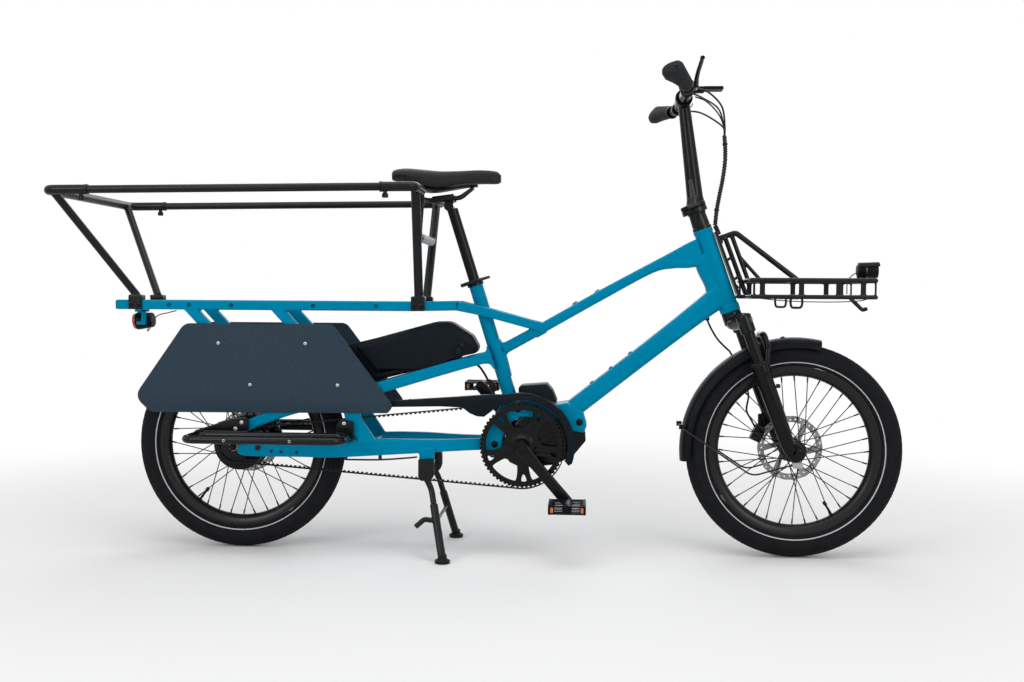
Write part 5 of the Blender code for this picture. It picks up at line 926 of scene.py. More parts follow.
def rear_stays():
    """Chainstays, diagonals, yokes and dropouts in one skin, with the axle's ends and the gear cable."""
    batch, plates = Batch(), Batch()
    for side in SIDES:
        box_tube(batch, [(0.6255, 0.4835, side * 0.0215, 0.018, 0.0265),
            (0.56, 0.4665, side * 0.034, 0.018, 0.027), (0.496, 0.448, side * 0.046, 0.018, 0.0275),
            (0.336, 0.4005, side * 0.0655, 0.018, 0.0275), (0.22, 0.372, side * 0.069, 0.0165, 0.027),
            (0.137, 0.3505, side * 0.0698, 0.0155, 0.0265), (0.05, 0.3185, side * 0.0702, 0.015, 0.026),
            (0.0, 0.292, side * 0.0702, 0.015, 0.028)], 0.0045)
        box_tube(batch, [(0.007, 0.2615, side * STAY_SIDE, 0.012, 0.01),
            (0.014, 0.258, side * STAY_SIDE, 0.0155, 0.019), (0.034, 0.252, side * STAY_SIDE, 0.016, 0.0308),
            (0.165, 0.252, side * STAY_SIDE, 0.016, 0.0318), (0.24, 0.2535, side * STAY_SIDE, 0.016, 0.036),
            (0.345, 0.2625, side * STAY_SIDE, 0.016, 0.041), (0.45, 0.2665, side * STAY_SIDE, 0.016, 0.0345),
            (0.53, 0.2675, side * 0.053, 0.016, 0.0295), (0.585, 0.2685, side * 0.037, 0.016, 0.029),
            (0.6114, 0.269, side * 0.0335, 0.016, 0.029)], 0.0045)
        plates.side_plate([rounded([(-0.034, 0.25, 0.01), (-0.03, 0.284, 0.012), (0.0, 0.306, 0.01),
            (0.04, 0.296, 0.01), (0.05, 0.262, 0.01), (0.03, 0.24, 0.008), (-0.016, 0.232, 0.01)], 6)], 0.008,
            side * STAY_SIDE, 0.0015)
        batch.side_plate([rounded([(0.262, 0.382, 0.004), (0.296, 0.39, 0.004), (0.316, 0.33, 0.012),
            (0.352, 0.276, 0.004), (0.312, 0.27, 0.004), (0.276, 0.325, 0.012)], 6)], 0.012, side * STAY_SIDE,
            0.0025)
        batch.block(at(0.456, 0.2356, side * STAY_SIDE - 0.007), at(0.492, 0.262, side * STAY_SIDE + 0.007),
            0.002)
        for lift, reach in ((0.0135, 0.013), (-0.014, 0.017)):
            way, up = Vector((-0.964, -0.266)), -SEAT_TUBE_WAY
            edge = Vector((0.6255, 0.4835)) + Vector((-0.266, 0.964)) * lift
            seat_edge = Vector(SEAT_TOP) - Vector((0.954, 0.3)) * 0.0175
            fillet(batch, crossing(seat_edge, up, edge, way), up if lift > 0 else -up, way, reach, 0.014,
                side * 0.024)
    batch.block(at(0.056, 0.276, 0.0585), at(0.076, 0.317, 0.066), 0.002)
    batch.block(at(0.318, 0.252, -0.068), at(0.346, 0.276, 0.068), 0.004)
    batch.block(at(0.372, 0.404, -0.062), at(0.396, 0.416, 0.062), 0.003)
    batch.skin(0.0017, 4, 0.45, "rear_stays_skin", TEAL, "frame", 60, "rear_stays", "teal_paint")
    plates.piece("dropout_plates", BLACK_PAINT, "frame")
    nuts, washers = Batch(), Batch()
    for out in (-SIDEWAYS, SIDEWAYS):
        nuts.rod(REAR_AXLE + out * 0.05, REAR_AXLE + out * 0.0948, 0.005)
        nuts.turned(REAR_AXLE + out * 0.0762, out, [(0.017, 0), (0.017, 0.002), (0.016, 0.0026)], 36)
        washers.turned(REAR_AXLE + out * 0.0786, out,
            [(0.0095, 0), (0.0112, 0.0004), (0.0108, 0.003), (0.0095, 0.0034)], 36, closed=True)
        nuts.nut(REAR_AXLE + out * 0.0786, out, 0.0102, 0.0085)
        nuts.turned(REAR_AXLE + out * 0.0868, out, [(0.0062, 0), (0.006, 0.004), (0.004, 0.0055)], 36)
    nuts.piece("rear_axle_nuts", BLACK_METAL, "frame")
    washers.piece("rear_axle_rings", BRONZE, "frame")
    fittings = Batch()
    fittings.bolt(at(0.0606, 0.2576, -0.0802), -SIDEWAYS, 0.0052, 0.0036, 0.0072)
    for x, z in ((0.094, 0.2495), (0.1182, 0.2486), (0.1572, 0.2478)):
        for side in SIDES:
            fittings.turned(at(x, z, side * 0.0798), SIDEWAYS * side,
                [(0.0042, -0.001), (0.0042, 0.001), (0.0036, 0.0014), (0.0022, 0.0012)], 24)
    path = flowing([at(0.04, 0.238, -0.07), at(0.12, 0.231, -0.072), at(0.27, 0.231, -0.072),
        at(0.36, 0.232, -0.072), at(0.43, 0.2375, -0.072), at(0.45, 0.24, -0.072)], 40)
    fittings.tube([p for p in path if p.x > REAR_AXLE_X + 0.269], 0.0022, 12)
    for x in (0.276, 0.36):
        fittings.block(at(x - 0.004, 0.23, -0.0752), at(x + 0.004, 0.248, -0.0688), 0.0012)
    fittings.piece("stay_cable_and_inserts", CABLE, "frame")


# Motor, battery and drive

def motor():
    """Motor casting with its bolts, the cover on top and the boot of the battery's lead."""
    outline = rounded([(0.66, 0.256, 0.012), (0.668, 0.29, 0.012), (0.679, 0.318, 0.012),
        (0.705, 0.342, 0.012), (0.8, 0.342, 0.01), (0.824, 0.308, 0.008), (0.856, 0.306, 0.006),
        (0.858, 0.28, 0.006), (0.827, 0.242, 0.01), (0.78, 0.22, 0.02), (0.7, 0.212, 0.02),
        (0.67, 0.226, 0.012)], 8)
    batch = Batch()
    batch.side_plate([outline], 0.078, 0.0, 0.005)
    batch.turned(CRANK_AXIS - SIDEWAYS * 0.04, SIDEWAYS, [(0.046, 0), (0.046, 0.08)], 64)
    rim_points = [(CRANK_X + 0.047 * cos(radians(angle)), CRANK_Z + 0.047 * sin(radians(angle)))
        for angle in range(20, 360, 40)]
    for x, z in rim_points:
        batch.turned(at(x, z, -0.0398), SIDEWAYS, [(0.0065, 0), (0.0065, 0.0796)], 24)
    batch.turned(at(0.785, 0.27, -0.0395), SIDEWAYS, [(0.027, 0), (0.027, 0.079)], 48)
    batch.skin(0.0015, 3, 0.5, "motor_casting", BLACK_METAL, "frame", 45, "motor_housing", "black_anodised")
    bolts = Batch()
    for side in SIDES:
        for x, z in rim_points:
            bolts.bolt(at(x, z, side * 0.0397), SIDEWAYS * side, 0.003, 0.0018)
        bolts.turned(CRANK_AXIS + SIDEWAYS * (side * 0.0395), SIDEWAYS * side,
            [(0.024, 0), (0.024, 0.003), (0.0215, 0.005), (0.015, 0.0055), (0.012, 0.004)], 48)
        bolts.turned(at(0.785, 0.27, side * 0.0395), SIDEWAYS * side,
            [(0.02, 0), (0.019, 0.002), (0.012, 0.0026)], 48)
    bolts.piece("motor_bolts", BLACK_METAL, "frame")
    cover = rounded([(0.6935, 0.379, 0.002), (0.693, 0.408, 0.004), (0.7, 0.413, 0.004),
        (0.762, 0.418, 0.006), (0.776, 0.402, 0.008), (0.788, 0.374, 0.003), (0.76, 0.3736, 0.003)], 6)
    shell = Batch()
    shell.side_plate([cover], 0.07, 0.0, 0.0035)
    for x in (0.712, 0.726, 0.74):
        for side in SIDES:
            shell.block(at(x - 0.0022, 0.386, side * 0.0352 - 0.0008),
                at(x + 0.0022, 0.406, side * 0.0352 + 0.0008), 0.0006)
    shell.piece("motor_top_cover", GRAINED_PLASTIC, "frame", node="motor_cover", slot="black_plastic")
    boot = Batch()
    boot.tube(flowing([at(0.633, 0.395), at(0.626, 0.41), at(0.617, 0.424)], 10),
        [0.0062, 0.007, 0.0078, 0.008, 0.008, 0.0078, 0.007, 0.006, 0.005, 0.0042], 24)
    boot.piece("battery_lead_boot", RUBBER, "frame")


def battery():
    """Battery in its holder, with its trim, lock, button, rail and lead."""
    outline = [(0.343, 0.435, 0.018), (0.285, 0.506, 0.02), (0.302, 0.515, 0.02), (0.49, 0.5672, 0.05),
        (0.526, 0.568, 0.036), (0.58, 0.534, 0.026), (0.5952, 0.506, 0.02), (0.588, 0.4905, 0.014),
        (0.475, 0.466, 0.014)]
    shell = Batch()
    holder = rounded([(0.25, 0.409, 0.01), (0.243, 0.495, 0.014), (0.268, 0.5078, 0.014), (0.44, 0.55, 0.02),
        (0.52, 0.53, 0.02), (0.57, 0.5, 0.016), (0.586, 0.4925, 0.006), (0.475, 0.4662, 0.01)], 6)
    shell.side_plate([holder], 0.072, 0.0, 0.003)
    rings = []
    for y, inset in ((-0.043, 0.015), (-0.0424, 0.0125), (-0.0395, 0.0075), (-0.035, 0.0028), (-0.03, 0.0004),
            (-0.026, 0.0), (0.026, 0.0), (0.03, 0.0004), (0.035, 0.0028), (0.0395, 0.0075), (0.0424, 0.0125),
            (0.043, 0.015)):
        corners = []
        for index, (x, z, radius) in enumerate(outline):
            before = (Vector(outline[index - 1][:2]) - Vector((x, z))).normalized()
            after = (Vector(outline[(index + 1) % len(outline)][:2]) - Vector((x, z))).normalized()
            half = before + after
            spread = max(0.3, sqrt(max(0.0, (1 - before.dot(after)) / 2)))
            move = half.normalized() * (inset / spread)
            corners.append((x + move.x, z + move.y, max(0.004, radius - inset * 0.6)))
        rings.append([at(x, z, y) for x, z in rounded(corners, 8)])
    shell.rings(rings)
    shell.piece("battery_shell", GRAINED_PLASTIC, "frame", 40, "battery", "black_plastic")
    trim = Batch()
    recess = rounded([(0.529, 0.476, 0.004), (0.539, 0.508, 0.012), (0.56, 0.518, 0.012),
        (0.583, 0.511, 0.012), (0.586, 0.492, 0.006)], 8)
    inset = [on_line((0.56, 0.498), p, 0.94) for p in recess]
    trim.side_plate([recess, inset], 0.003, -0.0428, 0.0006)
    for y in (-0.036, 0.036):
        trim.side_plate([rounded([(0.3, 0.426, 0.003), (0.304, 0.416, 0.003), (0.55, 0.479, 0.003),
            (0.546, 0.485, 0.003)], 4)], 0.004, y, 0.0008)
    trim.piece("battery_trim", SATIN_PLASTIC, "frame")
    Batch().side_plate([inset], 0.001, -0.0426).piece("battery_panel", SATIN_PLASTIC, "frame")
    lock = Batch()
    lock.turned(at(0.5455, 0.496, -0.0426), -SIDEWAYS,
        [(0.007, 0), (0.007, 0.002), (0.006, 0.0028), (0.004, 0.0026), (0.0036, 0.0008)], 40)
    lock.block(at(0.5446, 0.4922, -0.0442), at(0.5464, 0.4998, -0.0434), 0.0003)
    lock.piece("battery_lock", GLOSS_PAINT, "frame")
    button = Batch().turned(at(0.556, 0.512, -0.04), -SIDEWAYS,
        [(0.0061, 0), (0.0061, 0.0036), (0.0055, 0.0044), (0.003, 0.0041), (0.0005, 0.004)], 40)
    button.piece("battery_button_cap", RUBBER, "power_button", node="power_button", slot="black_anodised")
    rail = Batch()
    box_tube(rail, [(0.262, 0.402, 0, 0.046, 0.009), (0.336, 0.424, 0, 0.046, 0.009),
        (0.475, 0.4595, 0, 0.046, 0.009), (0.55, 0.4758, 0, 0.044, 0.009)], 0.0025)
    path = flowing([at(0.545, 0.4735), at(0.57, 0.4705), at(0.592, 0.458), at(0.606, 0.44), at(0.618, 0.418),
        at(0.63, 0.393), at(0.633, 0.375)], 36)
    rail.tube(path, 0.0028, 14)
    rail.piece("battery_rail_and_lead", SATIN_PLASTIC, "frame", node="battery_rail", slot="black_plastic")


def belt_loop(extra):
    """Arcs round the chainring and the rear sprocket, a little outside their own radii."""
    big, small = RING_RADIUS + extra, COG_RADIUS + extra
    slope = atan2(CRANK_Z - AXLE_Z, CRANK_X)
    spread = acos((big - small) / sqrt(CRANK_X ** 2 + (CRANK_Z - AXLE_Z) ** 2)) * 180 / pi
    tilt = slope * 180 / pi
    front = arc(CRANK_X, CRANK_Z, big, tilt - 180 + spread, tilt + 180 - spread, 90)
    rear = arc(0.0, AXLE_Z, small, tilt + 180 - spread, tilt + 180 + spread, 36)
    return front, rear


def belt():
    """Toothed belt: a closed band whose teeth point in along its straight runs."""
    outer = belt_loop(0.003)
    inner = belt_loop(0.0006)
    batch = Batch().side_plate([outer[0] + outer[1], inner[0] + inner[1]], 0.0108, BELT_SIDE, 0.0004)
    for start, end in ((inner[0][-1], inner[1][0]), (inner[1][-1], inner[0][0])):
        a, b = Vector((start[0], start[1], 0)), Vector((end[0], end[1], 0))
        count = int((b - a).length / 0.011)
        along = (b - a).normalized()
        centre = Vector((CRANK_X * 0.4, AXLE_Z, 0))
        inward = Vector((-along.y, along.x, 0))
        if inward.dot(centre - a) < 0:
            inward = -inward
        for i in range(2, count - 1):
            place = a.lerp(b, (i + 0.5) / count)
            corners = [place - along * 0.003 - inward * 0.0006, place + along * 0.003 - inward * 0.0006,
                place + along * 0.0019 + inward * 0.003, place - along * 0.0019 + inward * 0.003]
            batch.side_plate([[(c.x, c.y) for c in corners]], 0.0104, BELT_SIDE, 0.0003)
    batch.piece("toothed_belt", RUBBER, "frame", node="belt", slot="soft_rubber")


def softened(points, passes):
    """Round the corners of a closed outline."""
    for _ in range(passes):
        points = [on_line(a, b, share) for a, b in zip(points, points[1:] + points[:1])
            for share in (0.25, 0.75)]
    return points


def toothed(x, z, radius, depth, teeth):
    """Outline of a toothed wheel."""
    points = []
    for i in range(teeth):
        for share, cut in ((0.0, 1.0), (0.3, 1.0), (0.42, 0.0), (0.88, 0.0)):
            angle = 2 * pi * (i + share) / teeth
            r = radius - depth * cut
            points.append((x + r * cos(angle), z + r * sin(angle)))
    return points


def chainring():
    """Toothed ring with arms and windows, on the right crank."""
    windows = []
    for index in range(5):
        middle = 72 * index + 22
        windows.append(softened(arc(CRANK_X, CRANK_Z, 0.0872, middle - 24, middle + 24, 7)
            + arc(CRANK_X, CRANK_Z, 0.045, middle + 20, middle - 20, 3), 3))
        fork = 72 * index - 14
        windows.append(softened(arc(CRANK_X, CRANK_Z, 0.0875, fork - 5.0, fork + 5.0, 2)
            + arc(CRANK_X, CRANK_Z, 0.07, fork + 2.0, fork - 2.0, 1), 3))
    batch = Batch().side_plate([toothed(CRANK_X, CRANK_Z, 0.1022, 0.003, 58),
        circle(CRANK_X, CRANK_Z, 0.0104, 32)] + windows, 0.006, BELT_SIDE, 0.0006)
    for y in (-0.0035, 0.0035):
        batch.side_plate([circle(CRANK_X, CRANK_Z, 0.0985, 96), circle(CRANK_X, CRANK_Z, 0.0885, 96)], 0.0018,
            BELT_SIDE + y, 0.0004)
    batch.turned(CRANK_AXIS + SIDEWAYS * (BELT_SIDE - 0.01), SIDEWAYS,
        [(0.0104, 0), (0.02, 0), (0.021, 0.001), (0.03, 0.006), (0.03, 0.014), (0.0104, 0.0142)], 64,
        closed=True)
    batch.piece("belt_ring", BLACK_METAL, "crank", 32, "chainring", "black_anodised")
    bolts = Batch()
    for index in range(5):
        angle = radians(72 * index - 14)
        place = at(CRANK_X + 0.061 * cos(angle), CRANK_Z + 0.061 * sin(angle), BELT_SIDE - 0.003)
        bolts.bolt(place, -SIDEWAYS, 0.0042, 0.0016)
    bolts.piece("belt_ring_bolts", BLACK_METAL, "crank")


def cog():
    """Rear sprocket with a flange on both sides."""
    outline = toothed(0.0, AXLE_Z, COG_RADIUS - 0.0002, 0.0026, 22)
    batch = Batch().side_plate([outline, circle(0, AXLE_Z, 0.0142, 32)], 0.006, BELT_SIDE, 0.0004)
    for y in (-0.0038, 0.0038):
        batch.side_plate([circle(0, AXLE_Z, 0.036, 64), circle(0, AXLE_Z, 0.0142, 32)], 0.0014, BELT_SIDE + y,
            0.0003)
    batch.piece("belt_cog", BLACK_METAL, "rear_sprocket", node="rear_sprocket", slot="steel")


def belt_guard():
    """Cover over the belt: an arm, a hood round the chainring and a lip."""
    arm_top = [(0.3865, 0.3745), (0.46, 0.38), (0.542, 0.386), (0.62, 0.3925)]
    over = arc(CRANK_X, CRANK_Z, 0.1288, 106, -18, 48)
    tip = [(0.817, 0.223), (0.806, 0.236)]
    under = arc(CRANK_X, CRANK_Z, 0.1112, -16, 132, 48)
    lobe = [(0.612, 0.339), (0.595, 0.34), (0.576, 0.348), (0.56, 0.361), (0.505, 0.363), (0.3865, 0.36)]
    batch = Batch().side_plate([arm_top + over + tip + under + lobe], 0.003, -0.068, 0.0012)
    lip = [arm_top + arc(CRANK_X, CRANK_Z, 0.1288, 106, -12, 48) + arc(CRANK_X, CRANK_Z, 0.125, -12, 106, 48)
        + [(x, z - 0.0042) for x, z in reversed(arm_top)]]
    batch.side_plate(lip, 0.0228, -0.0566, 0.0008)
    for x in (0.43, 0.52):
        batch.side_plate([[(x - 0.0008, 0.364), (x + 0.0008, 0.364), (x + 0.0008, 0.379),
            (x - 0.0008, 0.379)]], 0.02, -0.057, 0.0003)
    batch.piece("belt_cover", GRAINED_PLASTIC, "frame", node="belt_guard", slot="black_plastic")


def pedal_point(side):
    turn = CRANK_ANGLE if side == RIGHT else CRANK_ANGLE + pi
    return at(CRANK_X + CRANK_LENGTH * cos(turn), CRANK_Z + CRANK_LENGTH * sin(turn))


def crank_arm(name, side, body):
    """Forged arm, its boss and the steel parts in it."""
    axle_way, pedal_place = SIDEWAYS * side, pedal_point(side)
    hub_end = CRANK_AXIS + axle_way * 0.0865
    far = pedal_place + axle_way * 0.0875
    direction = (far - hub_end).normalized()
    stations = [(-0.088, 0.012, 0.008), (-0.075, 0.021, 0.0105), (-0.04, 0.0305, 0.013), (0.08, 0.034, 0.014),
        (0.35, 0.028, 0.012), (0.7, 0.0275, 0.012), (0.92, 0.028, 0.012), (1.04, 0.026, 0.011),
        (1.075, 0.015, 0.009)]
    rows = flowing([Vector(s) for s in stations], 60)
    rings = [box_ring(hub_end.lerp(far, s), direction, t, w, t * 0.42, 6) for s, w, t in rows]
    batch = Batch().rings(rings)
    batch.turned(CRANK_AXIS + axle_way * 0.0782, axle_way,
        [(0.015, 0), (0.0155, 0.001), (0.0155, 0.0155), (0.0145, 0.0168), (0.011, 0.0168), (0.01, 0.012),
        (0.0005, 0.012)], 48)
    batch.turned(pedal_place + axle_way * 0.093, axle_way, [(0.0085, 0), (0.0085, 0.0012), (0.007, 0.002)],
        32)
    batch.piece(name + "_forging", BLACK_METAL, body, 40, name, "black_anodised")
    steel = Batch()
    steel.rod(pedal_place + axle_way * 0.084, pedal_place + axle_way * 0.1895, 0.0049)
    steel.nut(pedal_place + axle_way * 0.095, axle_way, 0.0085, 0.0045)
    steel.bolt(CRANK_AXIS + axle_way * 0.09, axle_way, 0.0085, 0.003)
    if side == LEFT:
        steel.rod(CRANK_AXIS - SIDEWAYS * 0.0777, CRANK_AXIS + SIDEWAYS * 0.08, 0.0098, steps=32)
    steel.piece(name + "_axle", STEEL, body)


def pedal(name, side):
    """Platform pedal: ribbed cage, rubber treads and amber reflectors."""
    centre = pedal_point(side) + SIDEWAYS * (side * 0.147)
    cage = Batch()

    def bar(low, high, bevel):
        cage.block(centre + Vector(low), centre + Vector(high), bevel)

    for x in (-1, 1):
        bar((x * 0.0365, -0.0455, -0.0112), (x * 0.0438, 0.0455, 0.0112), 0.0022)
    for y in (-1, 1):
        for z in (-0.0084, 0.0084):
            bar((-0.04, y * 0.0395, z - 0.002), (0.04, y * 0.0458, z + 0.002), 0.0012)
        bar((-0.005, y * 0.0395, -0.01), (0.005, y * 0.0458, 0.01), 0.0012)
        for x in (-0.035, 0.035):
            bar((x - 0.006, y * 0.0395, -0.01), (x + 0.006, y * 0.0436, 0.01), 0.0012)
    cage.turned(centre - SIDEWAYS * 0.044, SIDEWAYS,
        [(0.0058, 0), (0.0098, 0), (0.0112, 0.003), (0.0112, 0.085), (0.0098, 0.088), (0.0058, 0.088)], 32,
        closed=True)
    for y in (-0.02, 0.0, 0.02):
        for z in (-0.0088, 0.0088):
            bar((-0.04, y - 0.0022, z - 0.0014), (0.04, y + 0.0022, z + 0.0014), 0.0008)
    for x in (-0.0402, 0.0402):
        for i in range(9):
            y = -0.038 + i * 0.0095
            for z in (-1, 1):
                bar((x - 0.003, y - 0.0018, z * 0.0104), (x + 0.003, y + 0.0018, z * 0.0115), 0.0004)
    cage.piece(name + "_cage", SATIN_PLASTIC, name, node=name, slot="black_plastic")
    glass = Batch()
    for x in (-1, 1):
        glass.block(centre + Vector((x * 0.0432, -0.02, -0.006)), centre + Vector((x * 0.044, 0.02, 0.006)),
            0.0003)
    for x in (-0.036, 0.036):
        for y in (-1, 1):
            glass.block(centre + Vector((x - 0.0044, y * 0.043, -0.0062)),
                centre + Vector((x + 0.0044, y * 0.0452, 0.0062)), 0.0008)
    glass.piece(name + "_reflectors", AMBER, name)


def drive():
    belt()
    chainring()
    cog()
    belt_guard()
    crank_arm("crank_arm_right", RIGHT, "crank")
    crank_arm("crank_arm_left", LEFT, "crank")
    pedal("pedal_right", RIGHT)
    pedal("pedal_left", LEFT)


# Boards, footrests, rails and stand

def side_panel(name, side):
    """Flat board beside the rear wheel on four bolts."""
    outline = rounded([(-0.12, 0.56, 0.03), (0.245, 0.56, 0.026), (0.393, 0.364, 0.012), (0.38, 0.346, 0.012),
        (-0.205, 0.342, 0.035), (-0.246, 0.38, 0.035)], 12)
    y = side * (BEAM_SIDE + 0.0123)
    Batch().side_plate([outline], 0.004, y, 0.0008).piece(name + "_board", BOARD, "frame", node=name,
        slot="textured_board")
    bolts = Batch()
    for x, z in ((-0.0361, 0.5121), (0.1785, 0.5128), (0.0422, 0.4114), (0.2575, 0.4126)):
        bolts.bolt(at(x, z, y + side * 0.0019), SIDEWAYS * side, 0.0046, 0.0024)
        bolts.turned(at(x, z, y - side * 0.006), SIDEWAYS * side, [(0.007, 0), (0.007, 0.0042)], 24)
    bolts.piece(name + "_bolts", STEEL, "frame")


def flat_loop(left, right, low, high, corner, z, steps, side=1):
    """Level rounded rectangle given by the centres of its corners."""
    loop = []
    for x, y, first in ((left, low, 180), (right, low, 270), (right, high, 0), (left, high, 90)):
        for step in range(steps + 1):
            angle = radians(first + 90 * step / steps)
            loop.append(at(x + corner * cos(angle), z, side * (y + corner * sin(angle))))
    return loop


def footrest(name, side):
    """Tube loop beside the rear wheel with its two brackets."""
    z = 0.2895
    batch = Batch().tube(flat_loop(-0.06, 0.262, 0.126, 0.164, 0.026, z, 12, side), 0.0094, 24, closed=True)
    y = side * (0.0803 + 0.0055)
    for corners in ([(-0.094, 0.287, 0.004), (-0.094, 0.299, 0.006), (0.0, 0.329, 0.01),
            (0.038, 0.334, 0.006), (0.04, 0.289, 0.006), (0.0, 0.283, 0.006)],
            [(0.256, 0.278, 0.006), (0.256, 0.318, 0.012), (0.272, 0.332, 0.006), (0.298, 0.326, 0.006),
            (0.298, 0.278, 0.006)]):
        batch.side_plate([rounded(corners, 5)], 0.011, y, 0.0012)
    batch.skin(0.0013, 3, 0.5, name + "_loop", GLOSS_PAINT, "frame", 50, name, "black_paint")
    bolts = Batch()
    for x, height in ((0.024, 0.3203), (0.0091, 0.3047), (0.2754, 0.3206), (0.2764, 0.2853)):
        bolts.bolt(at(x, height, side * 0.0912), SIDEWAYS * side, 0.0052, 0.003)
    for x in (0.0144, 0.1698):
        bolts.turned(at(x, z, side * 0.1985), SIDEWAYS * side,
            [(0.0034, 0), (0.0034, 0.0009), (0.0024, 0.0011), (0.0018, 0.0004)], 20)
    bolts.piece(name + "_bolts", STEEL, "frame")


def rail_z(x):
    """Height of the rail cage, which rises a little toward the front."""
    return 0.868 + 0.008 * (x + RAIL_OVERHANG) / (RAIL_FRONT_X + RAIL_OVERHANG)


def rail_clamp(batch, x, side):
    """Clamp that holds a rail support on its deck beam."""
    outer = side * (BEAM_SIDE + 0.0145)
    batch.block(at(x - 0.017, CLAMP_SEAT_Z + 0.0003, side * (BEAM_SIDE - 0.0125)),
        at(x + 0.017, 0.6285, outer), 0.0022)
    batch.block(at(x - 0.017, 0.593, side * (BEAM_SIDE + 0.0103)), at(x + 0.017, 0.627, outer), 0.0014)


def knob(batch, x, side):
    """Knurled clamp screw under a sleeve's end."""
    low = rail_z(x) - 0.0112
    place = at(x, low, side * RAIL_SIDE)
    batch.rod(place + UP * 0.002, place - UP * 0.005, 0.0048)
    ring = []
    for h, r in ((-0.0045, 0.006), (-0.0052, 0.0068), (-0.013, 0.0068), (-0.0139, 0.0058)):
        ring.append([place + Vector((r * (1 + 0.07 * cos(12 * a)) * cos(a),
            r * (1 + 0.07 * cos(12 * a)) * sin(a), h)) for a in (2 * pi * i / 72 for i in range(72))])
    batch.rings(ring)


def sleeve_ring(batch, x, height_x, side):
    """Collar at the end of a sleeve that the long rail slides in."""
    batch.turned(at(x, rail_z(height_x), side * RAIL_SIDE), FORWARD,
        [(0.0093, 0), (0.0117, 0), (0.0119, 0.001), (0.0119, 0.006), (0.0113, 0.0072), (0.0093, 0.0074)], 40,
        closed=True)


def clamp_bolts(batch, places, z, side):
    for x in places:
        batch.bolt(at(x, z, side * (BEAM_SIDE + 0.0142)), SIDEWAYS * side, 0.0042, 0.0026, 0.0058)


def rear_hoop():
    """Rear half of the rail cage with its supports, and the long rails."""
    z = rail_z(-0.385)
    back = -RAIL_OVERHANG + 0.0112
    path = bent([at(-0.292, rail_z(-0.292), -RAIL_SIDE), at(back, z, -RAIL_SIDE), at(back, z, RAIL_SIDE),
        at(-0.292, rail_z(-0.292), RAIL_SIDE)], 0.022, 14)
    batch = Batch().tube(path, 0.0111, 28)
    for side in SIDES:
        batch.rod(at(-0.382, z - 0.001, side * 0.212), at(-0.242, 0.6262, side * 0.068), 0.0094, steps=28)
        rail_clamp(batch, -0.2425, side)
    batch.skin(0.0015, 3, 0.5, "rear_hoop", BLACK_PAINT, "frame", 50, "rear_rail_hoop", "black_paint")
    rails = Batch()
    for side in SIDES:
        rails.rod(*[at(x, rail_z(x), side * RAIL_SIDE) for x in (-0.312, 0.439)], 0.0092, steps=32)
        sleeve_ring(rails, -0.2925, -0.292, side)
    rails.piece("long_rails", BLACK_PAINT, "frame")
    bolts = Batch()
    for side in SIDES:
        knob(bolts, -0.301, side)
        clamp_bolts(bolts, (-0.252, -0.233), 0.6045, side)
    bolts.piece("rear_hoop_bolts", BLACK_METAL, "frame")


def front_hoop():
    """Front half of the rail cage with its supports and the padded backrest."""
    z = rail_z(RAIL_FRONT_X)
    batch = Batch()
    for side in SIDES:
        path = bent([at(0.389, rail_z(0.389), side * RAIL_SIDE), at(RAIL_FRONT_X, z, side * RAIL_SIDE),
            at(RAIL_FRONT_X, z, side * 0.136)], 0.022, 14)
        batch.tube(path, 0.0111, 28)
        batch.rod(at(RAIL_FRONT_X - 0.006, z, side * 0.19), at(0.453, 0.624, side * 0.069), 0.0108, steps=28)
        rail_clamp(batch, 0.452, side)
    drop = bent([at(RAIL_FRONT_X, z, -0.138), at(RAIL_FRONT_X, z - 0.02, -0.132), at(0.461, 0.768, -0.128),
        at(0.461, 0.768, 0.128), at(RAIL_FRONT_X, z - 0.02, 0.132), at(RAIL_FRONT_X, z, 0.138)], 0.03, 14)
    batch.tube(drop, 0.007, 20)
    batch.skin(0.0015, 3, 0.5, "front_hoop", BLACK_PAINT, "frame", 50, "front_rail_hoop", "black_paint")
    pad = Batch().turned(at(0.461, 0.768, -0.09), SIDEWAYS,
        [(0.0071, 0), (0.0092, 0.0004), (0.0105, 0.003), (0.0108, 0.02), (0.0105, 0.06), (0.0108, 0.12),
        (0.0105, 0.177), (0.0092, 0.1796), (0.0071, 0.18)], 40, closed=True)
    shown_pad = pad.piece("hoop_pad", GREY_PAD, "frame")
    bolts = Batch()
    for side in SIDES:
        knob(bolts, 0.401, side)
        sleeve_ring(bolts, 0.3885, 0.389, side)
        clamp_bolts(bolts, (0.443, 0.461), 0.605, side)
    bolts.piece("front_hoop_bolts", BLACK_METAL, "frame")


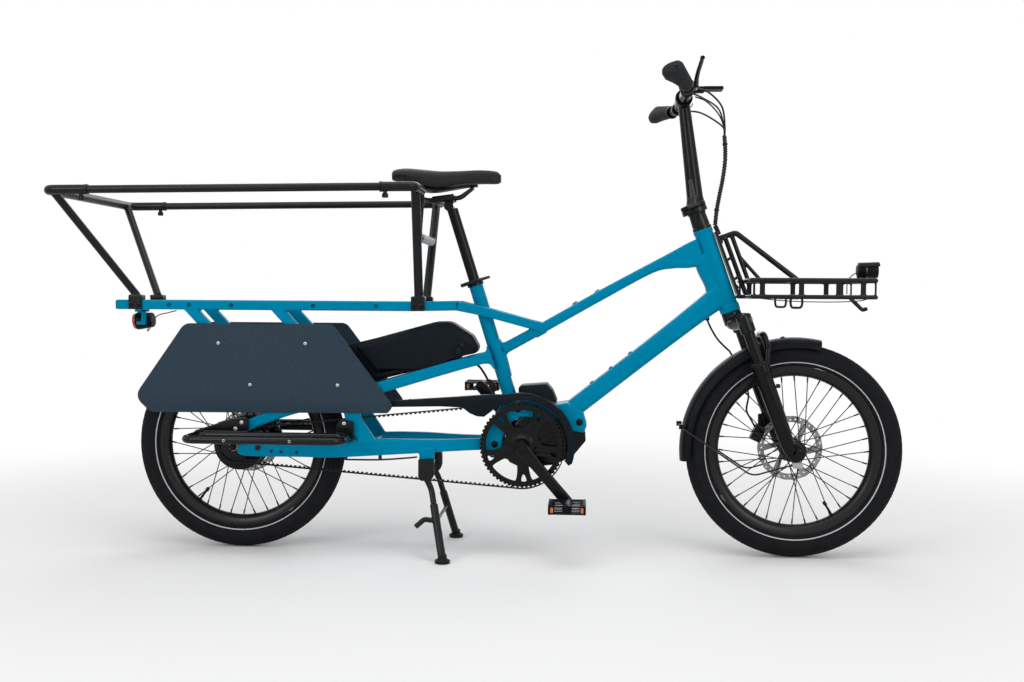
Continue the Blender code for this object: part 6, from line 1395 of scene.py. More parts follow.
def stand():
    """Double stand: its plates on the frame, and two legs with feet, a cross tube and a tab."""
    axis = at(STAND_X, STAND_Z)
    plates = Batch()
    for side in SIDES:
        for y in (side * (STAND_SIDE + 0.01), side * (STAND_SIDE - 0.0102)):
            outline = rounded([(0.455, 0.2351, 0.001), (0.493, 0.2351, 0.001), (0.493, 0.2, 0.014),
                (0.486, 0.1838, 0.01), (0.462, 0.1838, 0.006), (0.455, 0.19, 0.006)], 5)
            plates.side_plate([outline], 0.0027, y, 0.0004)
        plates.block(at(0.455, 0.227, side * STAND_SIDE - 0.0108),
            at(0.493, 0.2351, side * STAND_SIDE + 0.0108), 0.001)
        plates.rod(at(0.474, 0.227, side * STAND_SIDE), at(0.474, 0.2225, side * STAND_SIDE), 0.0042)
    plates.rod(axis - SIDEWAYS * 0.0898, axis + SIDEWAYS * 0.0898, 0.0054, steps=32)
    plates.piece("stand_plates", BLACK_PAINT, "frame", node="stand_bracket", slot="black_paint")
    bolts = Batch()
    for side in SIDES:
        bolts.bolt(axis + SIDEWAYS * (side * 0.0862), SIDEWAYS * side, 0.0052, 0.003)
    bolts.piece("stand_bolts", STEEL, "frame")
    batch, feet = Batch(), Batch()
    for side in SIDES:
        path = bent([at(0.469, 0.197, side * STAND_SIDE), at(0.486, 0.164, side * (STAND_SIDE + 0.001)),
            at(FOOT_X, 0.007, side * FOOT_SIDE)], 0.06, 16)
        batch.tube(path, 0.0074, 24)
        high, low = path[-2], path[-1]
        batch.rod(high.lerp(low, 0.16), low, 0.0097, steps=28)
        batch.rod(axis + SIDEWAYS * (side * STAND_SIDE - 0.007),
            axis + SIDEWAYS * (side * STAND_SIDE + 0.007), 0.0109, steps=36)
        feet.turned(at(FOOT_X, 0.0, side * FOOT_SIDE), UP,
            [(0.016, 0), (0.0176, 0.001), (0.0184, 0.005), (0.018, 0.0072), (0.012, 0.0104), (0.0104, 0.014),
            (0.0104, 0.02)], 48)
    batch.tube([at(0.5025, 0.09, -0.108), at(0.5005, 0.0872, -0.05), at(0.499, 0.086, 0),
        at(0.5005, 0.0872, 0.05), at(0.5025, 0.09, 0.108)], 0.0042, 18)
    tab = bent([at(0.502, 0.092, -0.108), at(0.474, 0.096, -0.11), at(0.453, 0.078, -0.113)], 0.012, 8)
    batch.tube(tab, 0.0064, 20)
    batch.skin(0.0013, 3, 0.5, "stand_tubes", BLACK_PAINT, "stand", 50, "stand_legs", "black_paint")
    feet.piece("stand_feet", RUBBER, "stand")


# Fork, guards, brakes and carrier

def fork_upper():
    """Fork crown in one skin, with the stanchions and the steerer."""
    rings = []
    for side in [i * 0.01 for i in range(-8, 9)]:
        share = abs(side) / 0.08
        ahead = 0.004 + (LEG_AHEAD - 0.004) * min(1.0, max(0.0, (abs(side) - 0.02) / 0.04))
        deep = 0.05 - 0.012 * share - (0.01 * max(0.0, share - 0.75) / 0.25)
        tall = 0.037 + 0.003 * share - (0.01 * max(0.0, share - 0.75) / 0.25)
        centre = steer(-0.0285, ahead, side)
        rings.append(ring_about(centre, STEER_AHEAD, STEER_UP, deep / 2, tall / 2, 24))
    batch = Batch().rings(rings)
    batch.rod(steer(-0.03), steer(-0.0004), 0.0238, steps=48)
    for side in SIDES:
        batch.rod(steer(-0.014, LEG_AHEAD, side * LEG_SIDE), steer(-0.058, LEG_AHEAD, side * LEG_SIDE),
            0.0184, steps=40, chamfer=0.0015)
    batch.skin(0.0014, 4, 0.5, "fork_crown", GLOSS_PAINT, "steering", 60, "fork_upper", "black_paint")
    legs = Batch()
    for side in SIDES:
        legs.rod(steer(-0.05, LEG_AHEAD, side * LEG_SIDE), steer(-0.2495, LEG_AHEAD, side * LEG_SIDE), 0.0139,
            steps=40)
        legs.turned(steer(-0.0145, LEG_AHEAD, side * LEG_SIDE), STEER_UP,
            [(0.015, -0.002), (0.015, 0.0012), (0.014, 0.0022), (0.009, 0.0026), (0.0085, 0.001)], 40)
    legs.rod(steer(0.0), steer(HEAD_LENGTH + 0.029), 0.0142, steps=32)
    legs.piece("fork_stanchions", BLACK_METAL, "steering")


def fork_lower():
    """Sliding legs with their arch, seals, axle and clips."""
    batch = Batch()
    for side in SIDES:
        mid = steer(-0.168, LEG_AHEAD, side * LEG_SIDE)
        low = steer(-0.385, LEG_AHEAD + 0.002, side * LEG_SIDE)
        down = (low - mid).normalized()
        batch.turned(steer(-0.138, LEG_AHEAD, side * LEG_SIDE), -STEER_UP,
            [(0.0146, 0), (0.02, 0), (0.0209, 0.0015), (0.0209, 0.02), (0.0196, 0.03), (0.0146, 0.03)], 48)
        batch.turned(mid - down * 0.002, down, [(0.0195, 0), (0.0193, 0.06), (0.0182, 0.135), (0.0165, 0.175),
            (0.014, 0.192), (0.0085, 0.2)], 48)
        outline = rounded([(1.33, 0.262, 0.012), (1.334, 0.29, 0.01), (1.366, 0.284, 0.012),
            (1.381, 0.262, 0.012), (1.372, 0.243, 0.012), (1.344, 0.2425, 0.012)], 6)
        batch.side_plate([outline], 0.016, side * 0.06, 0.0025)
    path = bent([steer(-0.15, 0.03, -LEG_SIDE), steer(-0.108, 0.048, -0.06), steer(-0.077, 0.053, -0.03),
        steer(-0.077, 0.053, 0.03), steer(-0.108, 0.048, 0.06), steer(-0.15, 0.03, LEG_SIDE)], 0.03, 10)
    batch.tube(path, 0.0085, 24)
    batch.block(at(1.286, 0.296, 0.0603), at(1.318, 0.342, 0.068), 0.002)
    batch.skin(0.0015, 4, 0.5, "fork_legs", FORK_PAINT, "fork_slider", 60, "fork_lower", "black_paint")
    wipers = Batch()
    for side in SIDES:
        wipers.turned(steer(-0.1382, LEG_AHEAD, side * LEG_SIDE), STEER_UP,
            [(0.0143, 0), (0.0204, 0), (0.0204, 0.003), (0.0188, 0.0055), (0.015, 0.0068), (0.0143, 0.0068)],
            44, closed=True)
    wipers.piece("fork_wipers", RUBBER, "fork_slider")
    steel = Batch()
    steel.rod(FRONT_AXLE - SIDEWAYS * 0.076, FRONT_AXLE + SIDEWAYS * 0.076, 0.0056, steps=28)
    for out in (-SIDEWAYS, SIDEWAYS):
        steel.turned(FRONT_AXLE + out * 0.0682, out, [(0.011, 0), (0.011, 0.0016), (0.0102, 0.002)], 36)
        steel.nut(FRONT_AXLE + out * 0.07, out, 0.0098, 0.0062)
    for side in SIDES:
        steel.turned(at(1.308, 0.4214, side * LEG_SIDE), FORWARD,
            [(0.005, 0), (0.005, 0.0075), (0.004, 0.009), (0.0015, 0.0094)], 24)
    steel.piece("front_axle_nuts", BLACK_METAL, "fork_slider")
    clip = Batch()
    for side in SIDES:
        clip.side_plate([rounded([(1.35, 0.2245, 0.004), (1.374, 0.2255, 0.004), (1.374, 0.2395, 0.004),
            (1.35, 0.2385, 0.004)], 5)], 0.005, side * 0.065, 0.001)
        clip.rod(at(1.362, 0.232, side * 0.06), at(1.362, 0.232, side * 0.07), 0.0045)
    clip.piece("stay_clips", GREY_PAD, "fork_slider")


def guard_shell(batch, axle, first, last, steps):
    """Rolled guard over a tyre, with beads along both edges."""
    outer = [(0.252, -0.035), (0.256, -0.0344), (0.26, -0.0332), (0.264, -0.0316), (0.268, -0.028),
        (0.2712, -0.0225), (0.2738, -0.015), (0.2752, -0.0075), (0.2757, 0.0)]
    outer += [(r, -y) for r, y in reversed(outer[:-1])]
    inner = [(r - 0.0018, y * 0.957) for r, y in reversed(outer)]
    section = [(0.2508, -0.0348), (0.2508, -0.0362), (0.2524, -0.0364)] + outer[1:-1] + [(0.2524, 0.0364),
        (0.2508, 0.0362), (0.2508, 0.0348)] + inner[1:-1]
    rings = []
    for index in range(steps + 1):
        angle = radians(first + (last - first) * index / steps)
        end = min(index, steps - index)
        pull = 1 - 0.1 * max(0.0, 1 - end / 2.0) ** 2
        rings.append([axle + Vector((r * cos(angle), y * pull, r * sin(angle))) for r, y in section])
    return batch.rings(rings)


def mudguards():
    """Front guard with its wire stays and clips, and the short rear guard."""
    front = guard_shell(Batch(), FRONT_AXLE, 77, 186, 72)
    front.piece("front_guard", SATIN_PLASTIC, "fork_slider", 50, "front_mudguard", "black_plastic")
    stays = Batch()
    for side in SIDES:
        stays.tube(bent([at(1.085, 0.318, side * 0.0385), at(1.256, 0.2035, side * 0.056),
            at(1.335, 0.2275, side * 0.056), at(1.356, 0.232, side * 0.0625)], 0.04, 14), 0.0021, 12)
    stays.tube(flowing([at(1.085, 0.318, -0.0385), at(1.0893, 0.316, -0.016), at(1.0903, 0.3158, 0.0),
        at(1.0893, 0.316, 0.016), at(1.085, 0.318, 0.0385)], 24), 0.002, 12)
    stays.piece("front_guard_stays", CABLE, "fork_slider")
    trim = Batch()
    for side in SIDES:
        trim.block(at(1.082, 0.312, side * 0.0375 - 0.0035), at(1.095, 0.324, side * 0.0375 + 0.0035), 0.0012)
        trim.bolt(at(1.0885, 0.318, side * 0.0405), SIDEWAYS * side, 0.0032, 0.002)
    trim.bolt(FRONT_AXLE + Vector((cos(radians(96)) * 0.2755, 0, sin(radians(96)) * 0.2755)), UP, 0.0044,
        0.0022, 0.007)
    trim.piece("front_guard_trim", BLACK_METAL, "fork_slider")
    rear = guard_shell(Batch(), REAR_AXLE, 22, 62, 40)
    rear.piece("rear_guard", SATIN_PLASTIC, "frame", 50, "rear_mudguard", "black_plastic")


def caliper(x, z, y, turn, outside):
    """Disc brake caliper: cast body, pads' slot, fluid joint, bolts and a cap."""
    rotate = Matrix.Rotation(turn, 4, "Y")
    batch = Batch()

    def part(low, high, bevel):
        centre = (Vector(low) + Vector(high)) / 2
        batch.block(low, high, bevel, rotate, at(x, z, y) + rotate @ centre)

    part((-0.02, 0.0026, -0.013), (0.02, outside, 0.013), 0.003)
    part((-0.02, -0.008, -0.013), (0.02, -0.0026, 0.013), 0.0016)
    part((-0.02, -0.008, 0.0095), (0.02, outside, 0.013), 0.0015)
    part((-0.015, outside - 0.0016, -0.0085), (0.008, outside - 0.0002, 0.006), 0.001)
    for u in (-0.015, 0.015):
        place = at(x, z, y) + rotate @ Vector((u, outside, 0.0085))
        batch.bolt(place, SIDEWAYS, 0.0034, 0.0022)
    return batch


def bend_hose(name, route, count, node=None):
    """Hose tube along a smooth route between the bodies at its two ends, attached to no body."""
    batch = Batch().tube(flowing(route, count), 0.0024, 14)
    data = bpy.data.meshes.new(name)
    data.from_pydata(batch.points, [], batch.faces)
    data.materials.append(CABLE)
    data.shade_smooth()
    made = bpy.data.objects.new(name, data)
    bpy.context.scene.collection.objects.link(made)
    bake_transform(made)
    if node:
        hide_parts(node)


def brakes():
    """Both calipers and the front hose in two fixed lengths."""
    caliper(1.283, 0.295, 0.044, radians(-66), 0.016).piece("front_brake", BLACK_METAL, "fork_slider",
        node="front_caliper", slot="black_anodised")
    caliper(0.0664, 0.2891, 0.052, radians(66), 0.0062).piece("rear_brake", BLACK_METAL, "frame",
        node="rear_caliper", slot="black_anodised")
    upper = [at(1.1505, 0.579, 0.0), at(1.154, 0.568, 0.002), at(1.164, 0.55, 0.012), at(1.179, 0.529, 0.03),
        at(1.196, 0.512, 0.046), at(1.212, 0.4982, 0.0553)]
    lower = [at(1.212, 0.4982, 0.0553), at(1.23, 0.47, 0.06), at(1.248, 0.43, 0.056), at(1.26, 0.39, 0.052),
        at(1.256, 0.352, 0.052), at(1.268, 0.327, 0.052), at(1.28, 0.305, 0.052)]
    bend_hose("brake_hose_top", upper, 30)
    bend_hose("brake_hose_low", lower, 48, "brake_hose_upper")


def front_carrier():
    """Basket of tube and plate on its mast in front of the head tube."""
    batch = Batch()
    for z, radius in ((0.6715, 0.0058), (0.633, 0.0052)):
        half, front, corner = 0.125 - radius, 1.53 - radius, 0.01
        batch.tube(flat_loop(1.242 + corner, front - corner, -half + corner, half - corner, corner, z, 7),
            radius, 20, closed=True)
    for side, columns in ((RIGHT, (1.2635, 1.353, 1.438, 1.494)), (LEFT, (1.268, 1.377, 1.46, 1.4965))):
        y = side * 0.1192
        windows = []
        ends = [1.244] + list(columns) + [1.5238]
        for before, after in zip(ends, ends[1:]):
            low, high = before + (0.006 if before > 1.25 else 0.003), after - (0.006 if after < 1.52
                else 0.004)
            if high - low > 0.008:
                windows.append(rounded([(low, 0.6378, 0.004), (low, 0.666, 0.004), (high, 0.666, 0.004),
                    (high, 0.6378, 0.004)], 5))
        batch.side_plate([[(1.242, 0.632), (1.242, 0.672), (1.524, 0.672), (1.524, 0.632)]] + windows, 0.0056,
            y, 0.0006)
        foot = side * 0.105
        frame_path = [at(1.332, 0.63, foot), at(1.331, 0.62, foot), at(1.334, 0.609, foot),
            at(1.344, 0.6078, foot), at(1.355, 0.609, foot), at(1.358, 0.62, foot), at(1.357, 0.63, foot)]
        batch.tube(flowing(frame_path, 24), 0.003, 12)
    for x in (1.3, 1.42):
        batch.block(at(x - 0.006, 0.629, -0.119), at(x + 0.006, 0.635, 0.119), 0.0012)
    batch.block(at(1.34, 0.627, -0.118), at(1.35, 0.6335, 0.118), 0.0012)
    plate_low, plate_high = steer(0.026, HEAD_RADIUS + 0.0075, 0), steer(0.196, HEAD_RADIUS + 0.0055, 0)
    batch.rings([box_ring(plate_low, STEER_UP, 0.044, 0.006, 0.0012, 3),
        box_ring(plate_high, STEER_UP, 0.036, 0.006, 0.0012, 3)])
    batch.block(at(1.218, 0.629, -0.02), at(1.248, 0.637, 0.02), 0.0015)
    for side in SIDES:
        batch.rod(at(1.1908, 0.776, side * 0.013), at(1.242, 0.64, side * 0.013), 0.004, steps=20)
        for along in (0.07, 0.12, 0.17):
            batch.rod(steer(along, HEAD_RADIUS + 0.006, side * 0.013),
                steer(along + 0.004, 0.044, side * 0.013), 0.003, steps=16)
    batch.tube(bent([at(1.172, 0.772, 0), at(1.216, 0.788, 0), at(1.365, 0.6745, 0)], 0.014, 10), 0.0067, 24)
    batch.rod(at(1.206, 0.783, 0), at(1.248, 0.6715, 0), 0.0054, steps=24)
    batch.rod(at(1.227, 0.729, 0), at(1.278, 0.6725, 0), 0.0044, steps=24)
    for x in (1.278, 1.365):
        batch.block(at(x - 0.008, 0.668, -0.118), at(x + 0.008, 0.6745, 0.118), 0.0012)
    batch.block(at(1.3564, 0.668, -0.009), at(1.3736, 0.6763, 0.009), 0.0012)
    batch.tube(bent([at(1.49, 0.633, 0), at(1.522, 0.602, 0), at(1.533, 0.606, 0)], 0.006, 8), 0.0048, 16)
    batch.block(at(1.484, 0.629, -0.119), at(1.496, 0.635, 0.119), 0.0012)
    batch.skin(0.0012, 3, 0.5, "carrier_frame", BLACK_PAINT, "frame", 50, "front_carrier", "black_paint")
    bolts = Batch()
    for along in (0.052, 0.168):
        for side in SIDES:
            bolts.bolt(steer(along, HEAD_RADIUS + 0.0094, side * 0.012), STEER_AHEAD, 0.0048, 0.0028, 0.0066)
    for x in (1.278, 1.365):
        for side in SIDES:
            bolts.bolt(at(x, 0.6745, side * 0.088), UP, 0.0036, 0.002)
    bolts.piece("carrier_bolts", BLACK_METAL, "frame")
    guide = Batch().rod(at(1.1664, 0.805), steer(0.186, HEAD_RADIUS + 0.012), 0.0058, 0.005, 28)
    guide.piece("bundle_guide", RUBBER, "frame")
    wire = flowing([at(1.248, 0.63, -0.117), at(1.32, 0.6235, -0.117), at(1.4, 0.6215, -0.117),
        at(1.475, 0.6235, -0.117), at(1.506, 0.629, -0.11), at(1.508, 0.63, -0.07)], 48)
    Batch().tube(wire, 0.0012, 10).piece("carrier_wire", CABLE, "frame")


def headlight():
    """Lamp with fins, a hood, a ring, its glass and its wire."""
    start, end = at(1.506, 0.6965), at(1.555, 0.6975)
    along = (end - start).normalized()
    body = Batch().turned(start, along, [(0.009, 0.0002), (0.014, 0.0012), (0.0163, 0.004), (0.0172, 0.02),
        (0.0183, 0.04), (0.0184, 0.047), (0.0176, 0.0488), (0.0164, 0.0488), (0.016, 0.045), (0.0002, 0.044)],
        56)
    for i in range(4):
        body.turned(start + along * (0.006 + 0.0032 * i), along,
            [(0.016, 0), (0.0176, 0.0004), (0.0176, 0.0014), (0.016, 0.0018)], 48)
    angles = [radians(30 + 120 * step / 12) for step in range(13)]
    rings = []
    for x in (0.005, 0.02, 0.04, 0.052):
        ring = []
        for radius, turns in ((0.02, angles), (0.0187, angles[::-1])):
            reach = radius + 0.0009 * x / 0.05
            ring += [start + along * x + Vector((0, cos(a) * reach, sin(a) * reach)) for a in turns]
        rings.append(ring)
    body.rings(rings)
    body.block(at(1.508, 0.6778, -0.008), at(1.527, 0.69, 0.008), 0.002)
    body.piece("headlight_housing", SATIN_PLASTIC, "frame", node="headlight", slot="black_plastic")
    glass = Batch().turned(start + along * 0.044, along,
        [(0.0158, 0), (0.0158, 0.0022), (0.012, 0.0034), (0.006, 0.004), (0.0005, 0.0042)], 56)
    glass.piece("headlight_glass", CLEAR_LENS, "frame")
    stripe = Batch().turned(start + along * 0.02, along,
        [(0.0168, 0), (0.0176, 0.0002), (0.0178, 0.0012), (0.0168, 0.0014)], 48, closed=True)
    stripe.piece("headlight_ring", BRONZE, "frame")
    wire = flowing([at(1.508, 0.693), at(1.496, 0.686), at(1.485, 0.67), at(1.484, 0.64)], 20)
    Batch().tube(wire, 0.0013, 10).piece("headlight_wire", CABLE, "frame")


def rear_light():
    """Round lamp with its red lens, bracket and wire."""
    start, end = at(-0.27, 0.562), at(-0.228, 0.566)
    along = (end - start).normalized()
    lamp = Batch().turned(start, along, [(0.019, 0), (0.0213, 0.0012), (0.0214, 0.008), (0.0205, 0.018),
        (0.019, 0.03), (0.0184, 0.0395), (0.0165, 0.042), (0.01, 0.0424)], 56)
    lamp.piece("rear_lamp", SATIN_PLASTIC, "frame", node="rear_light", slot="black_plastic")
    lens = Batch().turned(start + along * 0.0006, -along,
        [(0.0203, -0.001), (0.0203, 0.003), (0.019, 0.0062), (0.014, 0.008), (0.007, 0.0088),
        (0.0005, 0.009)], 56)
    lens.piece("rear_lens", RED_LENS, "frame")
    plate = Batch()
    plate.block(at(-0.266, 0.58, -0.01), at(-0.252, 0.5959, 0.01), 0.001)
    plate.block(at(-0.25, 0.554, -0.026), at(-0.238, 0.592, -0.019), 0.0012)
    plate.block(at(-0.266, 0.586, -0.026), at(-0.238, 0.592, 0.0), 0.001)
    plate.block(at(-0.262, 0.554, -0.025), at(-0.24, 0.562, -0.02), 0.001)
    plate.piece("rear_light_plate", TEAL, "frame")
    route = flowing([at(-0.24, 0.55, 0.0), at(-0.243, 0.538, -0.002), at(-0.23, 0.544, -0.02),
        at(-0.205, 0.575, -0.04), at(-0.17, 0.585, -0.05), at(-0.15, 0.59, -0.052)], 48)
    Batch().tube(route, 0.0013, 12).piece("rear_light_wire", CABLE, "frame")


# Handlebar post, bars and controls

def oval(along):
    """Outline of the hinge plates, longer behind the post than ahead of it."""
    side, front, back, steps = 0.0285, 0.028, 0.034, 64
    angles = [2 * pi * index / steps for index in range(steps)]
    return [steer(along, (front + (back - front) * (0.5 - 0.5 * cos(a))) * cos(a), side * sin(a))
        for a in angles]


def shrink(ring, amount):
    centre = sum(ring, Vector()) / len(ring)
    return [p + (centre - p).normalized() * amount for p in ring]


def stem():
    """Headset cover with the lower hinge plate, the folding post, its bolts and its latch."""
    low = HEAD_LENGTH + 0.0003
    base = Batch().turned(steer(0), STEER_UP, [(0.0147, low), (0.0228, low), (0.0235, low + 0.0006),
        (0.0235, 0.2168), (0.0226, 0.2178), (0.0218, 0.2186), (0.0214, 0.228), (0.0206, 0.248),
        (0.0212, 0.2505), (0.0224, 0.252), (0.0224, 0.255), (0.0147, 0.255)], 64, closed=True)
    base.rings([shrink(oval(0.254), 0.001), oval(0.255), oval(0.2645), shrink(oval(0.2655), 0.001)])
    base.piece("stem_base_casting", GLOSS_PAINT, "steering", node="stem_base", slot="black_anodised")
    foot, top = steer(HINGE_ALONG + 0.0113, 0.005), at(POST_TOP_X, POST_TOP_Z)
    direction = (top - foot).normalized()
    length = (top - foot).length
    batch = Batch()
    batch.rings([shrink(oval(0.2658), 0.001), oval(0.2668), oval(0.2755), shrink(oval(0.2768), 0.0012)])
    batch.turned(foot - direction * 0.004, direction,
        [(0.024, 0), (0.0222, 0.006), (0.02, 0.018), (0.0186, 0.07), (0.017, 0.14), (0.0152, 0.21),
        (0.0141, length - 0.006)], 48)
    batch.rod(at(POST_TOP_X - 0.001, POST_TOP_Z, -0.0218), at(POST_TOP_X - 0.001, POST_TOP_Z, 0.0218), 0.0209,
        steps=56, chamfer=0.0012)
    batch.skin(0.0013, 4, 0.5, "stem_post_tube", BLACK_METAL, "cockpit", 60, "stem_post", "black_anodised")
    trim = Batch()
    for side in SIDES:
        for z in (-0.0135, 0.0135):
            trim.bolt(at(POST_TOP_X + 0.0195, POST_TOP_Z + z, side * 0.014), FORWARD, 0.0034, 0.0016)
    trim.piece("stem_top_bolts", BLACK_METAL, "cockpit")
    trim = Batch()
    trim.rod(steer(0.26, -0.012, 0.03), steer(0.26, 0.012, 0.03), 0.0058, steps=28)
    for along in (0.256, 0.264):
        place = steer(along, 0, 0.0275)
        trim.block(place - Vector((0.01, 0.004, 0.003)), place + Vector((0.01, 0.0045, 0.003)), 0.0012)
    trim.piece("stem_trim", BLACK_METAL, "steering")
    path = bent([steer(0.272, LATCH_AHEAD, -0.034), steer(0.29, 0.0, -0.0325), steer(0.333, 0.008, -0.029)],
        0.02, 20)
    rings = []
    for index, place in enumerate(path):
        share = index / (len(path) - 1)
        wide = (0.018 + 0.006 * sin(pi * share)) * (1 - 0.5 * max(0.0, share - 0.92) / 0.08)
        rings.append(ring_about(place, STEER_AHEAD, SIDEWAYS, wide / 2, 0.0031, 24))
    latch = Batch().rings(rings)
    latch.rod(steer(0.2715, LATCH_AHEAD - 0.0138, -0.0345), steer(0.2715, LATCH_AHEAD + 0.0138, -0.0345),
        0.005, steps=28)
    # The latch gets the lightened grey, a painted highlight for its bright rim.
    latch.piece("stem_latch_lever", LATCH_PAINTED_HIGHLIGHT, "stem_latch", node="stem_latch", slot="black_anodised")


def bar_path(side):
    """Corner points of one half of the handlebar."""
    return [at(1.0855, POST_TOP_Z, 0), at(1.0855, 1.107, side * 0.09), at(1.0825, 1.106, side * 0.15),
        at(1.076, 1.109, side * 0.19), at(1.045, 1.1259, side * (BAR_HALF - 0.007))]


def handlebar():
    """Bar that tapers smoothly from its clamp to its grips."""
    thick, thin = 0.0158, 0.011
    fine = flowing(bent(list(reversed(bar_path(RIGHT))) + bar_path(LEFT)[1:], 0.06, 8), 160)
    radii = []
    for p in fine:
        share = min(1.0, max(0.0, (abs(p.y) - 0.045) / 0.03))
        radii.append(thick - (thick - thin) * (3 * share ** 2 - 2 * share ** 3))
    Batch().tube(fine, radii, 28).piece("handlebar_tube", BLACK_METAL, "cockpit", node="handlebar",
        slot="black_anodised")


def grip(name, side):
    """Ribbed rubber grip with a palm rest that spreads back from the bar."""
    start, end = at(1.075, 1.1096, side * 0.1935), at(1.0436, 1.1267, side * (BAR_HALF - 0.002))
    along = (end - start).normalized()
    drop = -0.6 if side == LEFT else 0.0
    back = (Vector((-1, 0, drop)) - along * Vector((-1, 0, drop)).dot(along)).normalized()
    up = along.cross(back)
    if up.z < 0:
        up = -up
    count = 66
    rings = []
    for row in range(count + 1):
        share = 1.02 * row / count
        wing = 0.016 * min(1.0, max(0.0, (share - 0.12) / 0.6)) ** 1.3
        closing = sqrt(max(0.0, 1 - (max(0.0, share - 0.93) / 0.0905) ** 2))
        size = 0.0166 - 0.0018 * max(0.0, 1 - share / 0.04) ** 2
        rib = 0.0007 if (row % 3 == 0 and 0.08 < share < 0.9) else 0.0
        centre = start.lerp(end, share)
        ring = []
        for index in range(48):
            angle = 2 * pi * index / 48
            out, lift = cos(angle), sin(angle)
            if out > 0:
                full = 1 - 0.3 * wing / 0.016
                out, lift = out ** full, copysign(abs(lift) ** (2 - 1 / full * 0.5 - 0.5), lift)
            reach = size + (wing if out > 0 else 0.0)
            sag = 0.006 * wing / 0.016 * max(0.0, out)
            cut = rib * (1.0 if out < 0.35 else 0.35)
            ring.append(centre + (back * ((reach - cut) * out) + up * ((size - cut) * lift - sag)) * closing)
        rings.append(ring)
    Batch().rings(rings).piece(name + "_cover", GRIP, "cockpit", 34, name, "soft_rubber")
    plug = Batch().turned(start.lerp(end, 1.01), along,
        [(0.0044, -0.004), (0.0044, 0.0016), (0.003, 0.002), (0.0026, 0.0006)], 24)
    plug.piece(name + "_plug", GLOSS_PAINT, "cockpit")
    rings = Batch()
    rings.turned(start - along * 0.0012, along, [(0.0112, 0), (0.0158, 0), (0.0166, 0.0008), (0.0166, 0.0052),
        (0.0158, 0.006), (0.0112, 0.006)], 40, closed=True)
    rings.piece(name + "_lock_ring", BLACK_METAL, "cockpit")


def lever_point(x, z, side, y):
    """Point of a brake lever; the left one is turned down round the bar."""
    turn = LEFT_LEVER_TURN if side == LEFT else 0.0
    dx, dz = x - LEVER_RING_X, z - LEVER_RING_Z
    return at(LEVER_RING_X + dx * cos(turn) + dz * sin(turn), LEVER_RING_Z - dx * sin(turn) + dz * cos(turn),
        side * y)


def brake_controls(side, word):
    """Lever clamp with its fluid tank, and the brake lever's blade."""
    along = (bar_path(side)[2] - bar_path(side)[1]).normalized()
    middle = bar_path(side)[1].lerp(bar_path(side)[2], 0.62)
    body = Batch()
    body.turned(middle - along * 0.0068, along, [(0.0113, 0), (0.015, 0), (0.0159, 0.001), (0.0159, 0.0126),
        (0.015, 0.0136), (0.0113, 0.0136)], 44, closed=True)
    start, end = lever_point(1.102, 1.1205, side, 0.095), lever_point(1.101, 1.121, side, 0.136)
    body.turned(start, end - start, [(0.006, 0), (0.008, 0.001), (0.0094, 0.004), (0.0094, 0.03),
        (0.0088, 0.036), (0.0078, 0.041)], 44)
    body.rod(start - (end - start).normalized() * 0.006, start, 0.0036, 0.0046, 24)
    body.skin(0.0009, 3, 0.6, "lever_clamp_" + word, BLACK_METAL, "cockpit", 60, "lever_body_" + word,
        "black_anodised")
    outline = ((1.103, 1.1225, 0.1385), (1.1025, 1.1238, 0.148), (1.1015, 1.127, 0.16), (1.101, 1.1355, 0.2),
        (1.102, 1.145, 0.25), (1.1025, 1.1515, 0.284))
    path = flowing([lever_point(x, z, side, y) for x, z, y in outline], 60)
    rings = []
    for index, place in enumerate(path):
        share = index / (len(path) - 1)
        tall = 0.0108 + 0.0012 * sin(pi * share * 2.0) - 0.0032 * max(0.0, (share - 0.8) / 0.2)
        ball = max(0.0, 1 - abs(share - 0.975) / 0.03)
        wide = 0.0064 - 0.0018 * share + 0.001 * ball
        if share > 0.985:
            tall *= 0.8
            wide *= 0.75
        rings.append(ring_about(place, FORWARD, UP, wide, tall / 2, 20))
    Batch().rings(rings).piece("brake_blade_" + word, BLACK_METAL, "brake_lever_" + word,
        node="brake_lever_" + word, slot="black_anodised")


def shifter():
    """Ribbed sleeve of the twist shifter."""
    points = bar_path(RIGHT)
    start, end = points[2].lerp(points[3], 0.1), points[2].lerp(points[3], 0.82)
    along = (end - start).normalized()
    length = (end - start).length
    _, first, second = side_axes(along)
    rings = []
    count = 72
    for h, r, wave in ((0.0, 0.0155, 0.0), (0.0012, 0.0168, 0.0), (0.006, 0.017, 0.0), (0.0068, 0.0166, 0.0),
            (0.008, 0.0172, 0.05), (length - 0.004, 0.018, 0.05), (length - 0.0015, 0.018, 0.0),
            (length, 0.0168, 0.0), (length, 0.012, 0.0), (0.0, 0.012, 0.0)):
        ring = []
        for i in range(count):
            a = 2 * pi * i / count
            reach = r * (1 - wave * (0.5 + 0.5 * cos(18 * a)))
            ring.append(start + along * h + first * (reach * cos(a)) + second * (reach * sin(a)))
        rings.append(ring)
    Batch().rings(rings, closed=True).piece("shifter_sleeve", RUBBER, "twist_shifter", 30, "twist_shifter",
        "soft_rubber")


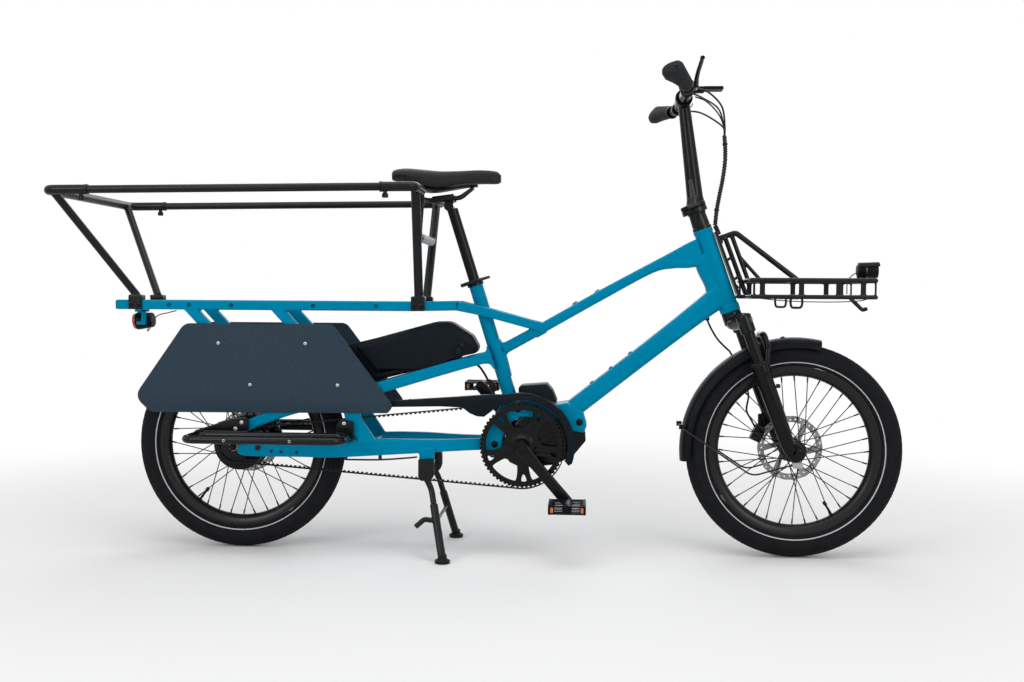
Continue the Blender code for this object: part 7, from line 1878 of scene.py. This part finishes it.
def display():
    """Display on an arm ahead of the bar, with its three buttons."""
    batch = Batch()
    batch.turned(at(1.0855, POST_TOP_Z, -0.0338), SIDEWAYS,
        [(0.0163, 0), (0.0196, 0), (0.0204, 0.001), (0.0204, 0.0106), (0.0196, 0.0116), (0.0163, 0.0116)], 56,
        closed=True)
    batch.block(at(1.092, 1.116, -0.034), at(1.112, 1.13, -0.022), 0.002)
    batch.block(at(1.1062, 1.1192, -0.0378), at(1.1338, 1.1348, -0.0182), 0.004)
    outline = rounded([(1.1272, -0.0508, 0.006), (1.1772, -0.0508, 0.007), (1.1772, -0.0092, 0.007),
        (1.1272, -0.0092, 0.006)], 6)
    batch.plate([outline], 0.0074, Vector((REAR_AXLE_X, 0, 1.1284)), FORWARD, SIDEWAYS, 0.0018)
    for y in (-0.042, -0.03, -0.018):
        batch.block(at(1.13, 1.1316, y - 0.0042), at(1.135, 1.1325, y + 0.0042), 0.0004)
    batch.piece("display_case", SATIN_PLASTIC, "cockpit", node="display", slot="black_plastic")
    glass = rounded([(1.1372, -0.0478, 0.004), (1.1744, -0.0478, 0.005), (1.1744, -0.0122, 0.005),
        (1.1372, -0.0122, 0.004)], 6)
    Batch().plate([glass], 0.0008, Vector((REAR_AXLE_X, 0, 1.1321)), FORWARD, SIDEWAYS,
        0.0002).piece("display_glass", SCREEN, "cockpit")


BUNDLE_ROUTE = ((1.186, 1.022), (1.1885, 0.99), (1.188, 0.955), (1.183, 0.915), (1.176, 0.878), (1.17, 0.842),
    (1.1665, 0.806))


def cable_bundle():
    """Cables in a spiral wrap, with their leads to the levers, the shifter and the display."""
    path = flowing([at(x, z, 0) for x, z in BUNDLE_ROUTE], 120)
    batch = Batch().tube(path, 0.0046, 20)
    batch.piece("cable_core", CABLE, "cockpit", node="cable_bundle", slot="soft_rubber")
    wrap = []
    turns = 34
    steps = turns * 14
    for i in range(steps + 1):
        share = i / steps
        place = share * (len(path) - 1)
        low = min(int(place), len(path) - 2)
        centre = path[low].lerp(path[low + 1], place - low)
        along = (path[low + 1] - path[low]).normalized()
        _, first, second = side_axes(along)
        angle = 2 * pi * turns * share
        wrap.append(centre + first * (0.0048 * cos(angle)) + second * (0.0048 * sin(angle)))
    Batch().tube(wrap, 0.0012, 8).piece("cable_wrap", GLOSS_PAINT, "cockpit")
    joint = at(1.1855, 1.012)
    leads = Batch()
    for radius, route in ((0.0023, [at(1.103, 1.12, -0.093), at(1.137, 1.112, -0.08), at(1.174, 1.085, -0.04),
            at(1.186, 1.042, -0.006)]), (0.0023, [lever_point(1.103, 1.12, LEFT, 0.093),
            at(1.133, 1.09, 0.076), at(1.16, 1.068, 0.036), at(1.185, 1.04, 0.005)]),
            (0.0018, [at(1.112, 1.1105, -0.028), at(1.14, 1.1, -0.022), at(1.17, 1.072, -0.01),
            at(1.185, 1.04, 0.001)]), (0.0021, [at(1.083, 1.101, -0.15), at(1.12, 1.092, -0.118),
            at(1.164, 1.076, -0.06), at(1.183, 1.04, -0.01)])):
        leads.tube(flowing(route + [joint], 60), radius, 14)
    leads.piece("cable_leads", CABLE, "cockpit")
    for name, x, z in (("bundle_tie_high", 1.1873, 1.002), ("bundle_tie_low", 1.17, 0.842)):
        index = min(range(len(path) - 1), key=lambda i: (path[i] - at(x, z)).length)
        along = (path[index + 1] - path[index]).normalized()
        Batch().turned(path[index] - along * 0.0018, along,
            [(0.0048, 0), (0.0063, 0), (0.0063, 0.0036), (0.0048, 0.0036)], 28, closed=True).piece(name,
            RUBBER, "cockpit")


# Seat

def seat_fittings():
    """Seat post with its clamp head, the collar on the seat tube and the collar's lever."""
    top = at(*SEAT_TOP)
    down = (at(*SEAT_LOW) - top).normalized()
    ahead = Vector((-down.z, 0, down.x))
    post = Batch()
    low, high = at(*on_line(SEAT_TOP, SEAT_LOW, 0.51)), at(*on_line(SEAT_TOP, SEAT_LOW, -0.643))
    post.rod(low, high, 0.0135, steps=48)
    for y in (-0.022, 0.022):
        post.turned(at(0.479, 0.864, y), (at(0.533, 0.8712, y) - at(0.479, 0.864, y)),
            [(0.0046, 0), (0.0076, 0), (0.0086, 0.001), (0.0086, 0.053), (0.0076, 0.054), (0.0046, 0.054)],
            32, closed=True)
    post.rod(at(0.518, 0.85, -0.019), at(0.518, 0.85, 0.019), 0.0119, steps=44, chamfer=0.0014)
    post.block(at(0.484, 0.859, -0.018), at(0.53, 0.87, 0.018), 0.0025)
    post.piece("seat_post_tube", BLACK_METAL, "seat", node="seat_post", slot="black_anodised")
    bolts = Batch()
    for x in (0.486, 0.526):
        bolts.bolt(at(x, 0.87, 0.0), UP, 0.0044, 0.0034, 0.0062)
    bolts.piece("seat_clamp_bolts", STEEL, "seat")
    collar = Batch().turned(top, -down, [(0.0176, -0.0055), (0.0198, -0.0055), (0.0205, -0.0047),
        (0.0205, 0.0087), (0.0198, 0.0095), (0.014, 0.0095), (0.014, 0.0004), (0.0176, 0.0004)], 56,
        closed=True)
    turn = Matrix.Rotation(-atan2(down.x, -down.z), 4, "Y")
    for side in SIDES:
        collar.block((-0.0115, side * 0.005 - 0.0036, -0.0043), (0.0115, side * 0.005 + 0.0036, 0.0043),
            0.0012, turn, top - down * 0.0049 - ahead * 0.024 + SIDEWAYS * (side * 0.005))
    collar.piece("seat_clamp", BLACK_METAL, "frame", node="seat_collar", slot="black_anodised")
    centre = top - down * 0.0049
    path = bent([centre - ahead * 0.03 - SIDEWAYS * 0.0135, centre - ahead * 0.02 - SIDEWAYS * 0.0265,
        centre + ahead * 0.012 - SIDEWAYS * 0.0275, centre + ahead * 0.04 - SIDEWAYS * 0.015], 0.02, 12)
    rings = []
    for index, place in enumerate(path):
        share = index / (len(path) - 1)
        thick = 0.0034 - 0.0012 * share
        along = (path[min(index + 1, len(path) - 1)] - path[max(index - 1, 0)]).normalized()
        out = along.cross(down).normalized()
        if share > 0.97:
            thick *= 0.7
        rings.append(ring_about(place, out, down, thick, -0.004 * (0.8 if share > 0.97 else 1), 20))
    lever = Batch().rings(rings)
    lever.rod(centre - ahead * 0.0295 - SIDEWAYS * 0.016, centre - ahead * 0.0295 - SIDEWAYS * 0.0105, 0.004,
        steps=24)
    lever.piece("seat_clamp_lever", GLOSS_PAINT, "seat_lever", node="seat_lever", slot="black_anodised")


def saddle_rails():
    """Two wire rails under the saddle and its stiff base."""
    batch = Batch()
    for side in SIDES:
        batch.tube(bent([at(0.425, 0.89, side * 0.03), at(0.462, 0.865, side * 0.022),
            at(0.545, 0.871, side * 0.022), at(0.575, 0.894, side * 0.008)], 0.03, 14), 0.0035, 18)
    batch.rod(at(0.576, 0.894, -0.01), at(0.576, 0.894, 0.01), 0.0035, steps=20)
    batch.rod(at(0.425, 0.8915, -0.032), at(0.425, 0.8915, 0.032), 0.0041, steps=20)
    batch.piece("saddle_rail_wires", BLACK_METAL, "seat", node="saddle_rails", slot="black_anodised")
    rings = []
    stations = flowing([Vector(s) for s in ((0.392, 0.904, 0.046), (0.43, 0.901, 0.06), (0.47, 0.895, 0.05),
        (0.51, 0.8945, 0.03), (0.56, 0.9015, 0.016), (0.588, 0.9034, 0.012))], 30)
    for index, (x, top, half) in enumerate(stations):
        share = index / 29
        deep = 0.006 + 0.004 * sin(pi * min(1.0, share * 1.6))
        ring = []
        for s in range(20):
            angle = 2 * pi * s / 20
            u, v = cos(angle), sin(angle)
            ring.append(at(x, top - deep / 2 + deep / 2 * (abs(v) ** 0.7) * (1 if v > 0 else -1),
                half * (abs(u) ** 0.6) * (1 if u > 0 else -1)))
        rings.append(ring)
    Batch().rings(rings).piece("saddle_base", SATIN_PLASTIC, "seat")


def saddle():
    """Padded saddle: raised tail, narrow nose, drawn-in sides, a centre channel and sewn side seams."""
    stations = [(0.382, 0.9275, 0.042, 0.014), (0.389, 0.9355, 0.066, 0.028), (0.42, 0.939, 0.08, 0.036),
        (0.464, 0.936, 0.073, 0.04), (0.5, 0.934, 0.052, 0.042), (0.542, 0.9355, 0.032, 0.034),
        (0.595, 0.938, 0.023, 0.032), (0.633, 0.935, 0.019, 0.029), (0.645, 0.927, 0.012, 0.017)]
    first = flowing([Vector(s[:3]) for s in stations], 97)
    deeps = flowing([Vector((s[3], 0, 0)) for s in stations], 97)
    half_profile = ((0.0, -0.02), (0.25, -0.006), (0.5, -0.005), (0.72, -0.06), (0.88, -0.18), (0.97, -0.34),
        (1.0, -0.52), (0.99, -0.72), (0.95, -0.9), (0.86, -0.985), (0.66, -0.985), (0.45, -0.93),
        (0.22, -0.9), (0.0, -0.89))
    smooth = flowing([Vector((u, v, 0)) for u, v in half_profile], 53)
    rings = []
    for index, (x, top, half) in enumerate(first):
        deep = deeps[index].x
        share = index / 96
        channel = 0.0022 * max(0.0, sin(pi * min(1.0, max(0.0, (share - 0.1) / 0.75)))) ** 0.7
        ring = []
        for u, v, _ in smooth:
            dip = channel * max(0.0, 1 - abs(u) * half / 0.009) ** 2 if v > -0.3 else 0.0
            seam = 0.0007 if abs(v + 0.42) < 0.035 and abs(u) > 0.8 else 0.0
            ring.append((u * half * (1 - seam / max(half, 0.01)), top + deep * v - dip))
        right = [at(x, z, -y) for y, z in reversed(ring[1:-1])]
        rings.append([at(x, z, y) for y, z in ring] + right)
    batch = Batch().rings(rings)
    made = batch.piece("saddle_cover", LEATHER, "seat", 70, "saddle", "saddle_cover")
    stitches = Batch()
    for side in SIDES:
        line = []
        for index in range(6, 92):
            x, top, half = first[index]
            deep = deeps[index].x
            line.append(at(x, top - deep * 0.42, side * (half * 0.985 + 0.0002)))
        fine = flowing(line, 170)
        for i in range(0, 168, 2):
            stitches.tube([fine[i], fine[i].lerp(fine[i + 1], 0.5) + SIDEWAYS * (side * 0.0003), fine[i + 1]],
                0.00045, 6)
    stitches.piece("saddle_stitches", CABLE, "seat")
    patch = Batch()
    for side in SIDES:
        rows = []
        for index in range(5, 26):
            x, top, half = first[index]
            deep = deeps[index].x
            column = []
            for v, u in ((-0.56, 1.0), (-0.66, 0.996), (-0.76, 0.985), (-0.84, 0.966)):
                column.append((x, top + deep * v, u * half))
            rows.append(column)
        outer = [[at(x, z, side * (y + 0.0009)) for x, z, y in row] for row in rows]
        inner = [[at(x, z, side * (y - 0.0008)) for x, z, y in reversed(row)] for row in rows]
        patch.rings([o + i for o, i in zip(outer, inner)])
    patch.piece("saddle_tail_patches", GLOSS_PAINT, "seat")


wheels()
front_frame()
deck_frame()
rear_stays()
motor()
battery()
drive()
for where, word in ((RIGHT, "right"), (LEFT, "left")):
    side_panel("side_panel_" + word, where)
    footrest("footrest_" + word, where)
rear_hoop()
front_hoop()
stand()
fork_upper()
fork_lower()
mudguards()
brakes()
front_carrier()
headlight()
rear_light()
stem()
handlebar()
for where, word in ((RIGHT, "right"), (LEFT, "left")):
    grip("grip_" + word, where)
for where, word in ((RIGHT, "right"), (LEFT, "left")):
    brake_controls(where, word)
shifter()
display()
cable_bundle()
seat_fittings()
saddle_rails()
saddle()
studio()
